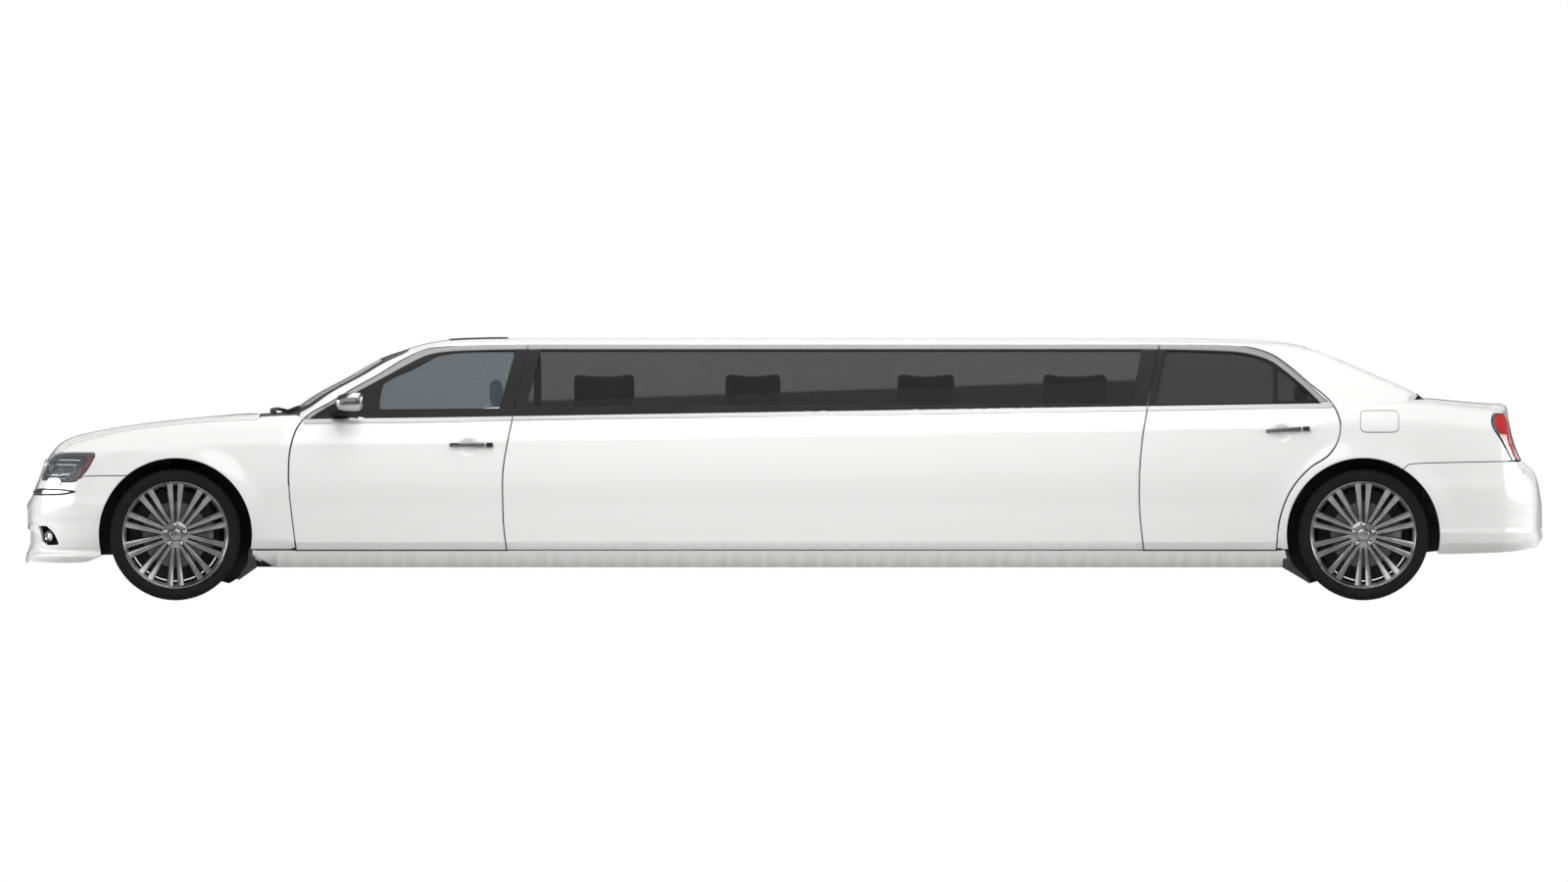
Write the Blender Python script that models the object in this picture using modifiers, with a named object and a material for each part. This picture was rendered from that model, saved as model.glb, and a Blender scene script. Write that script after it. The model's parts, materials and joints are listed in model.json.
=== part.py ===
"""Stretched limousine: body shell, doors, lids, wheels and cabin as separate solids.
Metres, +Z up, nose towards -Y, left side at +X, origin on the ground under the middle."""
import math

import bmesh
import bpy
from mathutils import Matrix, Vector

# ---------------------------------------------------------------- driving dimensions
BASE_WHEELBASE = 3.051      # wheelbase of the saloon that was lengthened
STRETCH = 3.556             # length let in between the doors
FRONT_OVERHANG = 0.815
REAR_OVERHANG = 0.988
WHEEL_TRACK = 1.600
TYRE_RADIUS = 0.365
TYRE_WIDTH = 0.245
TYRE_SHOULDER = 0.030       # height of the rounded shoulder on each side
SIDEWALL = 0.068            # rim edge to tread
RIM_INSET = 0.015           # tyre wall to rim edge on each side
RIM_WALL = 0.020
RIM_FACE = 0.022            # thickness of the spoked face
WHEEL_SIDES = 32            # flats round the tyre and the rim
HUB_RADIUS = 0.098
SPOKE_PAIRS = 10
DISC_CLEARANCE = 0.107      # brake disc edge to rim edge
DISC_THICKNESS = 0.025
HUB_BORE = 0.050            # radius of the hub flange inside the disc
ARCH_CLEARANCE = 0.059      # tread to the wheel arch opening in the painted panels
LINER_WALL = 0.008
LINER_DROP = 0.120          # wheel centre to the lower edge of the wheelhouse liners
KINGPIN_OFFSET = 0.060      # wheel's middle plane to its steering axis
GAP = 0.0003                # between pieces that touch
DOOR_GAP = 0.006            # shut line of doors and lids
SHEET = 0.036               # depth of wings, lids and bumper skins with their flanges
DOOR_DEPTH = 0.125          # outer skin to inner trim, below the windows
FRAME_DEPTH = 0.045         # window frames and roof rails
GLASS = 0.005
GLASS_SET = 0.004           # glass face below the painted surface
EDGE_SHEAR = 0.36           # rearward slant of a door's closing edge per metre of depth
SILL_TOP = 0.281
SILL_INNER = 0.790          # half width between the sills
FLOOR_LEVEL = 0.250
FLOOR_THICKNESS = 0.025
ROOF_LINE = 1.423           # drip line above the doors
SEAT_WIDTH = 0.520
SEAT_DEPTH = 0.500
SEAT_HEIGHT = 0.300
HEADREST_TOP = 1.270
RAIL_X = 0.420              # middle of the front side rails
RAIL_WIDTH = 0.070
APRON_OFFSET = 0.338        # wheel's middle plane to the front wheelhouse wall
DASH_CLEARANCE = 0.016      # between the dashboard's ends and the doors
REAR_HOUSE_OFFSET = 0.240   # wheel's middle plane to the rear wheelhouse wall
EXHAUST_RADIUS = 0.032

# ---------------------------------------------------------------- derived places
LENGTH = FRONT_OVERHANG + BASE_WHEELBASE + STRETCH + REAR_OVERHANG
FRONT_AXLE = FRONT_OVERHANG - LENGTH / 2
REAR_AXLE = LENGTH / 2 - REAR_OVERHANG
WHEEL_X = WHEEL_TRACK / 2
RIM_RADIUS = TYRE_RADIUS - SIDEWALL
RIM_DEPTH = TYRE_WIDTH - 2 * RIM_INSET
DISC_RADIUS = RIM_RADIUS - DISC_CLEARANCE
ARCH_RADIUS = TYRE_RADIUS + ARCH_CLEARANCE
KINGPIN_X = WHEEL_X - KINGPIN_OFFSET
APRON_X = WHEEL_X - APRON_OFFSET
REAR_HOUSE_X = WHEEL_X - REAR_HOUSE_OFFSET
SIDES = (("left", 1), ("right", -1))

model = None
cutters = None


def front(y):
    """Place measured from the front axle."""
    return FRONT_AXLE + y


def rear(y):
    """Place measured from the rear axle."""
    return REAR_AXLE + y


# Lower body sections. Columns: frame, y from that axle, then height and half width of the
# floor edge, sill, widest line, shoulder and top edge, and the height of the centre line.
SECTIONS = (
    (front, -0.815, 0.240, 0.42, 0.280, 0.46, 0.42, 0.48, 0.490, 0.470, 0.515, 0.45, 0.530),
    (front, -0.790, 0.215, 0.60, 0.270, 0.64, 0.42, 0.655, 0.520, 0.645, 0.555, 0.62, 0.576),
    (front, -0.755, 0.212, 0.68, 0.275, 0.725, 0.43, 0.735, 0.570, 0.720, 0.635, 0.69, 0.665),
    (front, -0.703, 0.210, 0.745, 0.280, 0.785, 0.45, 0.800, 0.650, 0.780, 0.745, 0.735, 0.798),
    (front, -0.620, 0.210, 0.80, 0.290, 0.845, 0.50, 0.860, 0.720, 0.840, 0.825, 0.77, 0.881),
    (front, -0.474, 0.215, 0.85, 0.300, 0.895, 0.55, 0.912, 0.800, 0.890, 0.885, 0.80, 0.927),
    (front, -0.200, 0.220, 0.87, 0.310, 0.920, 0.60, 0.938, 0.840, 0.915, 0.945, 0.825, 0.974),
    (front, 0.300, 0.200, 0.88, 0.320, 0.925, 0.62, 0.946, 0.865, 0.922, 0.992, 0.845, 1.026),
    (front, 0.640, 0.180, 0.885, 0.322, 0.930, 0.62, 0.950, 0.885, 0.925, 1.000, 0.865, 1.050),
    (front, 1.400, 0.180, 0.885, 0.322, 0.930, 0.62, 0.950, 0.898, 0.925, 0.990, 0.880, 1.040),
    (rear, -1.200, 0.180, 0.885, 0.322, 0.930, 0.62, 0.950, 0.971, 0.925, 1.053, 0.875, 1.090),
    (rear, -0.400, 0.180, 0.885, 0.322, 0.930, 0.62, 0.950, 0.984, 0.922, 1.066, 0.860, 1.100),
    (rear, 0.000, 0.200, 0.880, 0.320, 0.925, 0.62, 0.947, 0.988, 0.918, 1.078, 0.852, 1.110),
    (rear, 0.290, 0.225, 0.870, 0.315, 0.915, 0.61, 0.938, 0.988, 0.905, 1.080, 0.835, 1.126),
    (rear, 0.540, 0.250, 0.845, 0.315, 0.890, 0.60, 0.915, 0.978, 0.880, 1.062, 0.800, 1.107),
    (rear, 0.716, 0.262, 0.810, 0.320, 0.855, 0.58, 0.880, 0.960, 0.845, 1.045, 0.760, 1.091),
    (rear, 0.785, 0.266, 0.790, 0.322, 0.835, 0.57, 0.862, 0.930, 0.825, 1.025, 0.735, 1.081),
    (rear, 0.830, 0.270, 0.770, 0.325, 0.815, 0.56, 0.840, 0.830, 0.800, 0.880, 0.690, 0.900),
    (rear, 0.880, 0.275, 0.740, 0.330, 0.785, 0.54, 0.805, 0.720, 0.770, 0.765, 0.670, 0.778),
    (rear, 0.955, 0.300, 0.640, 0.345, 0.690, 0.50, 0.710, 0.630, 0.680, 0.685, 0.600, 0.700),
    (rear, 0.988, 0.350, 0.450, 0.380, 0.490, 0.43, 0.500, 0.480, 0.495, 0.505, 0.450, 0.520),
)

# Glasshouse levels. Columns: height, windscreen centre y and corner y and x, half width at the
# front doors, along the stretch and at the rear doors, rear corner x and y, rear centre y.
LEVELS = (
    (0.850, 0.360, 0.410, 0.700, 0.866, 0.896, 0.884, 0.740, 0.450, 0.540),
    (0.980, 0.533, 0.583, 0.690, 0.854, 0.884, 0.872, 0.740, 0.390, 0.480),
    (1.060, 0.648, 0.698, 0.680, 0.822, 0.855, 0.850, 0.715, 0.330, 0.410),
    (1.150, 0.778, 0.828, 0.655, 0.776, 0.805, 0.795, 0.680, 0.215, 0.298),
    (1.250, 0.966, 1.014, 0.610, 0.718, 0.745, 0.735, 0.630, 0.005, 0.083),
    (1.350, 1.146, 1.190, 0.555, 0.650, 0.675, 0.664, 0.570, -0.225, -0.150),
    (1.400, 1.288, 1.330, 0.520, 0.612, 0.632, 0.620, 0.530, -0.365, -0.290),
    (1.430, 1.400, 1.450, 0.470, 0.567, 0.585, 0.570, 0.480, -0.500, -0.424),
    (1.450, 1.530, 1.590, 0.370, 0.458, 0.475, 0.460, 0.380, -0.730, -0.660),
    (1.459, 1.750, 1.810, 0.200, 0.268, 0.285, 0.270, 0.200, -1.050, -1.000),
)
PILLAR_RUN = 0.105          # length of the windscreen pillar's corner in plan

# Side view outlines (y, z) from the nearer axle, at the painted surface.
FRONT_DOOR_FRONT = ((0.675, SILL_TOP), (0.651, 0.469), (0.636, 0.615), (0.633, 0.712),
                    (0.651, 0.878), (0.680, 0.956), (0.714, 1.004), (0.875, 1.106),
                    (0.972, 1.165), (1.137, 1.257), (1.283, 1.345), (1.401, 1.394),
                    (1.527, 1.408), (1.720, 1.418))
FRONT_DOOR_REAR = ((1.963, ROOF_LINE), (1.872, 1.014), (1.843, 0.878), (1.818, 0.712),
                   (1.817, 0.566), (1.822, 0.420), (1.838, SILL_TOP))
REAR_DOOR_FRONT = ((-1.219, SILL_TOP), (-1.239, 0.481), (-1.237, 0.776), (-1.221, 0.930),
                   (-1.195, 1.077), (-1.129, ROOF_LINE))
REAR_DOOR_REAR = ((-0.900, 1.420), (-0.686, 1.412), (-0.608, 1.399), (-0.514, 1.367),
                  (-0.420, 1.305), (-0.311, 1.211), (-0.183, 1.101), (-0.154, 1.055),
                  (-0.131, 0.977), (-0.147, 0.883), (-0.194, 0.813), (-0.296, 0.742),
                  (-0.405, 0.617), (-0.467, 0.461), (-0.488, SILL_TOP))
FRONT_WINDOW = ((0.760, 1.020), (0.842, 1.070), (1.021, 1.165), (1.177, 1.248), (1.293, 1.311),
                (1.401, 1.362), (1.478, 1.379), (1.575, 1.387), (1.901, 1.394), (1.815, 1.075))
REAR_WINDOW = ((-1.104, 1.394), (-0.843, 1.388), (-0.686, 1.378), (-0.608, 1.363),
               (-0.514, 1.329), (-0.436, 1.274), (-0.342, 1.196), (-0.248, 1.101),
               (-1.165, 1.083))


# ---------------------------------------------------------------- modelling helpers
def link(obj, collection):
    collection.objects.link(obj)
    return obj


def hide(obj):
    obj.hide_render = True
    obj.display_type = "WIRE"
    return obj


def mesh_object(name, points, faces):
    mesh = bpy.data.meshes.new(name)
    mesh.from_pydata([tuple(p) for p in points], [], faces)
    mesh.validate()
    return bpy.data.objects.new(name, mesh)


def face_outwards(obj):
    work = bmesh.new()
    work.from_mesh(obj.data)
    bmesh.ops.recalc_face_normals(work, faces=work.faces)
    work.to_mesh(obj.data)
    work.free()
    return obj


def loft(name, rings):
    """Closed solid through rings that have the same number of points. Both halves of a
    ring are split into triangles alike, so that the solid is a true mirror image."""
    count = len(rings[0])
    points = [p for ring in rings for p in ring]
    faces = []
    for level in range(len(rings) - 1):
        low = level * count
        for i in range(count):
            j = (i + 1) % count
            a, b, c, d = low + i, low + j, low + count + j, low + count + i
            if i < count // 2:
                faces += [(a, b, c), (a, c, d)]
            else:
                faces += [(b, c, d), (b, d, a)]
    faces.append(tuple(range(count)))
    faces.append(tuple(range(len(points) - count, len(points))))
    obj = link(mesh_object(name, points, faces), cutters)
    return hide(face_outwards(obj))


def as_mesh(obj):
    """The object's evaluated shape as a plain mesh in world space."""
    bpy.context.view_layer.update()
    graph = bpy.context.evaluated_depsgraph_get()
    mesh = bpy.data.meshes.new_from_object(obj.evaluated_get(graph))
    mesh.transform(obj.matrix_world)
    work = bmesh.new()
    work.from_mesh(mesh)
    bmesh.ops.remove_doubles(work, verts=work.verts, dist=0.00001)
    bmesh.ops.recalc_face_normals(work, faces=work.faces)
    work.to_mesh(mesh)
    work.free()
    solid = bpy.data.objects.new(obj.name, mesh)
    name = obj.name
    bpy.data.objects.remove(obj)
    solid.name = name
    return hide(link(solid, cutters))


AXES = {
    "x": Matrix(((0, 0, 1, 0), (1, 0, 0, 0), (0, 1, 0, 0), (0, 0, 0, 1))),
    "y": Matrix(((1, 0, 0, 0), (0, 0, -1, 0), (0, 1, 0, 0), (0, 0, 0, 1))),
    "z": Matrix.Identity(4),
}


def prism(name, outline, axis, low, high, holes=()):
    """An outline drawn across an axis and pulled along it from low to high."""
    curve = bpy.data.curves.new(name, "CURVE")
    curve.dimensions = "2D"
    curve.fill_mode = "BOTH"
    curve.extrude = abs(high - low) / 2
    for loop in (outline, *holes):
        spline = curve.splines.new("POLY")
        spline.points.add(len(loop) - 1)
        spline.use_cyclic_u = True
        for point, (u, v) in zip(spline.points, loop):
            point.co = (u, v, 0, 1)
    obj = link(bpy.data.objects.new(name, curve), cutters)
    middle = {"x": Vector(((low + high) / 2, 0, 0)), "y": Vector((0, (low + high) / 2, 0)),
              "z": Vector((0, 0, (low + high) / 2))}[axis]
    obj.matrix_world = Matrix.Translation(middle) @ AXES[axis]
    return as_mesh(obj)


def box(name, x, y, z):
    """A block between two values on each axis."""
    bpy.ops.mesh.primitive_cube_add(size=1)
    obj = bpy.context.active_object
    obj.name = name
    for owner in obj.users_collection:
        owner.objects.unlink(obj)
    link(obj, cutters)
    size = Matrix.Diagonal((abs(x[1] - x[0]), abs(y[1] - y[0]), abs(z[1] - z[0]), 1))
    middle = Matrix.Translation(((x[0] + x[1]) / 2, (y[0] + y[1]) / 2, (z[0] + z[1]) / 2))
    obj.data.transform(middle @ size)
    return hide(obj)


def drum(name, centre, radius, depth, axis="x", sides=24):
    """A cylinder with flat ends, centred on a point."""
    bpy.ops.mesh.primitive_cylinder_add(vertices=sides, radius=radius, depth=depth)
    obj = bpy.context.active_object
    obj.name = name
    for owner in obj.users_collection:
        owner.objects.unlink(obj)
    link(obj, cutters)
    obj.data.transform(Matrix.Translation(centre) @ AXES[axis])
    return hide(face_outwards(obj))


def turned(name, profile, steps):
    """A closed profile of (radius, height) points turned round Z."""
    points = [(r, 0, a) for r, a in profile]
    mesh = bpy.data.meshes.new(name)
    edges = [(i, (i + 1) % len(points)) for i in range(len(points))]
    mesh.from_pydata(points, edges, [])
    obj = link(bpy.data.objects.new(name, mesh), cutters)
    screw = obj.modifiers.new("Turn", "SCREW")
    screw.steps = steps
    screw.render_steps = steps
    screw.use_merge_vertices = True
    screw.merge_threshold = 0.0001
    return as_mesh(obj)


def boolean(target, tool, operation="DIFFERENCE", keep_tool=False):
    """One exact Boolean step, applied at once."""
    step = target.modifiers.new(operation.title(), "BOOLEAN")
    step.operation = operation
    step.solver = "EXACT"
    step.object = tool
    bpy.context.view_layer.update()
    graph = bpy.context.evaluated_depsgraph_get()
    mesh = bpy.data.meshes.new_from_object(target.evaluated_get(graph))
    target.modifiers.clear()
    target.data = mesh
    if not keep_tool:
        bpy.data.objects.remove(tool)
    return target


def join(target, *tools):
    for tool in tools:
        boolean(target, tool, "UNION")
    return target


def carve(target, *tools):
    for tool in tools:
        boolean(target, tool, "DIFFERENCE")
    return target


def common(target, *tools):
    for tool in tools:
        boolean(target, tool, "INTERSECT")
    return target


def copy_of(obj, name):
    twin = obj.copy()
    twin.data = obj.data.copy()
    twin.name = name
    link(twin, cutters)
    return hide(twin)


def mirrored(obj, name):
    twin = copy_of(obj, name)
    twin.data.transform(Matrix.Scale(-1, 4, (1, 0, 0)))
    twin.data.flip_normals()
    return twin


def tidy(obj):
    """Weld what a Boolean left closer than a hair and flatten the needless edges."""
    work = bmesh.new()
    work.from_mesh(obj.data)
    bmesh.ops.remove_doubles(work, verts=work.verts, dist=0.00002)
    bmesh.ops.dissolve_limit(work, angle_limit=math.radians(0.001), verts=work.verts,
                             edges=work.edges)
    bmesh.ops.triangulate(work, faces=work.faces)
    bmesh.ops.recalc_face_normals(work, faces=work.faces)
    work.to_mesh(obj.data)
    work.free()
    return obj


MATERIALS = {
    # name: base colour, metallic, roughness
    "white_paint": ((0.86, 0.86, 0.85, 1), 0.0, 0.22),
    "dark_glass": ((0.035, 0.037, 0.040, 1), 0.0, 0.08),
    "black_plastic": ((0.015, 0.015, 0.016, 1), 0.0, 0.55),
    "tyre_rubber": ((0.018, 0.018, 0.018, 1), 0.0, 0.80),
    "wheel_alloy": ((0.46, 0.46, 0.47, 1), 0.9, 0.30),
    "dull_steel": ((0.20, 0.20, 0.21, 1), 0.8, 0.50),
    "chrome": ((0.75, 0.75, 0.76, 1), 1.0, 0.10),
    "clear_lamp": ((0.40, 0.41, 0.43, 1), 0.2, 0.12),
    "red_lamp": ((0.45, 0.02, 0.03, 1), 0.0, 0.15),
    "black_leather": ((0.022, 0.021, 0.021, 1), 0.0, 0.45),
    "grey_trim": ((0.10, 0.10, 0.11, 1), 0.0, 0.60),
}


def material(kind):
    found = bpy.data.materials.get(kind)
    if found:
        return found
    colour, metallic, roughness = MATERIALS[kind]
    found = bpy.data.materials.new(kind)
    found.use_nodes = True
    shader = found.node_tree.nodes["Principled BSDF"]
    shader.inputs["Base Color"].default_value = colour
    shader.inputs["Metallic"].default_value = metallic
    shader.inputs["Roughness"].default_value = roughness
    found.diffuse_color = colour
    return found


def finish(obj, name, kind, origin=(0, 0, 0), parent=None, clean=True):
    """Make a worked solid into a named node with its origin at a given point."""
    if clean:
        tidy(obj)
    obj.name = name
    obj.data.name = name
    for owner in list(obj.users_collection):
        owner.objects.unlink(obj)
    link(obj, model)
    obj.hide_render = False
    obj.display_type = "TEXTURED"
    obj.data.materials.clear()
    obj.data.materials.append(material(kind))
    obj.data.transform(Matrix.Translation(-Vector(origin)))
    obj.location = origin
    if parent is not None:
        obj.parent = parent
        obj.matrix_parent_inverse = Matrix.Translation(-parent.matrix_world.translation)
    bpy.context.view_layer.update()
    return obj


# ---------------------------------------------------------------- body form
def mirror_ring(half):
    """Half ring from the centre line to the centre line, closed by its mirror image."""
    back = [(-x, y, z) for x, y, z in reversed(half[1:-1])]
    return half + back


def end_shift(frame, y, inset):
    """How far a section near the nose or the tail moves inwards with the skin's depth."""
    if frame is front:
        return inset * min(max((-0.30 - y) / 0.30, 0.0), 1.0)
    return -inset * min(max((y - 0.50) / 0.25, 0.0), 1.0)


def lower_ring(section, inset):
    frame, y, z_floor, x_floor, z_sill, x_sill, z_wide, x_wide, z_shoulder, x_shoulder, \
        z_edge, x_edge, z_centre = section
    at = frame(y) + end_shift(frame, y, inset)
    lift = min(inset, SHEET + 2 * GAP)
    crown = z_edge + (z_centre - z_edge) * 0.72
    half = [
        (0, at, z_floor + lift),
        (x_floor - inset, at, z_floor + lift),
        (x_sill - inset, at, max(z_sill, z_floor + lift + 0.01)),
        (x_wide - inset, at, z_wide),
        (x_shoulder - inset, at, z_shoulder - inset * 0.3),
        (x_edge - inset * 0.7, at, z_edge - inset),
        (x_edge * 0.55, at, crown - inset),
        (0, at, z_centre - inset),
    ]
    return mirror_ring(half)


def lower_body(name, inset):
    """Body below the windows, shrunk inwards by an inset."""
    return loft(name, [lower_ring(section, inset) for section in SECTIONS])


def glasshouse(name, inset):
    rings = []
    slant = inset * 0.6
    for row in LEVELS:
        z, centre_y, corner_y, corner_x, x_doors, x_middle, x_rear, rear_x, rear_y, tail_y = row
        if row is not LEVELS[0]:
            z -= inset
        half = [
            (0, front(centre_y) + slant, z),
            (corner_x * 0.55, front(centre_y + (corner_y - centre_y) * 0.32) + slant, z),
            (corner_x - inset * 0.6, front(corner_y) + slant, z),
            (x_doors - inset, front(corner_y + PILLAR_RUN), z),
            (x_doors + 0.008 - inset, front(corner_y + 0.45), z),
            (x_middle - inset, front(corner_y * 0.2 + 1.9), z),
            (x_middle - inset, rear(-1.25), z),
            (x_rear - inset, rear(rear_y - 0.45), z),
            (rear_x - inset * 0.6, rear(rear_y) - slant, z),
            (rear_x * 0.55, rear(tail_y + (rear_y - tail_y) * 0.32) - slant, z),
            (0, rear(tail_y) - slant, z),
        ]
        rings.append(mirror_ring(half))
    return loft(name, rings)


forms = {}


def hull(inset=0.0, high_inset=None):
    """A copy of the whole outer form, or of that form shrunk inwards."""
    if high_inset is None:
        high_inset = inset
    key = (inset, high_inset)
    if key not in forms:
        forms[key] = join(lower_body("form", inset), glasshouse("form_top", high_inset))
    return copy_of(forms[key], "form_copy")


def surface_x(y, z):
    """Half width of the painted surface at a place in side view."""
    if z > LEVELS[2][0]:
        below = [row for row in LEVELS if row[0] <= z][-1]
        above = [row for row in LEVELS if row[0] > z]
        if not above:
            return below[5]
        share = (z - below[0]) / (above[0][0] - below[0])
        column = 4 if y < front(1.5) else (6 if y > rear(-0.6) else 5)
        return below[column] + (above[0][column] - below[column]) * share
    near = min(SECTIONS, key=lambda row: abs(row[0](row[1]) - y))
    heights = ((near[2], near[3]), (near[4], near[5]), (near[6], near[7]), (near[8], near[9]),
               (near[10], near[11]), (LEVELS[2][0], LEVELS[2][5]))
    for (z0, x0), (z1, x1) in zip(heights, heights[1:]):
        if z <= z1:
            return x0 + (x1 - x0) * (z - z0) / (z1 - z0)
    return heights[-1][1]


# ---------------------------------------------------------------- outlines and cutters
def placed(outline, frame):
    return [(frame(y), z) for y, z in outline]


def grown(outline, amount):
    """The same closed outline with its sides moved outwards."""
    count = len(outline)
    area = sum(outline[i][0] * outline[(i + 1) % count][1] - outline[(i + 1) % count][0]
               * outline[i][1] for i in range(count))
    turn = 1 if area > 0 else -1
    result = []
    for i in range(count):
        before, here, after = outline[i - 1], outline[i], outline[(i + 1) % count]
        normals = []
        for a, b in ((before, here), (here, after)):
            run, rise = b[0] - a[0], b[1] - a[1]
            length = math.hypot(run, rise)
            normals.append((rise / length * turn, -run / length * turn))
        sum_x = normals[0][0] + normals[1][0]
        sum_y = normals[0][1] + normals[1][1]
        scale = 2 * amount / (sum_x * sum_x + sum_y * sum_y)
        result.append((here[0] + sum_x * scale, here[1] + sum_y * scale))
    return result


X_OUT = 1.10
X_IN = 0.530                # inner limit of the doors under the roof rail
HINGE_END_X = 0.800         # inner limit of the front door beside the dashboard
HINGE_END_Y = 0.860
HINGE_END_Z = 1.040


def door_block(name, front_edge, rear_edge, amount=0.0):
    """A door's outline pulled across the side, its closing edge slanted to swing free."""
    outline = grown(front_edge + rear_edge, amount)
    rings = []
    for x in (X_IN, X_OUT):
        ring = []
        for index, (y, z) in enumerate(outline):
            slide = 0.0
            if index >= len(front_edge):
                slide = EDGE_SHEAR * (x - surface_x(y, z))
            ring.append((x, y + slide, z))
        rings.append(ring)
    return loft(name, rings)


FRONT_EDGES = (placed(FRONT_DOOR_FRONT, front), placed(FRONT_DOOR_REAR, front))
REAR_EDGES = (placed(REAR_DOOR_FRONT, rear), placed(REAR_DOOR_REAR, rear))


def front_door_block(amount=0.0):
    return door_block("front_door_block", *FRONT_EDGES, amount)


def rear_door_block(amount=0.0):
    return door_block("rear_door_block", *REAR_EDGES, amount)


HOOD_REAR = front(0.466)
HOOD_HALF = ((0.0, -0.712), (0.34, -0.700), (0.60, -0.640), (0.735, -0.570), (0.790, -0.300),
             (0.815, 0.000), (0.828, 0.300), (0.838, 0.466))
LID_HALF = ((0.0, 0.335), (0.60, 0.310), (0.700, 0.290), (0.710, 0.500), (0.690, 0.700),
            (0.600, 0.745), (0.560, 0.800), (0.560, 0.960), (0.0, 0.960))
HOOD_BOTTOM = 0.700
REAR_SEAM = 0.768            # top of the rear bumper
LID_BOTTOM = REAR_SEAM + DOOR_GAP
SCREEN_OPENING = ((-0.735, 1.062), (-0.565, 1.392), (-0.300, 1.399), (0.300, 1.399),
                  (0.565, 1.392), (0.735, 1.062))
BACKLIGHT_OPENING = ((-0.690, 1.150), (-0.640, 1.260), (-0.570, 1.370), (-0.300, 1.405),
                     (0.300, 1.405), (0.570, 1.370), (0.640, 1.260), (0.690, 1.150))


def plan_outline(half, frame):
    points = [(x, frame(y)) for x, y in half]
    back = [(-x, y) for x, y in reversed(points) if x > 0]
    return points + back


def hood_block(amount=0.0):
    outline = grown(plan_outline(HOOD_HALF, front), amount)
    return prism("hood_block", outline, "z", HOOD_BOTTOM - amount, 1.30)


def lid_block(amount=0.0):
    outline = grown(plan_outline(LID_HALF, rear), amount)
    return prism("lid_block", outline, "z", LID_BOTTOM - amount, 1.30)


def screen_block(amount=0.0):
    return prism("screen_block", grown(SCREEN_OPENING, amount), "y", front(0.45), front(1.50))


def backlight_block(amount=0.0):
    return prism("backlight_block", grown(BACKLIGHT_OPENING, amount), "y", rear(-0.62), rear(0.50))


def arch(axle, radius):
    return drum("arch", (0, axle, TYRE_RADIUS), radius, 2.4, "x", 48)


HEADLIGHT = ((-0.900, 0.905), (-0.620, 0.823), (-0.452, 0.823), (-0.444, 0.809), (-0.493, 0.722),
             (-0.553, 0.662), (-0.700, 0.645), (-0.900, 0.640))
LAMP_DEPTH = 0.090
HEADLIGHT_INNER = 0.400
BUMPER_SEAM = 0.689
FRONT_BUMPER = ((-0.900, 0.100), (-0.900, 0.640), (-0.553, 0.662), (-0.513, BUMPER_SEAM),
                (-0.270, BUMPER_SEAM), (-0.270, 0.100))
REAR_BUMPER = ((0.110, 0.100), (0.110, REAR_SEAM), (1.100, REAR_SEAM), (1.100, 0.100))
TAIL_LAMP = ((0.714, 1.035), (0.714, 0.996), (0.830, REAR_SEAM + GAP), (1.100, REAR_SEAM + GAP),
             (1.100, 1.035))
LAMP_INNER = 0.566
GRILLE_BOTTOM = 0.655
COWL_REAR = 0.620
COWL_X = 0.800
PILLAR_FOOT = 0.985
SHELF_X = 0.705
LONG_WINDOW_FRONT = ((1.942, 1.066), (2.032, 1.394))
LONG_WINDOW_REAR = ((-1.228, 1.394), (-1.288, 1.088))
FUEL_FLAP = ((-0.015, 0.935), (-0.015, 1.055), (0.196, 1.055), (0.196, 0.935))
FLAP_DEPTH = 0.012


def side_slab(name, outline, low=0.0, high=X_OUT):
    return prism(name, outline, "x", low, high)


def make_panel(region, inset, high_inset=None):
    """The wall of the hull inside a region, as deep as the inset."""
    return carve(common(hull(), region), hull(inset, high_inset))


# ---------------------------------------------------------------- body panels
def both_sides(shape, stem, kind, origin=(0, 0, 0)):
    """A left piece and its mirror image."""
    twin = mirrored(shape, stem + "_right")
    x, y, z = origin
    left = finish(shape, stem + "_left", kind, origin)
    right = finish(twin, stem + "_right", kind, (-x, y, z))
    return left, right


def build_fenders():
    outline = [(front(-0.640), 0.150), (front(-0.640), 1.060), (front(0.740), 1.060),
               (front(0.740), SILL_TOP + GAP), (front(0.300), SILL_TOP + GAP),
               (front(0.300), 0.150)]
    shape = make_panel(side_slab("fender_region", outline, 0.560), SHEET)
    carve(shape, hood_block(DOOR_GAP), front_door_block(DOOR_GAP),
          side_slab("bumper_cut", grown(placed(FRONT_BUMPER, front), GAP)),
          side_slab("lamp_cut", grown(placed(HEADLIGHT, front), GAP)),
          arch(FRONT_AXLE, ARCH_RADIUS),
          box("cowl_cut", (0, COWL_X), (HOOD_REAR - 0.01, front(0.8)), (0.8, 1.5)),
          box("pillar_cut", (0, 1.2), (front(COWL_REAR) - GAP, front(0.9)),
              (PILLAR_FOOT - GAP, 1.5)))
    both_sides(shape, "fender", "white_paint")


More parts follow.
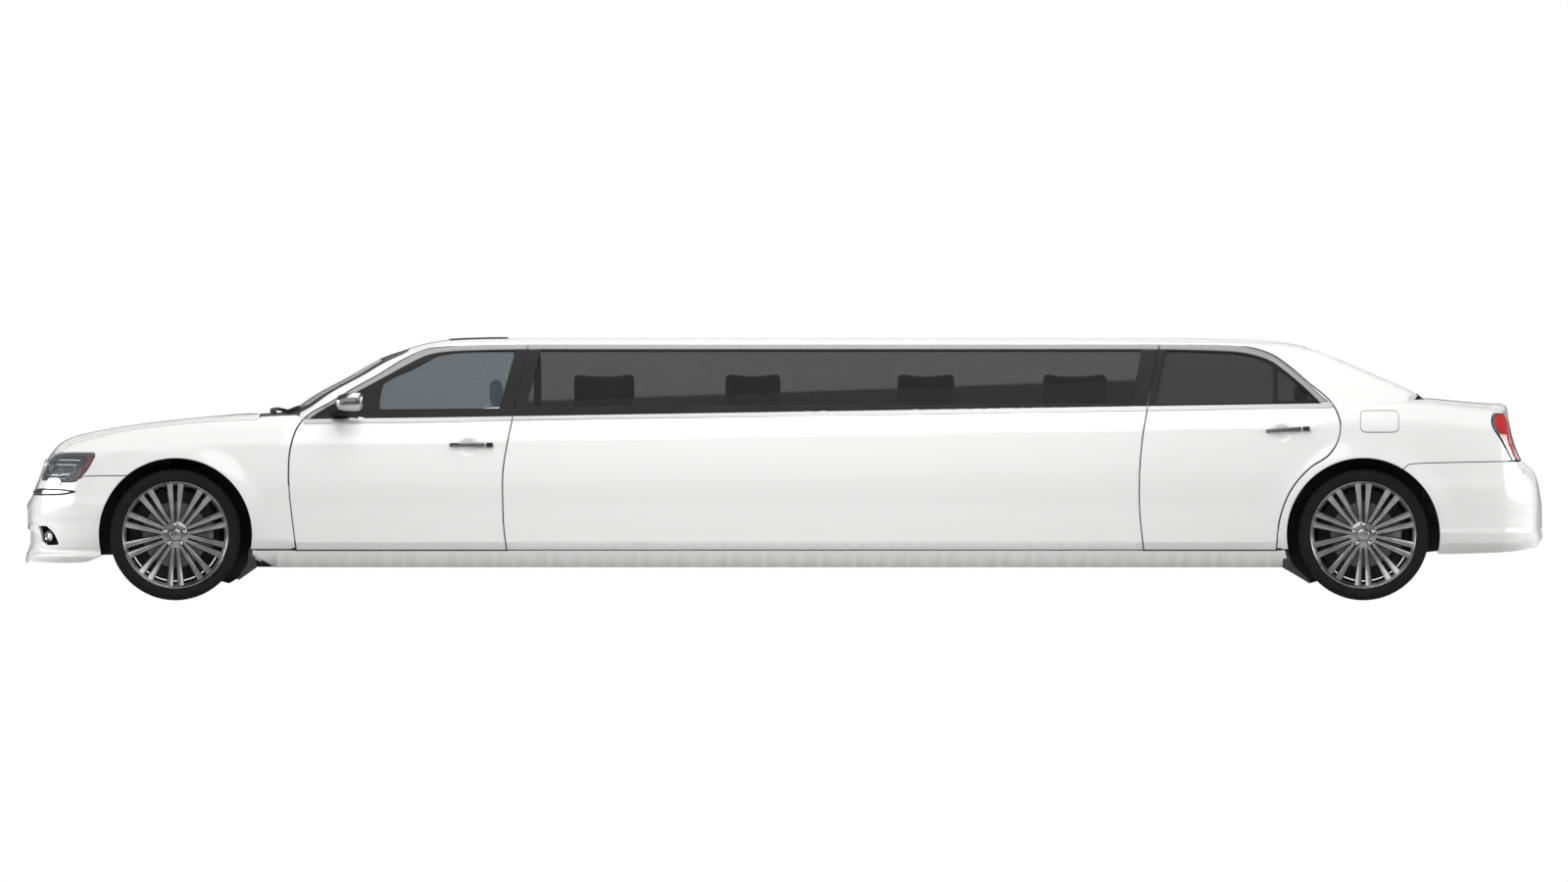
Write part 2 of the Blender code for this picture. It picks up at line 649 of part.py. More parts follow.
def build_nose():
    block = side_slab("bumper_region", placed(FRONT_BUMPER, front), -X_OUT)
    bumper = make_panel(block, SHEET)
    grille_box = box("grille_cut", (-HEADLIGHT_INNER, HEADLIGHT_INNER),
                     (front(-1.0), front(-0.5)), (GRILLE_BOTTOM - GAP, 1.0))
    carve(bumper, arch(FRONT_AXLE, ARCH_RADIUS), grille_box)
    for sign in (-1, 1):
        carve(bumper, prism("lamp_cut", grown(placed(HEADLIGHT, front), GAP), "x",
                            sign * (HEADLIGHT_INNER - GAP), sign * X_OUT))
    carve(bumper, box("intake", (-0.42, 0.42), (front(-1.0), front(-0.60)), (0.30, 0.40)))
    finish(bumper, "front_bumper", "white_paint")

    lamp_region = side_slab("lamp_region", placed(HEADLIGHT, front), HEADLIGHT_INNER)
    lamp = make_panel(lamp_region, LAMP_DEPTH)
    carve(lamp, hood_block(DOOR_GAP))
    both_sides(lamp, "headlight", "clear_lamp")

    inner = HEADLIGHT_INNER - GAP
    grille = make_panel(box("grille_region", (-inner, inner), (front(-1.0), front(-0.55)),
                            (GRILLE_BOTTOM, 1.0)), SHEET)
    carve(grille, hood_block(DOOR_GAP))
    finish(grille, "grille", "black_plastic")


def build_hood():
    hood = make_panel(hood_block(), SHEET)
    return finish(hood, "hood", "white_paint", (0, HOOD_REAR + DOOR_GAP / 2, HOOD_AXIS_Z))


def build_roof():
    outline = [(front(COWL_REAR), PILLAR_FOOT), (front(COWL_REAR), 1.60), (rear(0.50), 1.60),
               (rear(0.50), ROOF_LINE), (front(1.90), ROOF_LINE), (front(1.78), 1.395),
               (front(1.40), 1.330), (front(1.10), 1.170), (front(0.80), 1.000),
               (front(0.76), PILLAR_FOOT)]
    roof = make_panel(side_slab("roof_region", outline, -X_OUT), SHEET, FRAME_DEPTH)
    door = front_door_block(DOOR_GAP)
    carve(roof, mirrored(door, "door_cut"), door)
    carve(roof, screen_block(), backlight_block())
    finish(roof, "roof_panel", "white_paint")


def make_glass(block):
    shape = common(hull(GLASS_SET), block)
    return carve(shape, hull(GLASS_SET + GLASS))


def build_screens():
    finish(make_glass(screen_block(-GAP)), "windscreen", "dark_glass")
    finish(make_glass(backlight_block(-GAP)), "rear_window", "dark_glass")


def long_window(amount=0.0):
    outline = placed(LONG_WINDOW_FRONT, front) + placed(LONG_WINDOW_REAR, rear)
    return side_slab("long_window", grown(outline, amount))


def build_side_panels():
    outline = [(front(1.78), SILL_TOP + GAP), (front(1.78), ROOF_LINE - GAP),
               (rear(-1.05), ROOF_LINE - GAP), (rear(-1.05), SILL_TOP + GAP)]
    side = make_panel(side_slab("side_region", outline, X_IN), DOOR_DEPTH, FRAME_DEPTH)
    carve(side, front_door_block(DOOR_GAP), rear_door_block(DOOR_GAP), long_window())
    striker = box("striker", (0.860, 0.900), (front(1.780), front(1.850)), (0.600, 0.640))
    join(side, carve(striker, front_door_block(GAP)))
    both_sides(side, "side_panel", "white_paint")
    both_sides(make_glass(long_window(-GAP)), "side_window", "dark_glass")


def build_doors():
    made = []
    for stem, block, window, frame, hinge in (
            ("front_door", front_door_block, FRONT_WINDOW, front, FRONT_HINGE),
            ("rear_door", rear_door_block, REAR_WINDOW, rear, REAR_HINGE)):
        door = make_panel(block(), DOOR_DEPTH, FRAME_DEPTH)
        if frame is front:
            carve(door, box("hinge_end", (0, HINGE_END_X), (front(0), front(HINGE_END_Y)),
                            (0, HINGE_END_Z)))
        opening = placed(window, frame)
        carve(door, side_slab("window_cut", opening))
        left, right = both_sides(door, stem, "white_paint", hinge)
        pane = make_glass(side_slab("pane", grown(opening, -GAP)))
        twin = mirrored(pane, "pane_right")
        finish(pane, stem + "_glass_left", "dark_glass", hinge, left)
        x, y, z = hinge
        finish(twin, stem + "_glass_right", "dark_glass", (-x, y, z), right)
        made.append((left, right))
    return made


def build_sills():
    rail = common(hull(), box("sill_region", (SILL_INNER, 1.1), (front(0.450), rear(-0.438)),
                              (0.1, SILL_TOP)))
    carve(rail, front_door_block(DOOR_GAP), rear_door_block(DOOR_GAP))
    both_sides(rail, "sill", "white_paint")


def flap_block(amount=0.0):
    return side_slab("flap_block", grown(placed(FUEL_FLAP, rear), amount), 0.5)


def build_tail():
    outline = [(rear(-0.95), SILL_TOP + GAP), (rear(-0.95), ROOF_LINE - GAP),
               (rear(1.10), ROOF_LINE - GAP), (rear(1.10), SILL_TOP + GAP)]
    quarter = make_panel(side_slab("quarter_region", outline, 0.50), SHEET, FRAME_DEPTH)
    carve(quarter, rear_door_block(DOOR_GAP), lid_block(DOOR_GAP), backlight_block(),
          side_slab("lamp_cut", grown(placed(TAIL_LAMP, rear), GAP)),
          side_slab("bumper_cut", grown(placed(REAR_BUMPER, rear), GAP)),
          arch(REAR_AXLE, ARCH_RADIUS),
          box("shelf_cut", (0, SHELF_X), (rear(0.0), rear(0.40)), (0.9, 1.16)))
    striker = box("striker", (0.915, 0.935), (rear(-0.450), rear(-0.385)), (0.600, 0.630))
    join(quarter, carve(striker, rear_door_block(GAP)))
    twin = mirrored(quarter, "quarter_panel_right")
    pocket = carve(flap_block(DOOR_GAP), hull(FLAP_DEPTH + GAP))
    carve(quarter, pocket)
    finish(quarter, "quarter_panel_left", "white_paint")
    finish(twin, "quarter_panel_right", "white_paint")
    flap = carve(common(hull(), flap_block()), hull(FLAP_DEPTH))
    finish(flap, "fuel_flap", "white_paint", FLAP_HINGE)

    finish(make_panel(lid_block(), SHEET), "trunk_lid", "white_paint",
           (0, rear(min(y for x, y in LID_HALF)) - DOOR_GAP / 2, LID_AXIS_Z))

    lamp = make_panel(side_slab("tail_region", placed(TAIL_LAMP, rear), LAMP_INNER), 0.060)
    carve(lamp, lid_block(DOOR_GAP))
    both_sides(lamp, "tail_lamp", "red_lamp")

    bumper = make_panel(side_slab("bumper_region", placed(REAR_BUMPER, rear), -X_OUT), SHEET)
    carve(bumper, arch(REAR_AXLE, ARCH_RADIUS),
          box("bumper_open", (-0.62, 0.62), (rear(0.0), rear(0.88)), (0.1, 0.34)))
    finish(bumper, "rear_bumper", "white_paint")


# ---------------------------------------------------------------- structure under the skin
def wheelhouse(axle, wall_x):
    """Inner arch of one wheel on the left side with its inner wall."""
    outer = ARCH_RADIUS + 0.002 + LINER_WALL
    width = 0.93 - wall_x
    centre = (wall_x + width / 2, axle, TYRE_RADIUS)
    shell = drum("liner", centre, outer, width, "x", 32)
    hollow = drum("hollow", (wall_x + LINER_WALL + width / 2, axle, TYRE_RADIUS),
                  ARCH_RADIUS + 0.002, width, "x", 32)
    carve(shell, hollow,
          box("low", (0, 1.2), (axle - 1, axle + 1), (-0.2, TYRE_RADIUS - LINER_DROP)),
          box("shaft", (0, wall_x + 0.05), (axle - 0.10, axle + 0.10), (0, TYRE_RADIUS + 0.08)))
    return shell


def build_front_structure():
    wall = box("firewall", (-COWL_X + GAP, COWL_X - GAP), (front(0.560), front(0.580)),
               (FLOOR_LEVEL, 1.3))
    strip = box("cowl", (-COWL_X + GAP, COWL_X - GAP),
                (HOOD_REAR + DOOR_GAP, front(COWL_REAR) - GAP), (0.8, 1.3))
    strip = carve(common(hull(), strip), hull(SHEET))
    shape = join(common(wall, hull()), strip)
    carve(shape, box("sill_cut", (-1, -SILL_INNER + GAP), (front(0.4), front(0.7)),
                     (0, SILL_TOP + 0.01)),
          box("sill_cut", (SILL_INNER - GAP, 1), (front(0.4), front(0.7)), (0, SILL_TOP + 0.01)))
    for sign in (1, -1):
        inner = sign * (RAIL_X - RAIL_WIDTH / 2)
        outer = sign * (RAIL_X + RAIL_WIDTH / 2)
        rail = box("rail", (inner, outer), (front(-0.610), front(0.570)), (0.400, 0.500))
        apron = box("apron", (outer - sign * 0.004, sign * APRON_X), (front(-0.430), front(0.570)),
                    (0.300, 0.880))
        house = wheelhouse(FRONT_AXLE, APRON_X - LINER_WALL)
        if sign < 0:
            twin = mirrored(house, "house")
            bpy.data.objects.remove(house)
            house = twin
        common(house, hull(SHEET + GAP))
        join(shape, rail, apron, house)
        stop = box("stop", (sign * 0.40, sign * 0.44), (front(-0.600), front(-0.560)), (0.45, 1.0))
        join(shape, common(stop, hull(SHEET + GAP)))
    radiator = box("radiator", (-0.60, 0.60), (front(-0.625), front(-0.600)), (0.330, 0.740))
    join(shape, common(radiator, hull(LAMP_DEPTH + GAP)))
    finish(shape, "front_structure", "black_plastic")


def build_floor():
    floor = box("floor", (-SILL_INNER + GAP, SILL_INNER - GAP),
                (front(0.580) + GAP, rear(-0.470) - GAP),
                (FLOOR_LEVEL, FLOOR_LEVEL + FLOOR_THICKNESS))
    finish(floor, "floor_pan", "black_plastic")


REAR_FLOOR = 0.420


def build_rear_structure():
    x = REAR_HOUSE_X
    shape = box("kick", (-SILL_INNER + GAP, SILL_INNER - GAP), (rear(-0.470), rear(-0.450)),
                (FLOOR_LEVEL, REAR_FLOOR + 0.02))
    join(shape,
         box("over_axle", (-x, x), (rear(-0.460), rear(0.460)), (REAR_FLOOR, REAR_FLOOR + 0.02)),
         box("bulkhead", (-x, x), (rear(-0.270), rear(-0.250)), (REAR_FLOOR + 0.01, 1.010)),
         box("shelf", (-x, x), (rear(-0.270), rear(0.230)), (1.000, 1.020)),
         common(box("boot_floor", (-0.72, 0.72), (rear(0.440), rear(0.920)),
                    (REAR_FLOOR, REAR_FLOOR + 0.02)), hull(SHEET + GAP)))
    bar = box("shelf_bar", (-SHELF_X + GAP, SHELF_X - GAP), (rear(0.220), rear(0.40)),
              (0.985, 1.30))
    bar = common(hull(), bar)
    carve(bar, lid_block(DOOR_GAP), backlight_block())
    carve(bar, box("clear", (-1, 1), (rear(0.340), rear(0.5)), (0.9, 1.3)))
    join(shape, bar)
    for sign in (1, -1):
        house = wheelhouse(REAR_AXLE, x - LINER_WALL / 2)
        if sign < 0:
            twin = mirrored(house, "house")
            bpy.data.objects.remove(house)
            house = twin
        common(house, hull(SHEET + GAP))
        stop = box("stop", (sign * 0.46, sign * 0.50), (rear(0.700), rear(0.740)),
                   (REAR_FLOOR + 0.01, 1.2))
        join(shape, house, common(stop, hull(SHEET + GAP)))
    finish(shape, "rear_structure", "black_plastic")


# ---------------------------------------------------------------- running gear
def tube(name, points, radius):
    """A round pipe through points."""
    curve = bpy.data.curves.new(name, "CURVE")
    curve.dimensions = "3D"
    curve.bevel_depth = radius
    curve.bevel_resolution = 2
    curve.use_fill_caps = True
    spline = curve.splines.new("POLY")
    spline.points.add(len(points) - 1)
    for point, place in zip(spline.points, points):
        point.co = (*place, 1)
    return as_mesh(link(bpy.data.objects.new(name, curve), cutters))


def carrier(axle):
    """Hub carrier of the left wheel with its brake caliper round the disc."""
    hub_z = TYRE_RADIUS
    face = WHEEL_X + HUB_FACE
    plate = box("plate", (face - 0.040, face - 0.010), (axle - 0.045, axle + 0.045),
                (hub_z - 0.115, hub_z + 0.115))
    boss = drum("boss", (face - 0.015, axle, hub_z), HUB_BORE, 0.030 - 2 * GAP)
    arm = box("arm", (face - 0.035, face - 0.012), (axle + 0.040, axle + DISC_RADIUS - 0.010),
              (hub_z - 0.035, hub_z + 0.035))
    grip = box("caliper", (face - 0.035, face + 0.068),
               (axle + DISC_RADIUS - 0.080, axle + DISC_RADIUS + 0.022),
               (hub_z - 0.070, hub_z + 0.070))
    slot = drum("slot", (DISC_CENTRE, axle, hub_z), DISC_RADIUS + 0.007, DISC_THICKNESS + 0.014)
    carve(grip, slot)
    return join(plate, boss, arm, grip)


def build_front_axle():
    shape = box("crossmember", (-RAIL_X, RAIL_X), (front(-0.050), front(0.050)), (0.240, 0.2997))
    for sign in (1, -1):
        post = box("post", (sign * 0.388, sign * 0.450), (front(-0.045), front(0.045)),
                   (0.190, 0.400 - GAP))
        arm = box("arm", (sign * 0.440, sign * KINGPIN_X), (front(-0.020), front(0.020)),
                  (0.190, ARM_TOP))
        end = drum("ball_seat", (sign * KINGPIN_X, FRONT_AXLE, (0.190 + ARM_TOP) / 2), 0.024,
                   ARM_TOP - 0.190, "z", 16)
        join(shape, post, arm, end)
    finish(shape, "front_subframe", "dull_steel")
    knuckle = carrier(FRONT_AXLE)
    join(knuckle, drum("pin", (KINGPIN_X, FRONT_AXLE, (ARM_TOP + GAP + 0.30) / 2), 0.016,
                       0.30 - ARM_TOP - GAP, "z", 16))
    return both_sides(knuckle, "knuckle", "dull_steel", (KINGPIN_X, FRONT_AXLE, TYRE_RADIUS))


def build_rear_axle():
    reach = WHEEL_X - 0.055
    shape = box("crossmember", (-reach, reach), (rear(-0.050), rear(0.050)), (0.270, 0.340))
    for sign in (1, -1):
        post = box("post", (sign * 0.380, sign * 0.450), (rear(-0.045), rear(0.045)),
                   (0.330, REAR_FLOOR - GAP))
        side = carrier(REAR_AXLE)
        if sign < 0:
            twin = mirrored(side, "side")
            bpy.data.objects.remove(side)
            side = twin
        join(shape, post, side)
    finish(shape, "rear_axle", "dull_steel")


def build_engine():
    engine = box("engine", (-0.300, 0.300), (front(-0.420), front(0.420)), (0.305, 0.840))
    for sign in (1, -1):
        join(engine, box("mount", (sign * 0.290, sign * (RAIL_X - RAIL_WIDTH / 2 - GAP)),
                         (front(-0.060), front(0.060)), (0.420, 0.480)))
    finish(engine, "engine", "dull_steel")


def build_exhaust():
    z = FLOOR_LEVEL - EXHAUST_RADIUS - GAP
    pipe = tube("exhaust", [(0.20, front(0.30), z), (0.20, rear(0.08), z),
                            (0.20, rear(0.36), 0.330), (0.20, rear(0.50), 0.345)],
                EXHAUST_RADIUS)
    join(pipe, box("silencer", (-0.30, 0.30), (rear(0.480), rear(0.760)),
                   (0.285, REAR_FLOOR - GAP)))
    finish(pipe, "exhaust", "dull_steel")


# Places along a wheel's axle from its middle plane, outwards positive.
DISC_AXIAL = -0.0025
HUB_FACE = -0.0250          # inner face of the hub flange
DISC_CENTRE = WHEEL_X + DISC_AXIAL
ARM_TOP = 0.2200
FACE_AXIAL = 0.080


def polar(radius, angle):
    return (radius * math.cos(angle), radius * math.sin(angle))


def wheel_shape():
    """Rim with ten pairs of spokes, hub and brake disc, its axle along Z."""
    half = RIM_DEPTH / 2
    inner = RIM_RADIUS - RIM_WALL
    barrel = turned("barrel", [(RIM_RADIUS, half), (inner, half), (inner, -half),
                               (RIM_RADIUS, -half)], WHEEL_SIDES)
    pitch = 2 * math.pi / SPOKE_PAIRS
    outer = [polar(RIM_RADIUS - RIM_WALL / 2, 2 * math.pi * i / WHEEL_SIDES)
             for i in range(WHEEL_SIDES)]
    holes = []
    reach, root = inner - 0.004, HUB_RADIUS + 0.012
    for pair in range(SPOKE_PAIRS):
        middle = math.pi / 2 + pair * pitch
        near, far = math.asin(0.0375 / reach), math.asin(0.0250 / root)
        holes.append([polar(root, middle + far), polar(reach, middle + near),
                      polar(reach, middle + pitch - near),
                      polar(root, middle + pitch - far)])
        near, far = math.asin(0.0130 / reach), math.asin(0.0070 / (root + 0.01))
        holes.append([polar(root + 0.01, middle - far), polar(reach, middle - near),
                      polar(reach, middle + near), polar(root + 0.01, middle + far)])
    face = prism("face", outer, "z", FACE_AXIAL, FACE_AXIAL + RIM_FACE, holes)
    half_disc = DISC_THICKNESS / 2
    hub = turned("hub", [(0.0005, FACE_AXIAL + RIM_FACE + 0.006), (0.0005, HUB_FACE + GAP),
                         (HUB_BORE, HUB_FACE + GAP), (HUB_BORE, DISC_AXIAL - half_disc),
                         (DISC_RADIUS, DISC_AXIAL - half_disc),
                         (DISC_RADIUS, DISC_AXIAL + half_disc),
                         (0.080, DISC_AXIAL + half_disc), (0.080, FACE_AXIAL - 0.02),
                         (HUB_RADIUS, FACE_AXIAL - 0.01), (HUB_RADIUS, FACE_AXIAL + RIM_FACE),
                         (0.034, FACE_AXIAL + RIM_FACE + 0.006)], 16)
    return tidy(join(barrel, face, hub))


def tyre_shape():
    half = TYRE_WIDTH / 2
    bore = RIM_RADIUS + GAP
    edge = TYRE_RADIUS - TYRE_SHOULDER
    return turned("tyre", [(TYRE_RADIUS, half - 0.030), (TYRE_RADIUS, 0.030 - half),
                           (edge, -half), (bore, 0.012 - half), (bore, half - 0.012),
                           (edge, half)], WHEEL_SIDES)


def build_wheels(knuckles):
    rim = wheel_shape()
    tyre = tyre_shape()
    for end, axle in (("front", FRONT_AXLE), ("rear", REAR_AXLE)):
        for index, (side, sign) in enumerate(SIDES):
            centre = (sign * WHEEL_X, axle, TYRE_RADIUS)
            turn = Matrix.Rotation(sign * math.pi / 2, 4, "Y")
            parent = knuckles[index] if end == "front" else None
            wheel = copy_of(rim, "wheel")
            wheel.data.transform(Matrix.Translation(centre) @ turn)
            wheel = finish(wheel, "rim_%s_%s" % (end, side), "wheel_alloy", centre, parent, False)
            rubber = copy_of(tyre, "rubber")
            rubber.data.transform(Matrix.Translation(centre) @ turn)
            finish(rubber, "tyre_%s_%s" % (end, side), "tyre_rubber", centre, wheel, False)
    bpy.data.objects.remove(rim)
    bpy.data.objects.remove(tyre)


# ---------------------------------------------------------------- cabin
FLOOR_TOP = FLOOR_LEVEL + FLOOR_THICKNESS


def build_dashboard():
    outline = [(0.580 + GAP, 0.620), (0.880, 0.620), (0.985, 0.740), (0.965, 0.900),
               (0.840, 0.975), (0.580 + GAP, 0.975)]
    dash = prism("dashboard", placed(outline, front), "x", -0.760, 0.760)
    common(dash, hull(DOOR_DEPTH + DASH_CLEARANCE, FRAME_DEPTH + DASH_CLEARANCE))
    wheel_at = Vector((0.360, front(1.130), 0.900))
    bpy.ops.mesh.primitive_torus_add(major_radius=0.180, minor_radius=0.015, major_segments=24,
                                     minor_segments=8)
    ring = bpy.context.active_object
    for owner in ring.users_collection:
        owner.objects.unlink(ring)
    link(ring, cutters)
    tilt = Matrix.Rotation(math.radians(-65), 4, "X")
    ring.data.transform(Matrix.Translation(wheel_at) @ tilt)
    spoke = box("spoke", (-0.178, 0.178), (-0.030, 0.030), (-0.010, 0.010))
    spoke.data.transform(Matrix.Translation(wheel_at) @ tilt)
    column = drum("column", (0, 0, -0.135), 0.032, 0.280, "z", 12)
    column.data.transform(Matrix.Translation(wheel_at) @ tilt)
    join(dash, hide(ring), spoke, column)
    finish(dash, "dashboard", "grey_trim")


def build_front_seats():
    base = FLOOR_TOP + GAP
    seats = box("console", (-0.120, 0.120), (front(1.250), front(1.800)), (base, 0.520))
    for sign in (1, -1):
        inner, outer = sign * 0.110, sign * (0.110 + SEAT_WIDTH)
        middle = sign * (0.110 + SEAT_WIDTH / 2)
        cushion = box("cushion", (inner, outer), (front(1.230), front(1.230) + SEAT_DEPTH),
                      (base, base + SEAT_HEIGHT))
        back = box("back", (inner, outer), (front(1.690), front(1.830)), (base + 0.1, 1.040))
        head = box("head", (middle - 0.13, middle + 0.13), (front(1.740), front(1.820)),
                   (1.030, 1.240))
        join(seats, cushion, back, head)
    finish(seats, "front_seats", "black_leather")


def build_partition():
    wall = box("wall", (-0.9, 0.9), (front(2.000), front(2.030)), (FLOOR_TOP + GAP, 1.45))
    common(wall, hull(DOOR_DEPTH + GAP, FRAME_DEPTH + GAP))
    carve(wall, box("pass", (-0.45, 0.45), (front(1.9), front(2.1)), (1.06, 1.32)))
    finish(wall, "partition", "black_leather")


def build_side_bench():
    base = FLOOR_TOP + GAP
    bench = box("cushion", (-0.745, -0.280), (front(2.080), rear(-1.280)),
                (base, base + SEAT_HEIGHT))
    join(bench, box("back", (-0.735, -0.570), (front(2.080), rear(-1.280)), (base + 0.1, 1.095)))
    length = rear(-1.280) - front(2.080)
    for index in range(4):
        middle = front(2.080) + length * (0.095 + 0.262 * index)
        join(bench, box("head", (-0.650, -0.570), (middle - 0.17, middle + 0.17),
                        (1.085, HEADREST_TOP)))
    finish(bench, "side_bench", "black_leather")


def build_rear_bench():
    base = FLOOR_TOP + GAP
    bench = box("cushion", (-0.690, 0.690), (rear(-1.020), rear(-0.470) - GAP),
                (base, base + SEAT_HEIGHT))
    back = box("back", (-0.550, 0.550), (rear(-0.500), rear(-0.270) - GAP),
               (REAR_FLOOR + 0.02 + GAP, 1.080))
    join(bench, back)
    for middle in (-0.33, 0.33):
        join(bench, box("head", (middle - 0.13, middle + 0.13), (rear(-0.400), rear(-0.300)),
                        (1.07, 1.210)))
    finish(bench, "rear_bench", "black_leather")


def build_mirrors():
    shell = box("mirror", (0.900, 1.065), (front(0.892), front(1.048)), (1.052, 1.155))
    join(shell, box("foot", (0.780, 0.960), (front(0.920), front(0.990)), (1.030, 1.075)))
    carve(shell, hull(-GAP))
    left = bpy.data.objects["front_door_left"]
    right = bpy.data.objects["front_door_right"]
    twin = mirrored(shell, "mirror_right")
    x, y, z = FRONT_HINGE
    finish(shell, "mirror_left", "chrome", FRONT_HINGE, left)
    finish(twin, "mirror_right", "chrome", (-x, y, z), right)


# ---------------------------------------------------------------- joint places
WIDEST = max(row[7] for row in SECTIONS)
FRONT_HINGE = (WIDEST + 0.003, min(y for y, z in FRONT_EDGES[0]) - DOOR_GAP / 2, 0.620)
REAR_HINGE = (WIDEST + 0.003, min(y for y, z in REAR_EDGES[0]) - DOOR_GAP / 2, 0.620)
HOOD_AXIS_Z = 1.040
LID_AXIS_Z = 1.130
FLAP_HINGE = (0.927, rear(-0.018), 0.935)


# ---------------------------------------------------------------- assembly
def new_collection(name):
    collection = bpy.data.collections.new(name)
    bpy.context.scene.collection.children.link(collection)
    return collection


for old in list(bpy.data.objects):
    bpy.data.objects.remove(old)
model = new_collection("stretched_limousine")
cutters = new_collection("cutters")

build_fenders()
build_nose()
build_hood()
build_roof()
build_screens()
build_side_panels()
build_doors()
build_sills()
build_tail()
build_front_structure()
build_floor()
build_rear_structure()
front_knuckles = build_front_axle()
build_rear_axle()
build_engine()
build_exhaust()
build_wheels(front_knuckles)
build_dashboard()
build_front_seats()
build_partition()
build_side_bench()
build_rear_bench()
build_mirrors()

for form in forms.values():
    bpy.data.objects.remove(form)
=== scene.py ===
import json
import math

import bmesh
import bpy
import numpy as np
from mathutils import Matrix, Vector
from mathutils.bvhtree import BVHTree
from mathutils.geometry import delaunay_2d_cdt

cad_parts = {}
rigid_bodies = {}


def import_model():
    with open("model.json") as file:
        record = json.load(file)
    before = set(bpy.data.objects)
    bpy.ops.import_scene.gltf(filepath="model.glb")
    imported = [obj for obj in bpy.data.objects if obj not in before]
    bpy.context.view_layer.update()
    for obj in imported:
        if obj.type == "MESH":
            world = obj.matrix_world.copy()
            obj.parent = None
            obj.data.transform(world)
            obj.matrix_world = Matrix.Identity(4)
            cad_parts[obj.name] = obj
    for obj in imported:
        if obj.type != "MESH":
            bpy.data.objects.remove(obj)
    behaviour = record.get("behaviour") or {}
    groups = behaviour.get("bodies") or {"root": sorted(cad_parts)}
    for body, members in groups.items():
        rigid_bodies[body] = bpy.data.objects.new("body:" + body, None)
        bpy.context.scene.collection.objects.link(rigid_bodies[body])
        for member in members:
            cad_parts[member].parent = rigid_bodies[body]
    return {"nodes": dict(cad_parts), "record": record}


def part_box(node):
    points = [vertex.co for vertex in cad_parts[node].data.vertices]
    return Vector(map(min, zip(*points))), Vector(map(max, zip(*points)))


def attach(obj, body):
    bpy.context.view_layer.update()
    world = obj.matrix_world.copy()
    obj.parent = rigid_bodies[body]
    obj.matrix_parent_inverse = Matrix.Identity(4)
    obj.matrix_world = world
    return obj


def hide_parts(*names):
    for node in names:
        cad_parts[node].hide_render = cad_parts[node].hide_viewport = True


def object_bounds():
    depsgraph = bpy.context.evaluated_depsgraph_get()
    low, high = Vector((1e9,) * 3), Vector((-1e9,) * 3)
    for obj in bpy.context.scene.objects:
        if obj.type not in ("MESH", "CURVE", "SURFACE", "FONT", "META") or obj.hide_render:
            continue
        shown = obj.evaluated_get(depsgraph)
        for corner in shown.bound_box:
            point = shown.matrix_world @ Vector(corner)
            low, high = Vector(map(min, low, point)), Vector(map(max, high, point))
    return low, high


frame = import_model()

cadBox = [list(corner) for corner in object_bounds()]

# Places every piece is measured from: the axles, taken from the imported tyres.
frontTyre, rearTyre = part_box("tyre_front_left"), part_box("tyre_rear_left")
frontAxle = (frontTyre[0].y + frontTyre[1].y) / 2
rearAxle = (rearTyre[0].y + rearTyre[1].y) / 2
tyreRadius = (frontTyre[1].z - frontTyre[0].z) / 2
wheelX = (frontTyre[0].x + frontTyre[1].x) / 2


def front(y):
    return frontAxle + y


def rear(y):
    return rearAxle + y


def fromFront(points):
    return [(frontAxle + y, z) for y, z in points]


def fromRear(points):
    return [(rearAxle + y, z) for y, z in points]


finishes = {}


# shader values are written as plain sums
class Value:
    def __init__(self, finish, out):
        self.finish, self.out = finish, out

    def math(self, operation, other=0.0, turned=False, clamp=False):
        pair = (other, self) if turned else (self, other)
        return self.finish.add("Math", {"operation": operation, "use_clamp": clamp},
            {0: pair[0], 1: pair[1]})

    def __add__(self, other):
        return self.math("ADD", other)

    def __sub__(self, other):
        return self.math("SUBTRACT", other)

    def __rsub__(self, other):
        return self.math("SUBTRACT", other, True)

    def __mul__(self, other):
        return self.math("MULTIPLY", other)

    def __truediv__(self, other):
        return self.math("DIVIDE", other)

    def __rtruediv__(self, other):
        return self.math("DIVIDE", other, True)

    def __pow__(self, other):
        return self.math("POWER", other)

    def __neg__(self):
        return 0.0 - self

    def __abs__(self):
        return self.math("ABSOLUTE")

    __radd__, __rmul__ = __add__, __mul__

    def band(self, low, high):          # 0 below low, 1 above high
        return self.finish.add("MapRange", {"interpolation_type": "SMOOTHSTEP"},
            {"Value": self, "From Min": low, "From Max": high})


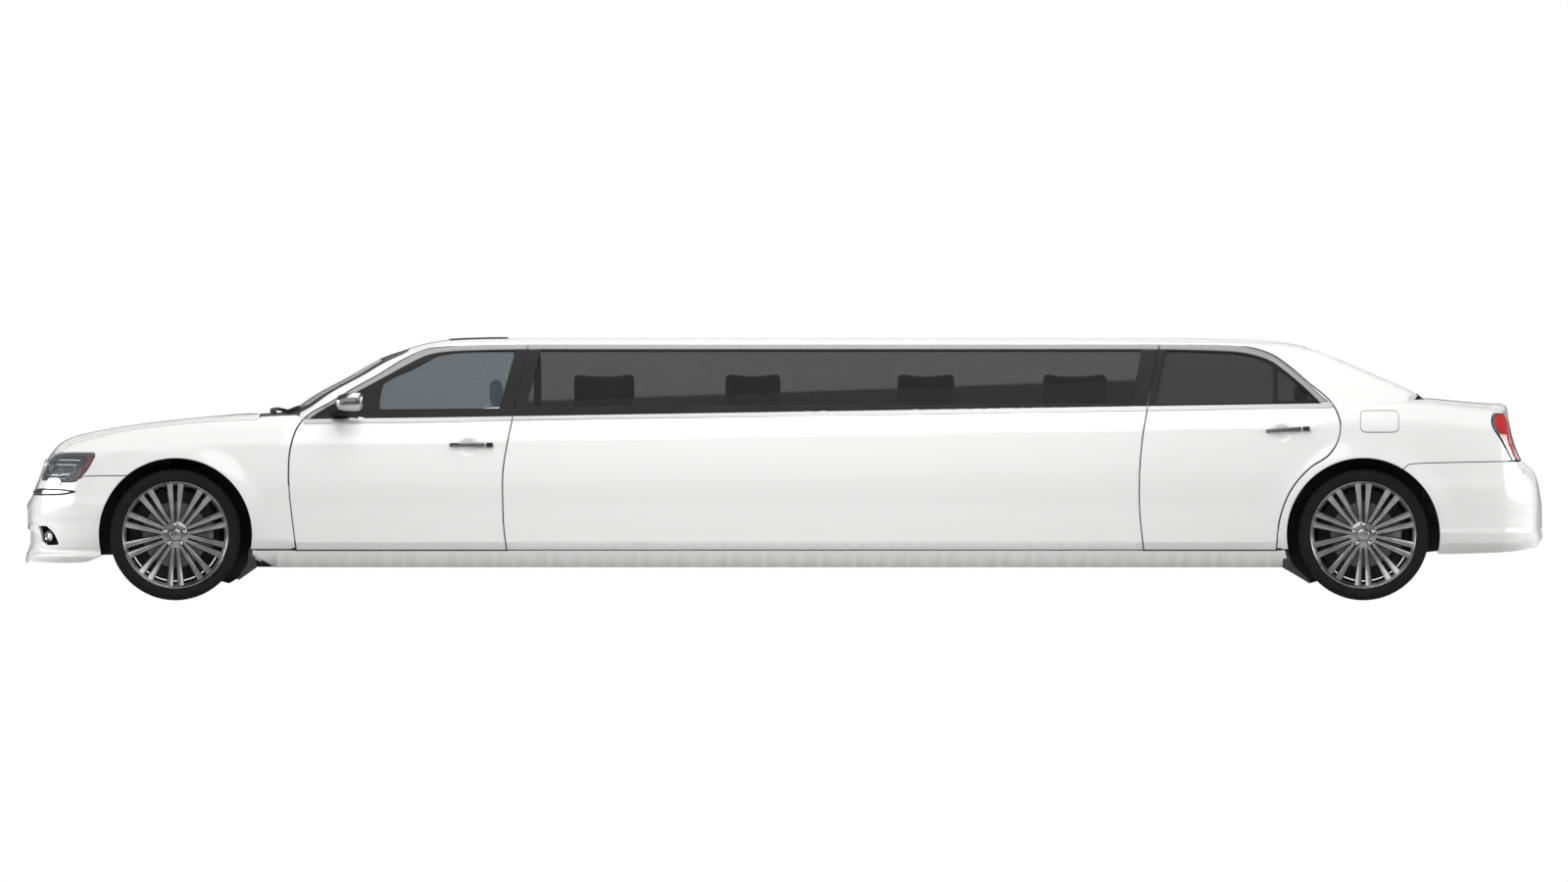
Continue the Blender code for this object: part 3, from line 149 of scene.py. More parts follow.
class Finish:
    def __init__(self, key, label, **fixed):
        self.material = finishes[key] = bpy.data.materials.new(label)
        self.material.use_nodes = True
        self.tree = self.material.node_tree
        self.shader = self.tree.nodes["Principled BSDF"]
        self.output = self.tree.nodes["Material Output"]
        self.coords = None
        for key, value in fixed.items():
            label = key.replace("_", " ").title().replace("Ior", "IOR")
            self.shader.inputs[label].default_value = value

    def add(self, kind, settings=None, inputs=None, out=0):
        node = self.tree.nodes.new("ShaderNode" + kind)
        for key, value in (settings or {}).items():
            if key == "stops":
                while len(node.color_ramp.elements) < len(value):
                    node.color_ramp.elements.new(0.5)
                for element, (place, shade) in zip(node.color_ramp.elements, value):
                    element.position = place
                    element.color = shade
            else:
                setattr(node, key, value)
        for key, value in (inputs or {}).items():
            self.join(value, node.inputs[key])
        return Value(self, node.outputs[out])

    def join(self, value, socket):
        if isinstance(value, Value):
            self.tree.links.new(value.out, socket)
        else:
            socket.default_value = value

    def place(self):
        if self.coords is None:
            self.coords = self.add("TexCoord", out="Object")
        return self.coords

    def split(self):
        node = self.add("SeparateXYZ", inputs={0: self.place()})
        sockets = node.out.node.outputs
        return [Value(self, sockets[i]) for i in range(3)]

    def noise(self, scale, detail=3.0, roughness=0.5, at=None):
        return self.add("TexNoise",
            inputs={"Vector": at or self.place(), "Scale": scale, "Detail": detail,
            "Roughness": roughness})

    def blend(self, share, a, b):       # colours by a mask
        return self.add("Mix", {"data_type": "RGBA"}, {0: share, 6: a, 7: b}, out=2)

    def bump(self, height, strength=0.3, distance=0.001):
        made = self.add("Bump",
            inputs={"Height": height, "Strength": strength, "Distance": distance})
        self.join(made, self.shader.inputs["Normal"])
        return self

    def paint(self, **driven):
        for key, value in driven.items():
            self.join(value, self.shader.inputs[key.replace("_", " ").title()])
        return self


def rgb(r, g=None, b=None):             # one number alone is a grey
    return (r, r if g is None else g, r if b is None else b, 1.0)


glasses = (             # finish, label, tint, how much it hides, and how much more low down as painted shade
    ("dark_glass", "smokedGlass", rgb(0.01, 0.01, 0.011), 0.49, 0.24),
    ("rear_glass", "deepGlass", rgb(0.012, 0.012, 0.013), 0.58, 0.0),
    ("door_glass", "tintedGlass", rgb(0.05, 0.075, 0.09), 0.45, 0.0),
    ("screen_glass", "screenGlass", rgb(0.02, 0.026, 0.028), 0.4, 0.0),
    ("clear_glass", "clearLens", rgb(0.18, 0.19, 0.2), 0.22, 0.0),
)
grains = (              # finish, label, dark and light tone, grain, roughness, depth, fixed
    ("black_plastic", "grainedPlastic", rgb(0.012, 0.012, 0.013), rgb(0.022), 900, 0.62, 0.0004,
     {}),
    ("grey_trim", "softDashSkin", rgb(0.03, 0.031, 0.034), rgb(0.046, 0.046, 0.048), 700, 0.6,
     0.0005, {}),
    ("gloss_black", "glossBlack", rgb(0.006, 0.006, 0.007), rgb(0.01), 60, 0.2, 0.00005,
     {"specular_ior_level": 0.12}),
    ("liner_felt", "linerFelt", rgb(0.01), rgb(0.026, 0.025, 0.024), 260, 0.92, 0.002, {}),
    ("carpet", "cutPileCarpet", rgb(0.018, 0.018, 0.02), rgb(0.05, 0.049, 0.05), 520, 0.95,
     0.004, {"sheen_weight": 0.4}),
    ("headlining", "headlining", rgb(0.2, 0.195, 0.185), rgb(0.27, 0.265, 0.25), 620, 0.9,
     0.001, {}),
    ("dull_steel", "castMetal", rgb(0.085, 0.085, 0.088), rgb(0.19, 0.185, 0.18), 240, 0.52,
     0.0012, {"metallic": 0.75}),
    ("engine_metal", "castAluminium", rgb(0.3, 0.3, 0.31), rgb(0.42), 300, 0.48, 0.0008,
     {"metallic": 0.8}),
    ("shield_steel", "pressedShield", rgb(0.02), rgb(0.055, 0.053, 0.05), 90, 0.66, 0.0006,
     {"metallic": 0.3}),
    ("rubber_seal", "sealRubber", rgb(0.01), rgb(0.018), 400, 0.78, 0.0003, {}),
)
brights = (             # finish, label, metal, cloud, dark and light tone, roughness and its reach
    ("chrome", "brightChrome", 1.0, 22.0, rgb(0.34, 0.34, 0.345), rgb(0.4), 0.12),
    ("smoked_chrome", "smokedChrome", 1.0, 22.0, rgb(0.1, 0.1, 0.102), rgb(0.14), 0.14),
    ("satin_trim", "satinBrighttrim", 0.35, 16.0, rgb(0.2, 0.2, 0.202), rgb(0.24), 0.3),
    ("belt_trim", "beltBrighttrim", 0.35, 16.0, rgb(0.42, 0.42, 0.4242), rgb(0.504), 0.3),
)


def makeFinishes():
    # body colour under clear coat: orange peel, road film low down, painted shade on the lowest
    # edges
    white = Finish("white_paint", "whiteCoat", roughness=0.42, coat_roughness=0.035, coat_ior=1.5,
        coat_weight=1.0, specular_ior_level=0.35)
    z = white.split()[2]
    film = (1.0 - z.band(0.16, 0.62)) * white.noise(5.0, 4.0)
    lowPaintedShade = 1.0 - z.band(0.15, 0.265)  # painted shade: darker along the lower edges
    white.paint(base_color=white.blend(film * 0.1 + lowPaintedShade * 0.55, rgb(0.81, 0.812, 0.805),
        rgb(0.38, 0.375, 0.365)), roughness=film * 0.12 + 0.4)
    white.bump(white.noise(260.0, 2.0), 0.012, 0.0004)

    for key, label, tint, alpha, lowerShadeAlpha in glasses:
        glass = Finish(key, label, roughness=0.03, ior=1.45, base_color=tint, alpha=alpha,
            specular_ior_level=0.12)
        smear = glass.noise(9.0, 4.0)
        glass.paint(roughness=smear.band(0.45, 0.75) * 0.03 + 0.02)
        if lowerShadeAlpha:                      # painted shade: the pane hides more below a slanted line, for the weaker reflection there
            x, y, z = glass.split()
            glass.paint(alpha=(y * 0.035 + 1.155 - z).band(-0.012, 0.012) * lowerShadeAlpha + alpha)

    for key, label, dark, light, scale, rough, depth, fixed in grains:
        made = Finish(key, label, **fixed)
        cloud, grain = made.noise(scale * 0.06), made.noise(scale, 2.0)
        made.paint(base_color=made.blend(cloud.band(0.35, 0.7), dark, light), roughness=cloud
            * 0.14 + (rough - 0.07))
        made.bump(grain, 0.35, depth)

    for key, label, metal, scale, dark, light, rough in brights:
        made = Finish(key, label, metallic=metal)
        haze = made.noise(scale)
        made.paint(base_color=made.blend(haze, dark, light))
        made.paint(roughness=(haze.band(0.4, 0.8) * 0.06 if metal == 1.0 else haze * 0.08) + rough)

    alloy = Finish("wheel_alloy", "silverAlloy", metallic=1.0, coat_weight=0.35,
        coat_roughness=0.08)
    cloud = alloy.noise(14.0)
    alloy.paint(base_color=alloy.blend(cloud.band(0.35, 0.7), rgb(0.2, 0.2, 0.205),
        rgb(0.28, 0.28, 0.285)), roughness=cloud * 0.1 + 0.22)
    alloy.bump(alloy.noise(700.0, 2.0), 0.08, 0.0003)

    # brake discs: fine turned lines about each wheel's axle, read from the piece's UV radius
    disc = Finish("disc_steel", "turnedSteel", metallic=0.9)
    ring = disc.add("TexNoise", {"noise_dimensions": "1D"},
        {"W": disc.add("SeparateXYZ", inputs={0: disc.add("UVMap")}) * 900.0, "Scale": 1.0,
        "Detail": 2.0})
    disc.paint(base_color=disc.blend(ring, rgb(0.085, 0.083, 0.08), rgb(0.17, 0.165, 0.16)),
        roughness=ring * 0.2 + 0.26)

    # tyres: matt rubber, a little greyer where dust sits
    rubber = Finish("tyre_rubber", "tyreRubber", specular_ior_level=0.18)
    dust = rubber.noise(18.0, 4.0)
    rubber.paint(base_color=rubber.blend(dust.band(0.4, 0.8), rgb(0.005),
        rgb(0.012, 0.012, 0.011)), roughness=dust * 0.15 + 0.68)
    rubber.bump(rubber.noise(520.0, 2.0), 0.25, 0.0004)

    # leather: pebbled cells, slight sheen on the crowns
    hide = Finish("black_leather", "blackLeather", sheen_weight=0.08)
    cells = hide.add("TexVoronoi", {"feature": "DISTANCE_TO_EDGE"},
        {"Vector": hide.place(), "Scale": 420.0})
    cloud = hide.noise(7.0)
    hide.paint(base_color=hide.blend(cloud.band(0.3, 0.75), rgb(0.014, 0.013, 0.013),
        rgb(0.028, 0.026, 0.025)), roughness=cloud * 0.15 + 0.38)
    hide.bump(cells.band(0.0, 0.12), 0.28, 0.0006)

    # lamps, mirrors, wood and the blank plates
    red = Finish("red_lamp", "redLens", roughness=0.08, coat_weight=1.0, coat_roughness=0.03)
    flute = red.add("TexWave", {"bands_direction": "Z"},
        {"Vector": red.place(), "Scale": 26.0, "Distortion": 0.0})
    red.paint(base_color=red.blend(flute, rgb(0.3, 0.008, 0.012), rgb(0.62, 0.035, 0.04)))
    red.bump(flute, 0.15)
    amber = Finish("marker", "sideMarker", roughness=0.12, coat_weight=1.0, coat_roughness=0.03)
    facet = amber.add("TexVoronoi", inputs={"Vector": amber.place(), "Scale": 130.0})
    amber.paint(base_color=amber.blend(facet, rgb(0.16, 0.01, 0.008), rgb(0.34, 0.03, 0.02)))
    shell = Finish("clear_lamp", "lampReflector", metallic=1.0, roughness=0.14)
    # facets: real bumps, and painted glints that make some cells lighter
    facetGlint = shell.add("TexVoronoi", inputs={"Vector": shell.place(), "Scale": 90.0})
    shell.paint(base_color=shell.blend(facetGlint, rgb(0.5, 0.51, 0.53), rgb(0.7, 0.71, 0.73)))
    shell.bump(facetGlint, 0.2)
    dark = Finish("lamp_dark", "lampHousing", roughness=0.3, metallic=0.4)
    ribs = dark.add("TexWave", {"bands_direction": "Z"},
        {"Vector": dark.place(), "Scale": 17.0, "Distortion": 0.6})
    dark.paint(base_color=dark.blend(ribs, rgb(0.02, 0.02, 0.022), rgb(0.075, 0.076, 0.08)))
    dark.bump(ribs, 0.4, 0.002)
    mirror = Finish("mirror_glass", "mirrorGlass", metallic=1.0, roughness=0.02)
    # blue tint, mottled by a painted sky reflection
    paintedSky = mirror.noise(2.0, 1.0)
    mirror.paint(base_color=mirror.blend(paintedSky, rgb(0.62, 0.72, 0.8), rgb(0.7, 0.78, 0.84)))
    wood = Finish("walnut", "walnut", coat_weight=1.0, coat_roughness=0.06)
    grain = wood.add("TexWave", {"bands_direction": "Z"},
        {"Vector": wood.place(), "Scale": 9.0, "Distortion": 6.0, "Detail": 3.0})
    wood.paint(base_color=wood.blend(grain, rgb(0.045, 0.018, 0.008), rgb(0.16, 0.075, 0.032)),
        roughness=grain * 0.1 + 0.35)
    blank = Finish("plate_white", "plateWhite", roughness=0.4)
    bead = blank.noise(180.0, 2.0)
    blank.paint(base_color=blank.blend(bead, rgb(0.62, 0.63, 0.63), rgb(0.72)))
    blank.bump(bead, 0.05, 0.0004)


makeFinishes()
print("finishes made:", len(finishes))

# body form: sections and levels, made smooth
# Lower body. Columns: place from the front or rear axle, then height and half width of the
# floor edge, sill, widest line, shoulder and top edge, and the height of the centre line.
frontSections = ((-0.815, 0.21, 0.44, 0.27, 0.46, 0.42, 0.48, 0.49, 0.47, 0.515, 0.45, 0.53),
    (-0.79, 0.207, 0.6, 0.27, 0.64, 0.42, 0.655, 0.52, 0.645, 0.555, 0.62, 0.576),
    (-0.755, 0.204, 0.68, 0.275, 0.725, 0.43, 0.735, 0.57, 0.72, 0.635, 0.69, 0.665),
    (-0.703, 0.202, 0.745, 0.28, 0.785, 0.45, 0.8, 0.65, 0.78, 0.745, 0.735, 0.798),
    (-0.62, 0.202, 0.8, 0.29, 0.845, 0.5, 0.86, 0.72, 0.84, 0.825, 0.77, 0.881),
    (-0.474, 0.206, 0.85, 0.3, 0.895, 0.55, 0.912, 0.8, 0.89, 0.885, 0.8, 0.927),
    (-0.2, 0.212, 0.87, 0.31, 0.92, 0.6, 0.938, 0.84, 0.915, 0.945, 0.825, 0.974),
    (0.3, 0.2, 0.88, 0.32, 0.925, 0.62, 0.946, 0.865, 0.922, 0.992, 0.845, 1.026),
    (0.64, 0.18, 0.885, 0.322, 0.93, 0.62, 0.95, 0.885, 0.925, 1.0, 0.865, 1.05),
    (1.4, 0.18, 0.885, 0.322, 0.93, 0.62, 0.95, 0.898, 0.925, 0.99, 0.88, 1.04),)
rearSections = ((-1.2, 0.18, 0.885, 0.322, 0.93, 0.62, 0.95, 0.971, 0.925, 1.053, 0.875, 1.09),
    (-0.4, 0.18, 0.885, 0.322, 0.93, 0.62, 0.95, 0.984, 0.922, 1.066, 0.86, 1.1),
    (0.0, 0.2, 0.88, 0.32, 0.925, 0.62, 0.947, 0.988, 0.918, 1.078, 0.852, 1.11),
    (0.29, 0.225, 0.87, 0.315, 0.915, 0.61, 0.938, 0.988, 0.905, 1.08, 0.835, 1.126),
    (0.54, 0.25, 0.845, 0.315, 0.89, 0.6, 0.915, 0.978, 0.88, 1.062, 0.8, 1.107),
    (0.716, 0.262, 0.81, 0.32, 0.855, 0.58, 0.88, 0.96, 0.845, 1.045, 0.76, 1.091),
    (0.785, 0.266, 0.79, 0.322, 0.835, 0.57, 0.862, 0.93, 0.825, 1.025, 0.735, 1.081),
    (0.83, 0.27, 0.77, 0.325, 0.815, 0.56, 0.84, 0.83, 0.8, 0.88, 0.69, 0.9),
    (0.88, 0.275, 0.74, 0.33, 0.785, 0.54, 0.805, 0.72, 0.77, 0.765, 0.67, 0.778),
    (0.955, 0.3, 0.64, 0.345, 0.69, 0.5, 0.71, 0.63, 0.68, 0.685, 0.6, 0.7),
    (0.988, 0.35, 0.45, 0.38, 0.49, 0.43, 0.5, 0.48, 0.495, 0.505, 0.45, 0.52),)
# Glasshouse. Columns: height, windscreen centre y and corner y and x, half width at the front
# doors, along the middle and at the rear doors, rear corner x and y, rear centre y.
levels = ((0.85, 0.36, 0.41, 0.7, 0.866, 0.896, 0.884, 0.74, 0.45, 0.54),
    (0.98, 0.533, 0.583, 0.69, 0.854, 0.884, 0.872, 0.74, 0.39, 0.48),
    (1.06, 0.648, 0.698, 0.68, 0.822, 0.855, 0.85, 0.715, 0.33, 0.41),
    (1.15, 0.778, 0.828, 0.655, 0.776, 0.805, 0.795, 0.68, 0.215, 0.298),
    (1.25, 0.966, 1.014, 0.61, 0.718, 0.745, 0.735, 0.63, 0.005, 0.083),
    (1.35, 1.146, 1.19, 0.555, 0.65, 0.675, 0.664, 0.57, -0.225, -0.15),
    (1.4, 1.288, 1.33, 0.52, 0.612, 0.632, 0.62, 0.53, -0.365, -0.29),
    (1.43, 1.4, 1.45, 0.47, 0.567, 0.585, 0.57, 0.48, -0.5, -0.424),
    (1.45, 1.53, 1.59, 0.37, 0.458, 0.475, 0.46, 0.38, -0.73, -0.66),
    (1.459, 1.75, 1.81, 0.2, 0.268, 0.285, 0.27, 0.2, -1.05, -1.0),)
form = {
    "crownShare": 0.72,       # height of the deck at 55% of its half width
    "flare": 0.013,           # how far the wheel arch lips stand out
    "flareReach": 0.115,      # width of the flare round the arch
    "archRadius": 0.424,
    "beltFillet": 0.02,       # softness of the join of body side and cabin
    "crease": 0.01, "creaseTop": 0.392, "creaseLow": 0.324,   # fold above the sill
    "backSquare": 0.8,        # how far the rear window's corners come back to its middle
}


def hermite(t, a, ma, b, mb, h=1.0):    # from a to b, with their tangents
    return ((2 * t ** 3 - 3 * t ** 2 + 1) * a + (t ** 3 - 2 * t ** 2 + t) * h * ma
        + (3 * t ** 2 - 2 * t ** 3) * b + (t ** 3 - t ** 2) * h * mb)


def through(xs, ys, at):                # smooth curve through points, without overshoot
    xs, ys, at = np.asarray(xs, float), np.asarray(ys, float), np.atleast_1d(at)
    wide = ys.ndim == 1
    ys = ys[:, None] if wide else ys
    h = np.diff(xs)[:, None]
    d = np.diff(ys, axis=0) / h
    m = np.zeros_like(ys)
    m[0], m[-1] = d[0], d[-1]
    same = d[:-1] * d[1:] > 0
    w1, w2 = 2 * h[1:] + h[:-1], h[1:] + 2 * h[:-1]
    with np.errstate(divide="ignore", invalid="ignore"):
        mean = (w1 + w2) / (w1 / d[:-1] + w2 / d[1:])
    m[1:-1] = np.where(same, mean, 0.0)
    i = np.clip(np.searchsorted(xs, at, "right") - 1, 0, len(xs) - 2)
    t = ((at - xs[i]) / np.diff(xs)[i])[:, None]
    out = hermite(t, ys[i], m[i], ys[i + 1], m[i + 1], h[i])
    return out[:, 0] if wide else out


def hermiteRing(points, crease, count):
    # points: stations x controls x 2; a smooth line through the controls, folded by crease
    chord = np.linalg.norm(np.diff(points, axis=1), axis=2, keepdims=True) + 1e-9
    slope = np.diff(points, axis=1) / chord
    before, after = slope[:, :-1], slope[:, 1:]
    lenBefore, lenAfter = chord[:, :-1], chord[:, 1:]
    mid = (before * lenAfter + after * lenBefore) / (lenBefore + lenAfter)
    c = np.asarray(crease)[None, 1:-1, None]
    intoMid, outMid = mid * (1 - c) + before * c, mid * (1 - c) + after * c
    first, last = slope[:, :1].copy(), slope[:, -1:].copy()
    first[..., 1], last[..., 1] = 0, 0
    outTangent = np.concatenate([first, outMid], axis=1)
    inTangent = np.concatenate([intoMid, last], axis=1)
    t = np.linspace(0, 1, count, endpoint=False)[None, None, :, None]
    a, b = points[:, :-1, None], points[:, 1:, None]
    ma, mb, h = outTangent[:, :, None], inTangent[:, :, None], chord[:, :, None]
    curve = hermite(t, a, ma, b, mb, h).reshape(len(points), -1, 2)
    return np.concatenate([curve, points[:, -1:]], axis=1)


def gridFaces(rows, columns, closed=False):
    i = np.arange(rows - 1)[:, None] * columns
    j = np.arange(columns if closed else columns - 1)[None, :]
    k = (j + 1) % columns
    return np.stack([i + j, i + k, i + columns + k, i + columns + j], -1).reshape(-1, 4).tolist()


def makeLowerForm():
    table = [(front(r[0]),) + r[1:] for r in frontSections]
    table += [(rear(r[0]),) + r[1:] for r in rearSections]
    table = np.array(table)
    nose, tail = table[0, 0], table[-1, 0]
    spots = np.concatenate([nose + (front(-0.55) - nose) * np.linspace(0, 1, 34) ** 1.6,
        np.arange(front(-0.535), front(0.62), 0.02), np.arange(front(0.64), rear(-0.62), 0.09),
        np.arange(rear(-0.6), rear(0.6), 0.02), tail - (tail - rear(0.62))
        * np.linspace(1, 0, 34) ** 1.6])
    zf, xf, zs, xs, zw, xw, zh, xh, ze, xe, zc = through(table[:, 0], table[:, 1:], spots).T
    crown = ze + (zc - ze) * form["crownShare"]
    fold = zs + (zw - zs) * 0.2
    controls = np.stack([np.stack([0 * zf, zf], -1), np.stack([xf, zf], -1),
        np.stack([xs, zs], -1), np.stack([xs + (xw - xs) * 0.55, fold], -1),
        np.stack([xw, zw], -1), np.stack([xh, zh], -1), np.stack([xe, ze], -1),
        np.stack([xe * 0.55, crown], -1), np.stack([0 * zf, zc], -1)], axis=1)
    half = hermiteRing(controls, (0, 1, 0.75, 0.65, 0.0, 0.85, 0.25, 0, 0), 14)
    side = (half[:, :, 1] - zs[:, None]) / (zh - zs)[:, None]
    mask = np.clip(side * 4, 0, 1) * np.clip((1.15 - side) * 4, 0, 1)
    # a low crease along the sides, faded out at the nose and tail
    rise = np.clip((form["creaseTop"] - half[:, :, 1]) / (form["creaseTop"] - form["creaseLow"]),
        0, 1) * np.clip((half[:, :, 1] - 0.275) / (form["creaseLow"] - 0.275), 0, 1)
    along = np.clip((spots - front(0.3)) / 0.3, 0, 1) * np.clip((rear(-0.3) - spots) / 0.3, 0, 1)
    half[:, :, 0] += form["crease"] * rise * along[:, None] * (half[:, :, 0] > 0.8)
    for axle in (frontAxle, rearAxle):  # wheel arch lips
        away = np.hypot(spots[:, None] - axle, half[:, :, 1] - tyreRadius)
        share = np.clip(1 - (away - form["archRadius"]) / form["flareReach"], 0, 1)
        half[:, :, 0] += form["flare"] * (3 * share ** 2 - 2 * share ** 3) * mask
    ring = np.concatenate([half, half[:, -2:0:-1] * (-1, 1)], axis=1)
    points = np.concatenate([ring[:, :, :1], np.repeat(spots[:, None, None], ring.shape[1], 1),
        ring[:, :, 1:]], axis=2)
    rows, columns = points.shape[:2]
    faces = gridFaces(rows, columns, True)
    faces += [list(range(columns)), list(range((rows - 1) * columns, rows * columns))]
    return points.reshape(-1, 3), faces


def makeGlasshouse():
    rings = []
    for z, cy, ky, kx, xd, xm, xr, rx, ry, ty in levels:
        ry += (ty - ry) * form["backSquare"]
        half = [(0, front(cy)), (kx * 0.55, front(cy + (ky - cy) * 0.32)), (kx, front(ky)),
            (xd, front(ky + 0.105)), (xd + 0.008, front(ky + 0.45)), (xm, front(ky * 0.2 + 1.9)),
            (xm, rear(-1.25)), (xr, rear(ry - 0.45)), (rx, rear(ry)),
            (rx * 0.55, rear(ty + (ry - ty) * 0.32)), (0, rear(ty))]
        lead = [(-x, y) for x, y in half[3:0:-1]]
        rings.append(lead + half + [(-x, y) for x, y in half[-2:-5:-1]] + [(z, z)])
    rings = np.array(rings)
    travel = np.concatenate(
        [[0], np.cumsum(np.hypot(np.diff(rings[:, 8, 0]), np.diff([row[0] for row in levels])))])
    fine = np.linspace(0, travel[-1], 64)
    flat = through(travel, rings.reshape(len(rings), -1), fine).reshape(64, -1, 2)
    heights, plan = flat[:, -1, 0], flat[:, :-1]
    rows = []
    for level in range(64):
        line = plan[level]
        chord = np.concatenate([[0], np.cumsum(np.linalg.norm(np.diff(line, axis=0), axis=1))])
        share = []
        for k in range(3, 13):
            steps = 14 if k in (4, 5, 6, 10, 11) else 10
            share += list(np.linspace(chord[k], chord[k + 1], steps, endpoint=False))
        share.append(chord[13])
        curve = through(chord, line, np.array(share))
        curve[0, 0] = curve[-1, 0] = 0
        half = np.column_stack([curve, np.full(len(curve), heights[level])])
        rows.append(np.concatenate([half, half[-2:0:-1] * (-1, 1, 1)]))
    points = np.array(rows)
    count, columns = points.shape[:2]
    faces = gridFaces(count, columns, True)
    faces.append(list(range((count - 1) * columns, count * columns)))
    return points.reshape(-1, 3), faces


def asForm(points, faces):
    work = bmesh.new()
    verts = [work.verts.new(p) for p in points]
    for f in faces:
        work.faces.new([verts[i] for i in f])
    bmesh.ops.remove_doubles(work, verts=work.verts, dist=1e-5)
    bmesh.ops.recalc_face_normals(work, faces=work.faces)
    bmesh.ops.triangulate(work, faces=work.faces)
    work.normal_update()
    work.verts.ensure_lookup_table()
    tree = BVHTree.FromBMesh(work)
    normals = [v.normal.copy() for v in work.verts]
    corners = [[v.index for v in f.verts] for f in work.faces]
    places = [v.co.copy() for v in work.verts]
    work.free()
    return tree, normals, corners, places


lowerForm = asForm(*makeLowerForm())
upperForm = asForm(*makeGlasshouse())
print("body form made")


def strike(which, origin, aim):
    tree, normals, corners, places = which
    spot, flat, face, distance = tree.ray_cast(origin, aim)
    if spot is None:
        return None
    a, b, c = corners[face]
    pa, pb, pc = places[a], places[b], places[c]
    area = (pb - pa).cross(pc - pa)
    size = max(area.length_squared, 1e-18)
    u = (pc - pb).cross(spot - pb).dot(area) / size
    v = (pa - pc).cross(spot - pc).dot(area) / size
    normal = normals[a] * u + normals[b] * v + normals[c] * (1 - u - v)
    normal.normalize()
    return spot, normal if normal.dot(flat) > 0.6 else flat, distance


eyes = {                # views cast from inside: where the axis runs and the reach of the angle
    "flank": (0.3, 0.55, 0.55), "cabin": (0.0, 0.8, 0.6), "nose": (0.0, front(0.2), 0.9),
    "tail": (0.0, rear(0.0), 0.9), "lid": (rear(0.4), 0.85, 0.3),
}
views = {               # a place in a view to the start and aim of its ray
    "side": lambda a, b: (Vector((2, a, b)), Vector((-1, 0, 0))),
    "top": lambda a, b: (Vector((a, b, 3)), Vector((0, 0, -1))),
    "front": lambda a, b: (Vector((a, -6, b)), Vector((0, 1, 0))),
    "back": lambda a, b: (Vector((a, 6, b)), Vector((0, -1, 0))),
    "flank": lambda a, b, u, v, r: (Vector((u, a, v)), aimed("x", "z", b / r)),
    "cabin": lambda a, b, u, v, r: (Vector((u, a, v)), aimed("z", "x", b / r)),
    "nose": lambda a, b, u, v, r: (Vector((u, v, b)), aimed("-y", "x", a / r)),
    "tail": lambda a, b, u, v, r: (Vector((u, v, b)), aimed("y", "x", a / r)),
    "lid": lambda a, b, u, v, r: (Vector((a, u, v)), aimed("z", "y", b / r)),
}
unfold = {              # a point of the body to its place in a view
    "side": lambda p: (p.y, p.z), "top": lambda p: (p.x, p.y),
    "front": lambda p: (p.x, p.z), "back": lambda p: (p.x, p.z),
    "flank": lambda p, u, v, r: (p.y, math.atan2(p.z - v, p.x - u) * r),
    "cabin": lambda p, u, v, r: (p.y, math.atan2(p.x - u, p.z - v) * r),
    "nose": lambda p, u, v, r: (math.atan2(p.x - u, v - p.y) * r, p.z),
    "tail": lambda p, u, v, r: (math.atan2(p.x - u, p.y - v) * r, p.z),
    "lid": lambda p, u, v, r: (p.x, math.atan2(p.y - u, p.z - v) * r),
}
formFor = {"flank": "lower", "nose": "lower", "tail": "lower", "lid": "lower", "cabin": "upper"}


def aimed(straight, aside, angle):
    axes = {"x": Vector((1, 0, 0)), "y": Vector((0, 1, 0)), "z": Vector((0, 0, 1)),
        "-y": Vector((0, -1, 0))}
    return axes[straight] * math.cos(angle) + axes[aside] * math.sin(angle)


def onBody(view, a, b, only=None, again=True):  # point and normal of the painted surface
    origin, aim = views[view](a, b, *eyes.get(view, ()))
    only = only or formFor.get(view)
    hits = []
    if only != "upper":
        hits.append(strike(lowerForm, origin, aim))
    if only != "lower":
        hits.append(strike(upperForm, origin, aim))
    hits = [h for h in hits if h]
    if not hits:                        # a ray that ran exactly along an edge is cast again
        return onBody(view, a + 2e-5, b + 1e-5, only, False) if again else None
    if len(hits) == 1:
        return hits[0][0], hits[0][1]
    near, far = sorted(hits, key=lambda h: h[2])
    gap, soft = far[2] - near[2], form["beltFillet"]
    if gap >= soft:
        return near[0], near[1]
    share = 0.5 - 0.5 * gap / soft      # smooth union of the two forms
    lift = soft * share * share
    normal = (near[1] * (1 - share) + far[1] * share).normalized()
    return near[0] - aim * lift, normal


def spot(view, a, b, only=None):
    hit = onBody(view, a, b, only)
    return hit[0] if hit else Vector((a, b, 0))

# panel maker: an outline in one view, laid on the body form
def smoothLoop(points, step=0.012, corner=28, radius=0.0):
    # a closed outline: gentle turns become curves, sharp ones stay corners
    points = [p for i, p in enumerate(points) if math.dist(p, points[i - 1]) > 1e-6]
    if radius:
        points = roundCorners(points, radius)
    count = len(points)
    sharp = []
    for i in range(count):
        a, b, c = points[i - 1], points[i], points[(i + 1) % count]
        one = math.atan2(b[1] - a[1], b[0] - a[0])
        two = math.atan2(c[1] - b[1], c[0] - b[0])
        turn = abs((two - one + math.pi) % (2 * math.pi) - math.pi)
        sharp.append(turn > math.radians(corner))
    out = []
    for i in range(count):
        p0, p1, p2, p3 = (np.array(points[(i + k) % count], float) for k in (-1, 0, 1, 2))
        length = np.linalg.norm(p2 - p1)
        if length < 1e-9:
            continue
        early, late = (min(length, 3 * np.linalg.norm(d)) for d in (p1 - p0, p3 - p2))
        m1 = (p2 - p1) if sharp[i] else tangent(p0, p1, p2) * early
        m2 = (p2 - p1) if sharp[(i + 1) % count] else tangent(p1, p2, p3) * late
        n = max(1, int(round(length / step)))
        out += [tuple(hermite(k / n, p1, m1, p2, m2)) for k in range(n)]
    return out


def tangent(a, b, c):
    before, after = np.linalg.norm(b - a), np.linalg.norm(c - b)
    return ((b - a) / before * after + (c - b) / after * before) / (before + after)


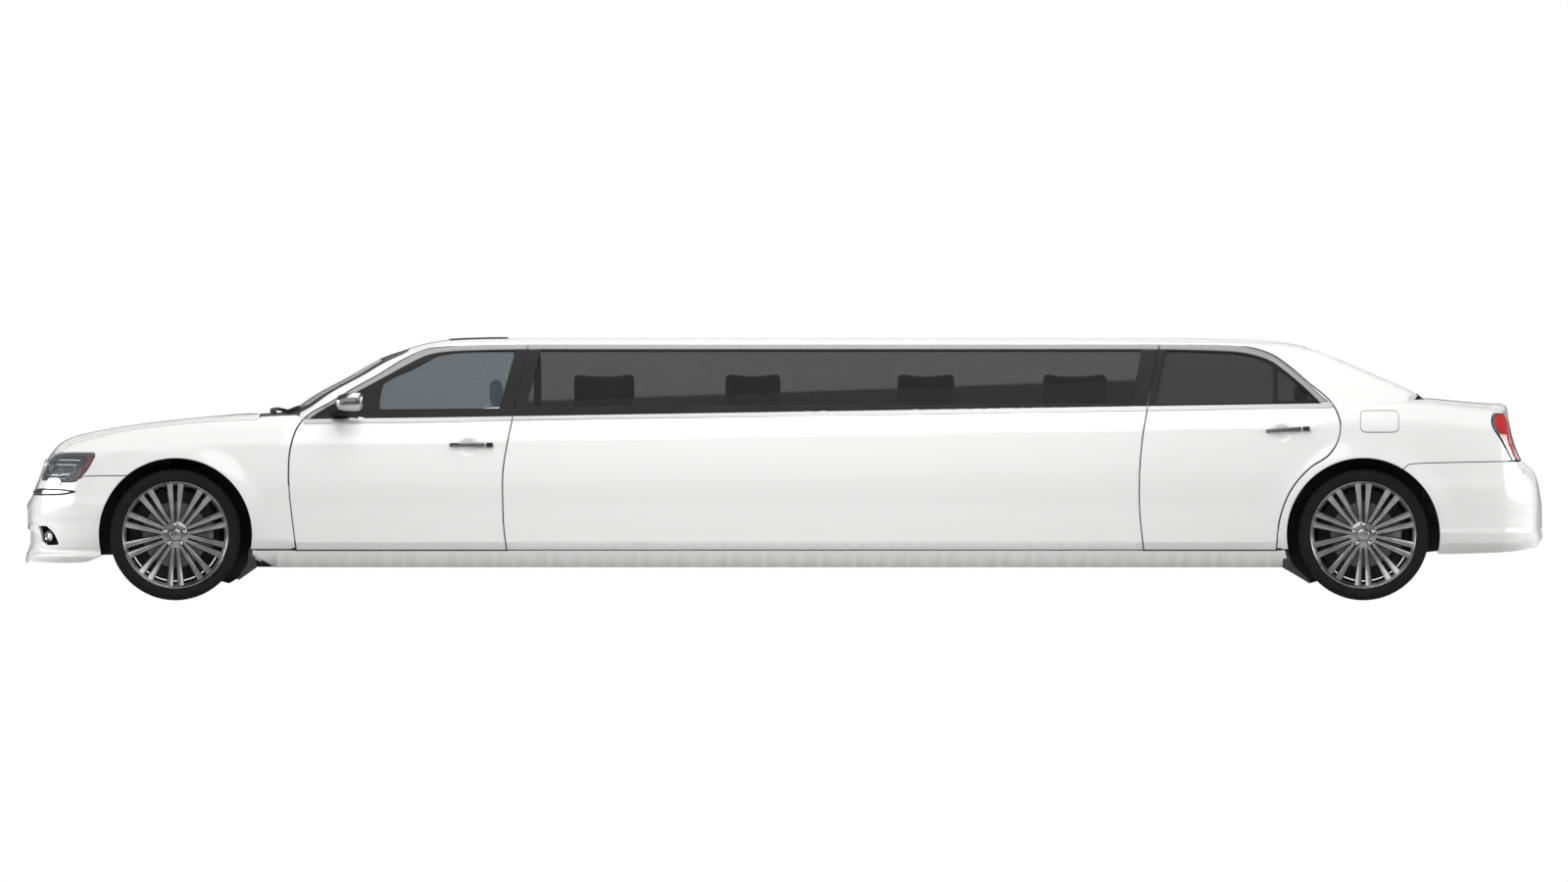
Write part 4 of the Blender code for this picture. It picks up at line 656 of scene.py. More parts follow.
def roundCorners(points, radius):
    out = []
    count = len(points)
    for i in range(count):
        a, b, c = (Vector(points[(i + k) % count]) for k in (-1, 0, 1))
        u, v = (a - b), (c - b)
        angle = u.angle(v, math.pi)
        if angle > math.radians(150) or min(u.length, v.length) < 1e-6:
            out.append(tuple(b))
            continue
        cut = min(radius / math.tan(angle / 2), u.length * 0.49, v.length * 0.49)
        p, q = b + u.normalized() * cut, b + v.normalized() * cut
        for k in range(6):
            t = k / 5
            out.append(tuple(p * (1 - t) ** 2 + b * 2 * t * (1 - t) + q * t * t))
    return out


def loopArea(loop):
    a = np.array(loop)
    b = np.roll(a, -1, axis=0)
    return float((a[:, 0] * b[:, 1] - b[:, 0] * a[:, 1]).sum() / 2)


def grow(loop, amount):                 # moves a closed outline outwards, or in if negative
    a = np.array(loop, float)
    before, after = a - np.roll(a, 1, 0), np.roll(a, -1, 0) - a
    turn = 1 if loopArea(loop) > 0 else -1
    before /= np.linalg.norm(before, axis=1, keepdims=True) + 1e-12
    after /= np.linalg.norm(after, axis=1, keepdims=True) + 1e-12
    n1 = np.stack([before[:, 1], -before[:, 0]], 1) * turn
    n2 = np.stack([after[:, 1], -after[:, 0]], 1) * turn
    total = n1 + n2
    size = (total ** 2).sum(1, keepdims=True)
    return [tuple(p) for p in a + total * 2 * amount / np.maximum(size, 0.5)]


def inside(spots, loop):
    loop = np.array(loop)
    x, y = spots[:, 0][:, None], spots[:, 1][:, None]
    x1, y1 = loop[:, 0][None], loop[:, 1][None]
    x2, y2 = np.roll(loop[:, 0], -1)[None], np.roll(loop[:, 1], -1)[None]
    with np.errstate(divide="ignore", invalid="ignore"):
        cross = ((y1 > y) != (y2 > y)) & (x < (x2 - x1) * (y - y1) / (y2 - y1) + x1)
    return cross.sum(1) % 2 == 1


def farFrom(spots, loops, reach):
    keep = np.ones(len(spots), bool)
    for loop in loops:
        edge = np.array(loop)
        for start in range(0, len(spots), 4000):
            d = ((spots[start:start + 4000, None] - edge[None]) ** 2).sum(2).min(1)
            keep[start:start + 4000] &= d > reach * reach
    return keep


def flatMesh(loops, grid, lip, dense=(), rows=()):
    # triangles of an outline with holes; a second line of points lies lip inside each edge;
    # dense: rounds of finer points as (middle, radius, step); rows: heights of extra rows
    verts, edges = [], []
    inner = [grow(loop, -lip if i == 0 else lip) for i, loop in enumerate(loops)]
    for group in (loops, inner):
        for loop in group:
            base = len(verts)
            verts += [Vector(p) for p in loop]
            edges += [(base + k, base + (k + 1) % len(loop)) for k in range(len(loop))]
    outer = np.array(loops[0])
    low, high = outer.min(0), outer.max(0)
    us = np.arange(low[0] + grid[0] * 0.5, high[0], grid[0])
    vs = np.arange(low[1] + grid[1] * 0.5, high[1], grid[1])
    vs = np.array([v for v in vs if all(abs(v - r) > grid[1] * 0.4 for r in rows)]
        + [r for r in rows if low[1] < r < high[1]])
    spots = np.array([(u, v) for u in us for v in vs])
    if len(spots):
        keep = inside(spots, inner[0])
        for loop in inner[1:]:
            keep &= ~inside(spots, loop)
        spots = spots[keep]
        if len(spots):
            onRow = np.isin(spots[:, 1], rows) & farFrom(spots, inner, 0.0025)
            spots = spots[onRow | farFrom(spots, inner, min(grid) * 0.45)]
        for middle, radius, step in dense:
            spots = spots[np.hypot(*(spots - middle).T) > radius + step]
            for r in np.arange(step, radius + step / 2, step):
                turn = np.linspace(0, 2 * math.pi, int(2 * math.pi * r / step), endpoint=False)
                ring = np.column_stack([middle[0] + r * np.cos(turn),
                    middle[1] + r * np.sin(turn)])
                spots = np.concatenate([spots, ring])
        verts += [Vector(p) for p in spots]
    points, _, faces, _, _, _ = delaunay_2d_cdt(verts, edges, [], 0, 1e-6)
    middles = np.array([[sum(points[i][k] for i in f) / 3 for k in (0, 1)] for f in faces])
    keep = inside(middles, loops[0])
    for loop in loops[1:]:
        keep &= ~inside(middles, loop)
    return points, [f for f, k in zip(faces, keep) if k]


def meshOf(name, verts, faces, normals=None):
    mesh = bpy.data.meshes.new(name)
    mesh.from_pydata([tuple(v) for v in verts], [], [tuple(f) for f in faces])
    mesh.polygons.foreach_set("use_smooth", [True] * len(mesh.polygons))
    if normals is not None:
        mesh.normals_split_custom_set(normals)
    return mesh


def piece(name, mesh, material, body="body", slot=None, twin=False, node=None):
    # a finished mesh gets its finish, body and CAD node; slot is not used; twin makes both sides
    if not mesh.materials:
        mesh.materials.append(finishes[material])
    obj = bpy.data.objects.new(name, mesh)
    bpy.context.scene.collection.objects.link(obj)
    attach(obj, body)
    if node:
        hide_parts(node)
    if twin:
        piece(onRight(name), mirrored(mesh), material, onRight(body), slot, False, onRight(node))
    return obj


def onRight(text):                      # a left piece's, body's or node's name on the right
    return text and text.replace("Left", "Right").replace("_left", "_right")


def mirrored(mesh):
    normals = None
    if mesh.has_custom_normals:
        normals = [mesh.corner_normals[k].vector * Vector((-1, 1, 1)) for p in mesh.polygons
            for k in reversed(p.loop_indices)]
    return meshOf(mesh.name, [(-v.co.x, v.co.y, v.co.z) for v in mesh.vertices],
        [list(reversed(p.vertices)) for p in mesh.polygons], normals)


edgeStyle = {"lip": 0.003, "flatLip": 0.0015, "drop": 0.0016, "tilt": 0.8, "probe": 0.002}
foldRows = (0.3145, 0.3195, 0.325, 0.331)  # rows that follow the fold above the sills


def panelMesh(loops, view, depth, grid, inset=0.0, only=None, shear=None, round=True, push=None,
        dense=()):
    # closed shell laid on the body form: outer face, turned edge and inner face
    lip = edgeStyle["lip" if round else "flatLip"]
    folded = foldRows if view == "side" and round else ()
    points, faces = flatMesh(loops, grid, lip, dense, folded)
    spots, normals, remap = [], [], {}
    for i, p in enumerate(points):
        hit = onBody(view, p[0], p[1], only)
        if hit is None:
            continue
        remap[i] = len(spots)
        lift, normal = 0.0, hit[1]
        if push:
            lift = push(p[0], p[1])
            e = edgeStyle["probe"]
            slopeA = (push(p[0] + e, p[1]) - push(p[0] - e, p[1])) / (2 * e)
            slopeB = (push(p[0], p[1] + e) - push(p[0], p[1] - e)) / (2 * e)
            if abs(slopeA) + abs(slopeB) > 1e-4:
                alongA = onBody(view, p[0] + e, p[1], only)
                alongB = onBody(view, p[0], p[1] + e, only)
                if alongA and alongB:
                    u, v = (alongA[0] - hit[0]) / e, (alongB[0] - hit[0]) / e
                    lean = (u * (slopeA / max(u.length_squared, 0.2)) + v
                        * (slopeB / max(v.length_squared, 0.2)))
                    normal = (normal - lean).normalized()
        spots.append(hit[0] + hit[1] * (lift - inset))
        normals.append(normal)
    tris = []
    for f in faces:
        if all(i in remap for i in f):
            a, b, c = (spots[remap[i]] for i in f)
            n = (b - a).cross(c - a)
            facing = n.dot(normals[remap[f[0]]])
            tri = [remap[i] for i in f]
            tris.append(tri if facing > 0 else tri[::-1])
    count = len(spots)
    uses = {}
    for t in tris:
        for k in range(3):
            a, b = t[k], t[(k + 1) % 3]
            uses[(a, b)] = uses.get((a, b), 0) + 1
    border = [e for e in uses if (e[1], e[0]) not in uses]
    outward = {}
    for a, b in border:
        side = (spots[b] - spots[a]).cross((normals[a] + normals[b]) / 2)
        if side.length > 0:
            side.normalize()
        for i in (a, b):
            outward[i] = outward.get(i, Vector()) + side
    outerNormals = list(normals)
    inner = []
    for i, (p, n) in enumerate(zip(spots, normals)):
        d = depth(p) if callable(depth) else depth
        if view == "side" and callable(depth):
            back = p - Vector((d, 0, 0))
        else:
            back = p - n * d
        if shear:
            back = shear(p, back)
        inner.append(back)
        if i in outward and outward[i].length > 0 and round:
            outward[i].normalize()
            outerNormals[i] = (n + outward[i] * edgeStyle["tilt"]).normalized()
            spots[i] = p - n * edgeStyle["drop"]
    verts = spots + inner
    allFaces, loopNormals = [], []
    for t in tris:
        allFaces.append(t)
        loopNormals += [outerNormals[i] for i in t]
    for t in tris:
        allFaces.append([count + t[2], count + t[1], count + t[0]])
        loopNormals += [-normals[t[2]], -normals[t[1]], -normals[t[0]]]
    for a, b in border:
        allFaces.append([b, a, count + a, count + b])
        side = (spots[b] - spots[a]).cross(spots[a] - inner[a])
        side = -side.normalized() if side.length > 0 else Vector((0, 0, 1))
        out = outward.get(a, side)
        if side.dot(out) < 0:
            side = -side
        loopNormals += [side] * 4
    return verts, allFaces, loopNormals


def trace(view, *parts, only=None):
    # outline points given in several views, unfolded into one: ("side", points), ...
    loop = []
    for source, points in parts:
        for p in points:
            loop.append(unfold[view](spot(source, p[0], p[1], only or formFor.get(view)),
                *eyes.get(view, ())))
    return loop


def bothWays(half):                     # a half outline and its mirror image across x = 0
    return list(half) + [(-a, b) for a, b in reversed(half) if abs(a) > 1e-6]


def panel(name, outline, view="side", depth=0.02, grid=(0.05, 0.03), holes=(), inset=0.0,
        body="body", material="white_paint", slot=None, only=None, shear=None, twin=False,
        round=True, push=None, dense=(), node=None):
    shell = panelMesh([outline, *holes], view, depth, grid, inset, only, shear, round, push, dense)
    piece(name, meshOf(name, *shell), material, body, slot, twin, node)

# outlines of the panels, from the nearer axle
cut = {
    "gap": 0.006,             # shut line width
    "sillTop": 0.281,
    "dripLine": 1.423,
    "hoodRear": 0.466,
    "rearSeam": 0.768,        # top of the rear bumper
    "bumperSeam": 0.689,      # top of the front bumper beside the wheel
    "shear": 0.36,            # slant of a door's closing edge
    "doorDepth": 0.105,
    "frameDepth": 0.034,
}
sillTop, dripLine = cut["sillTop"], cut["dripLine"]
frontDoorFront = fromFront([(0.675, sillTop), (0.651, 0.469), (0.636, 0.615), (0.633, 0.712),
    (0.651, 0.878), (0.68, 0.956), (0.714, 1.004), (0.875, 1.106), (0.972, 1.165), (1.137, 1.257),
    (1.283, 1.345), (1.401, 1.394), (1.527, 1.408), (1.72, 1.418)])
frontDoorRear = fromFront([(1.963, dripLine), (1.872, 1.014), (1.843, 0.878), (1.818, 0.712),
    (1.817, 0.566), (1.822, 0.42), (1.838, sillTop)])
rearDoorFront = fromRear([(-1.219, sillTop), (-1.239, 0.481), (-1.237, 0.776), (-1.221, 0.93),
    (-1.195, 1.077), (-1.129, dripLine)])
rearDoorRear = fromRear([(-0.9, 1.42), (-0.686, 1.412), (-0.608, 1.399), (-0.514, 1.367),
    (-0.42, 1.305), (-0.311, 1.211), (-0.183, 1.101), (-0.154, 1.055), (-0.131, 0.977),
    (-0.147, 0.883), (-0.194, 0.813), (-0.296, 0.742), (-0.405, 0.617), (-0.467, 0.461),
    (-0.488, sillTop)])
frontWindow = fromFront([(0.76, 1.026), (0.842, 1.07), (1.021, 1.165), (1.177, 1.248),
    (1.293, 1.311), (1.401, 1.362), (1.478, 1.379), (1.575, 1.387), (1.898, 1.394),
    (1.812, 1.078)])
rearWindow = fromRear([(-1.107, 1.394), (-0.843, 1.388), (-0.686, 1.378), (-0.608, 1.363),
    (-0.514, 1.329), (-0.436, 1.274), (-0.342, 1.196), (-0.256, 1.103), (-1.165, 1.086)])
longWindow = [(front(1.942), 1.066), (front(2.032), 1.394), (rear(-1.228), 1.394),
    (rear(-1.288), 1.088)]
hoodHalf = [(0.0, -0.716), (0.2, -0.713), (0.4, -0.698), (0.56, -0.662), (0.67, -0.61),
    (0.735, -0.56), (0.775, -0.43), (0.793, -0.3), (0.815, 0.0), (0.828, 0.3), (0.838, 0.466)]
flapOutline = fromRear([(-0.015, 0.935), (-0.015, 1.055), (0.196, 1.055), (0.196, 0.935)])
frontDoorLoop = smoothLoop(frontDoorFront + frontDoorRear)
rearDoorLoop = smoothLoop(rearDoorFront + rearDoorRear)
frontGlassLoop = smoothLoop(frontWindow, radius=0.01)
rearGlassLoop = smoothLoop(rearWindow, radius=0.01)
longGlassLoop = smoothLoop(longWindow, step=0.05, radius=0.01)


def doorDepth(p):                       # deep below the windows, slim window frames above
    share = min(max((p.z - 0.985) / 0.05, 0.0), 1.0)
    return cut["doorDepth"] * (1 - share) + cut["frameDepth"] * share


def closingShear(hingeY, closeY):
    def move(p, back):
        share = min(max((p.y - hingeY) / (closeY - hingeY), 0.0), 1.0)
        ease = share ** 3
        return back + Vector((0, -cut["shear"] * (p.x - back.x) * ease, 0))
    return move


handle = {"spots": {"frontDoor": (front(1.629), 0.858), "rearDoor": (rear(-0.451), 0.932)},
    "bowlRadius": 0.054, "bowlDepth": 0.017,}


def bowl(middle):                       # the hollow behind a door handle
    def push(a, b):
        share = math.hypot(a - middle[0], b - middle[1]) / handle["bowlRadius"]
        return -handle["bowlDepth"] * (1 - share ** 2) ** 1.5 if share < 1 else 0.0
    return push


def makeDoors():
    table = (("frontDoor", frontDoorLoop, frontGlassLoop, "front_door", front(0.7), front(1.84)),
        ("rearDoor", rearDoorLoop, rearGlassLoop, "rear_door", rear(-1.2), rear(-0.2)))
    for name, outline, window, node, hingeY, closeY in table:
        panel(name + "SkinLeft", outline, depth=doorDepth, grid=(0.05, 0.022),
            holes=[grow(window, 0.004)], body=node + "_left", shear=closingShear(hingeY, closeY),
            twin=True, push=bowl(handle["spots"][name]),
            dense=[(handle["spots"][name], handle["bowlRadius"] + 0.004, 0.006)],
            node=node + "_left")


def makeGlass():
    table = (("frontDoorGlass", frontGlassLoop, "front_door_glass", "front_door_left",
        "door_glass"), ("rearDoorGlass", rearGlassLoop, "rear_door_glass", "rear_door_left",
        "rear_glass"), ("sideWindow", longGlassLoop, "side_window", "body", "dark_glass"))
    for name, outline, node, body, material in table:
        panel(name + "Left", grow(outline, 0.012), depth=0.005, grid=(0.09, 0.03), inset=0.005,
            body=body, material=material, twin=True, round=False, only="upper",
            node=node + "_left")


def makeSides():
    gap = cut["gap"]
    doorEdge = [p for p in grow(frontDoorLoop, gap)]
    doorRear = [p for p in doorEdge if p[0] > front(1.75) and sillTop < p[1] < dripLine]
    doorRear.sort(key=lambda p: -p[1])
    rearEdge = [p for p in grow(rearDoorLoop, gap) if p[0] < rear(-1.1)
        and sillTop < p[1] < dripLine]
    rearEdge.sort(key=lambda p: p[1])
    top, low = dripLine - 0.0003, sillTop + 0.0003
    loop = [(doorRear[0][0] + 0.001, top)] + doorRear + [(doorRear[-1][0], low)]
    loop += [(rearEdge[0][0], low)] + rearEdge + [(rearEdge[-1][0] - 0.001, top)]
    loop = smoothLoop(loop, step=0.04)

    def shear(p, back):                 # the front jamb follows the door's slanted edge
        share = min(max((front(2.0) - p.y) / 0.12, 0.0), 1.0)
        return back + Vector((0, -cut["shear"] * (p.x - back.x) * share, 0))
    panel("sidePanelLeft", loop, depth=doorDepth, grid=(0.085, 0.022),
        holes=[grow(longGlassLoop, 0.004)], twin=True, shear=shear, node="side_panel_left")

    sill = [(front(0.448), 0.183)]
    sill += [(y, 0.183) for y in np.arange(front(0.55), rear(-0.5), 0.25)]
    high = sillTop - cut["gap"]
    sill += [(rear(-0.446), 0.183), (rear(-0.425), 0.23), (rear(-0.437), high)]
    sill += [(y, high) for y in np.arange(rear(-0.55), front(0.55), -0.25)]
    sill += [(front(0.43), high), (front(0.428), 0.23)]
    panel("sillLeft", smoothLoop(sill, step=0.06), depth=0.05, grid=(0.1, 0.012), twin=True,
        only="lower", node="sill_left")


def line(points, step=0.015, count=0):  # open line, smoothed and evenly spaced
    pts = np.array(points, float)
    chord = np.concatenate([[0], np.cumsum(np.linalg.norm(np.diff(pts, axis=0), axis=1))])
    n = count or max(2, int(chord[-1] / step))
    return [tuple(p) for p in through(chord, pts, np.linspace(0, chord[-1], n))]


hoodEdge = [(x, front(y)) for x, y in line(hoodHalf)]
lampLow = fromFront([(-0.553, 0.662), (-0.585, 0.657), (-0.621, 0.658)])
lampFrontLow = [(0.74, 0.664), (0.68, 0.674), (0.6, 0.69), (0.5, 0.712)]
lampEnd = [(0.462, 0.728), (0.448, 0.75), (0.452, 0.776)]
lampFrontTop = [(0.5, 0.789), (0.58, 0.802), (0.66, 0.813), (0.72, 0.819)]
lampTop = fromFront([(-0.61, 0.8225), (-0.54, 0.824), (-0.452, 0.823)])
lampRear = fromFront([(-0.444, 0.809), (-0.493, 0.722), (-0.553, 0.662)])
grilleHalf = [(0.0, 0.505), (0.3, 0.507), (0.338, 0.52), (0.352, 0.55), (0.372, 0.69),
    (0.378, 0.745)]


def archLine(axle, first, last):        # points over the wheel arch between two angles
    return [(axle - form["archRadius"] * math.cos(a), tyreRadius + form["archRadius"]
        * math.sin(a)) for a in np.linspace(math.radians(first), math.radians(last), 40)]


def archAngle(z):
    return math.degrees(math.asin((z - tyreRadius) / form["archRadius"]))


def makeFenders():
    low = archAngle(sillTop + 0.001)
    door = grow(frontDoorLoop, cut["gap"])
    edge = [p for p in door if p[0] < front(0.74) and p[1] > sillTop + 0.002 and p[1] < 1.006]
    edge.sort(key=lambda p: p[1])
    tip = [p for p in hoodEdge if front(-0.575) < p[1] < front(0.468)]
    tip = [(x + 0.003, y) for x, y in reversed(tip)]
    loop = trace("flank", ("side", archLine(frontAxle, archAngle(0.693), 180 - low)),
        ("side", [(y, sillTop + 0.001) for y in np.linspace(front(0.44), front(0.64), 8)]),
        ("side", edge), ("top", [(0.845, front(0.7)), (0.8, front(0.68))]),
        ("top", [(0.8, y) for y in np.linspace(front(0.64), front(0.472), 6)]), ("top", tip),
        ("front", [(0.73, 0.826)]), ("side", line(lampTop)), ("side", line(lampRear)),
        ("side", fromFront([(-0.513, 0.689), (-0.4, 0.692)])))
    panel("fenderLeft", grow(smoothLoop(loop), -0.0025), "flank", depth=0.022, grid=(0.035, 0.022),
        twin=True, node="fender_left")


def makeHood():
    loop = bothWays(hoodEdge[::-1])
    rearEdge = [(x, front(cut["hoodRear"]) - 0.004 * (1 - (x / 0.838) ** 2))
        for x in np.linspace(-0.8, 0.8, 24)]
    panel("hoodSkin", grow(loop + rearEdge, -0.003), "top", depth=0.02, grid=(0.028, 0.03),
        body="hood", push=hoodCrease, node="hood")


def hoodCrease(x, y):                   # two soft ridges that run from the grille to the cowl
    along = (y - front(-0.62)) / (front(cut["hoodRear"]) - front(-0.62))
    along = min(max(along, 0), 1)
    ridge = 0.33 + 0.24 * along
    away = abs(abs(x) - ridge)
    middle = 0.004 * math.exp(-(away / 0.05) ** 2)
    inner = 0.006 if abs(x) < ridge else 0.006 * math.exp(-(away / 0.03) ** 2)
    fade = min(max((y - front(-0.7)) / 0.15, 0), 1) * min(max((front(0.46) - y) / 0.1, 0), 1)
    return (middle + inner) * fade


def makeBumpers():
    bottom = 0.216
    half = [("front", [(x, bottom) for x in np.linspace(0.0, 0.44, 8)]),
        ("side",
        line(
        fromFront([(-0.79, bottom + 0.004), (-0.7, 0.215), (-0.6, 0.213), (-0.5, 0.218),
        (-0.42, 0.246)]))), ("side", archLine(frontAxle, archAngle(0.262), archAngle(0.693))),
        ("side", fromFront([(-0.4, 0.692), (-0.513, 0.689)])), ("side", line(lampLow)),
        ("front", line(lampFrontLow)), ("front", line(lampEnd)), ("front", line(lampFrontTop)),
        ("front", [(0.73, 0.826)]),
        ("top", [p for p in reversed(hoodEdge) if p[1] < front(-0.575) and p[0] > 0.4]),
        ("front", [(0.384, 0.775)]), ("front", line(grilleHalf[::-1], 0.02)[:-1])]
    left = trace("nose", *half)
    loop = left + [(-a, b) for a, b in reversed(left[1:])]
    intake = bothWays([(0.0, 0.3), (0.4, 0.302), (0.462, 0.318), (0.44, 0.39), (0.0, 0.395)])
    intake = trace("nose", ("front", smoothLoop(intake)))
    fog = fogLoop()
    panel("frontBumperSkin", grow(smoothLoop(loop, step=0.014), -0.002), "nose", depth=0.016,
        grid=(0.024, 0.02), holes=[intake, fog, [(-a, b) for a, b in reversed(fog)]],
        push=bumperShape, node="front_bumper")

    seam = [(0.222, 0.728), (0.262, 0.757), (0.5, 0.766), (0.7, 0.77), (0.83, 0.772)]
    half = [("back", [(x, 0.3) for x in np.linspace(0.0, 0.44, 8)]),
        ("side",
        line(
        fromRear([(0.93, 0.292), (0.85, 0.276), (0.75, 0.268), (0.6, 0.262), (0.45, 0.258)]))),
        ("side",
        [(rearAxle - (p[0] - rearAxle), p[1])
        for p in archLine(rearAxle, archAngle(0.262), archAngle(0.727))]),
        ("side", line(fromRear(seam))),
        ("back", [(x, 0.7725) for x in np.linspace(0.66, 0.0, 14)])]
    left = trace("tail", *half)
    loop = left + [(-a, b) for a, b in reversed(left[1:-1])]
    panel("rearBumperSkin", grow(smoothLoop(loop, step=0.014), -0.002), "tail", depth=0.016,
        grid=(0.024, 0.02), push=tailShape, node="rear_bumper")


def flapLine():
    return [unfold["flank"](spot("side", y, z), *eyes["flank"]) for y,
        z in smoothLoop(flapOutline, radius=0.028)]


def fogLoop():
    corners = fromFront([(-0.764, 0.414), (-0.716, 0.412), (-0.68, 0.378), (-0.645, 0.308),
        (-0.712, 0.304), (-0.752, 0.33)])
    return trace("nose", ("side", smoothLoop(corners, radius=0.01)))


def bump1(t, low, high, soft):          # 1 between low and high, with soft ends
    up = min(max((t - low + soft / 2) / soft, 0), 1)
    down = min(max((high + soft / 2 - t) / soft, 0), 1)
    return up * up * (3 - 2 * up) * down * down * (3 - 2 * down)


def bumperShape(a, z):                  # splitter lip, body fold and step below the seam
    lip = 0.017 * bump1(z, 0.19, 0.266, 0.01)
    hollow = -0.01 * bump1(z, 0.3, 0.4, 0.05) * bump1(abs(a), 0.0, 0.62, 0.1)
    brow = 0.006 * bump1(z, 0.452, 0.56, 0.06)
    return lip + hollow + brow


def tailShape(a, z):
    return 0.007 * bump1(z, 0.2, 0.385, 0.02) + 0.005 * bump1(z, 0.5, 0.66, 0.08)


def makeTail():
    low = archAngle(sillTop + 0.001)
    door = grow(rearDoorLoop, cut["gap"])
    edge = [p for p in door if p[0] > rear(-0.6) and sillTop + 0.002 < p[1] < 1.104]
    edge.sort(key=lambda p: p[1])
    lid = [(x + 0.003, y) for x,
        y in line([(0.7, rear(0.29)), (0.712, rear(0.42)), (0.71, rear(0.56)), (0.69, rear(0.7)),
        (0.668, rear(0.745))])]
    loop = trace("flank", ("side", edge),
        ("top",
        [(0.795, rear(-0.16)), (0.76, rear(-0.02)), (0.72, rear(0.12)), (0.7, rear(0.22))]),
        ("top", lid), ("side", [(rear(0.778), 1.046)]),
        ("side", line(fromRear([(0.722, 1.044), (0.713, 0.996), (0.77, 0.885), (0.829, 0.777)]))),
        ("side",
        line(fromRear([(0.8, 0.772), (0.7, 0.77), (0.5, 0.766), (0.262, 0.757), (0.222, 0.728)]))),
        ("side",
        [(rearAxle - (p[0] - rearAxle), p[1])
        for p in archLine(rearAxle, archAngle(0.728), 180 - low)]),
        ("side", [(rear(-0.45), sillTop + 0.001)]))
    flap = flapLine()
    skin = [grow(smoothLoop(loop), -0.0025)]
    plain = panelMesh(skin, "flank", 0.02, (0.035, 0.022))
    plain = meshOf("quarterRight", [(-v[0], v[1], v[2]) for v in plain[0]],
        [f[::-1] for f in plain[1]], flipNormals(plain[1], plain[2]))
    piece("quarterRight", plain, "white_paint", node="quarter_panel_right")
    panel("quarterLeft", skin[0], "flank", grid=(0.035, 0.022), holes=[grow(flap, 0.0015)],
        node="quarter_panel_left")
    panel("fuelFlap", grow(flap, -0.0015), "flank", depth=0.01, grid=(0.03, 0.03),
        body="fuel_flap", node="fuel_flap")

    top = [(0.0, rear(0.338)), (0.35, rear(0.332)), (0.6, rear(0.313)), (0.697, rear(0.294)),
        (0.709, rear(0.42)), (0.707, rear(0.56)), (0.687, rear(0.7)), (0.66, rear(0.752))]
    half = [("top", line(top)),
        ("back", line([(0.6, 1.04), (0.56, 1.02), (0.545, 0.94), (0.54, 0.8), (0.53, 0.782)])),
        ("back", [(x, 0.78) for x in np.linspace(0.5, 0.0, 12)])]
    left = trace("lid", *half)
    loop = left + [(-a, b) for a, b in reversed(left[1:-1])]
    panel("trunkLidSkin", grow(smoothLoop(loop, step=0.014), -0.003), "lid", depth=0.018,
        grid=(0.026, 0.018), body="trunk_lid", push=lidShape, node="trunk_lid")


def lidShape(x, b):                     # small spoiler edge
    return 0.01 * math.exp(-((b / 0.3 - 1.02) / 0.1) ** 2)


def flipNormals(faces, normals):
    out, base = [], 0
    for f in faces:
        for k in reversed(range(len(f))):
            n = normals[base + k]
            out.append((-n[0], n[1], n[2]))
        base += len(f)
    return out


screenHalf = [(0.0, 1.402), (0.3, 1.399), (0.52, 1.39), (0.582, 1.372), (0.628, 1.3),
    (0.694, 1.18), (0.745, 1.07), (0.722, 1.04), (0.5, 1.02), (0.25, 1.008), (0.0, 1.004)]
backHalf = [(0.0, 1.408), (0.3, 1.405), (0.47, 1.392), (0.53, 1.37), (0.568, 1.3), (0.604, 1.205),
    (0.618, 1.16), (0.598, 1.138), (0.4, 1.126), (0.0, 1.121)]


def makeRoof():
    door = grow(frontDoorLoop, cut["gap"])
    a = [p for p in door if p[1] > 1.0 and p[0] < front(1.75)]
    a.sort(key=lambda p: p[0])
    c = [p for p in grow(rearDoorLoop, cut["gap"]) if p[1] > 1.05 and p[0] > rear(-0.95)]
    c.sort(key=lambda p: p[0])
    middle = [(y, dripLine + 0.001) for y in np.arange(front(1.8), rear(-0.95), 0.1)]
    screen = line([p for p in screenHalf if p[1] > 1.039][::-1], 0.02)
    back = line([p for p in backHalf if p[1] > 1.136], 0.02)
    left = trace("cabin", ("front", [(x, z) for x, z in reversed(screen)]),
        ("side", [(front(0.7), 0.995)]), ("side", a), ("side", middle), ("side", c),
        ("side", [(rear(-0.16), 1.03), (rear(0.05), 1.04), (rear(0.22), 1.05)]),
        ("back", list(reversed(back))))
    loop = left + [(a0, -b0) for a0, b0 in reversed(left[1:-1])]
    panel("roofSkin", grow(loop, -0.001), "cabin", depth=0.03, grid=(0.05, 0.03),
        node="roof_panel")


def makeScreens():
    screen = smoothLoop(bothWays(screenHalf), step=0.03)
    deck = bothWays([(0.0, rear(0.2)), (0.62, rear(0.19)), (0.745, rear(0.215)),
        (0.755, rear(0.3)), (0.722, rear(0.44)), (0.714, rear(0.42)), (0.703, rear(0.289)),
        (0.6, rear(0.309)), (0.35, rear(0.328)), (0.0, rear(0.334))])
    panel("rearDeck", smoothLoop(deck, corner=5), "top", depth=0.006, grid=(0.03, 0.02),
        inset=0.003, only="lower")
    panel("windscreenGlass", grow(screen, 0.012), "front", depth=0.005, grid=(0.05, 0.02),
        inset=0.004, material="screen_glass", round=False, only="upper", node="windscreen")
    back = smoothLoop(bothWays(backHalf), step=0.03)
    panel("rearGlass", grow(back, 0.012), "back", depth=0.005, grid=(0.05, 0.02), inset=0.004,
        material="dark_glass", round=False, only="upper", node="rear_window")


makeDoors()
makeSides()
makeGlass()
print("doors and sides made")
makeFenders()
makeHood()
makeBumpers()
makeTail()
makeRoof()
makeScreens()
print("body panels made")

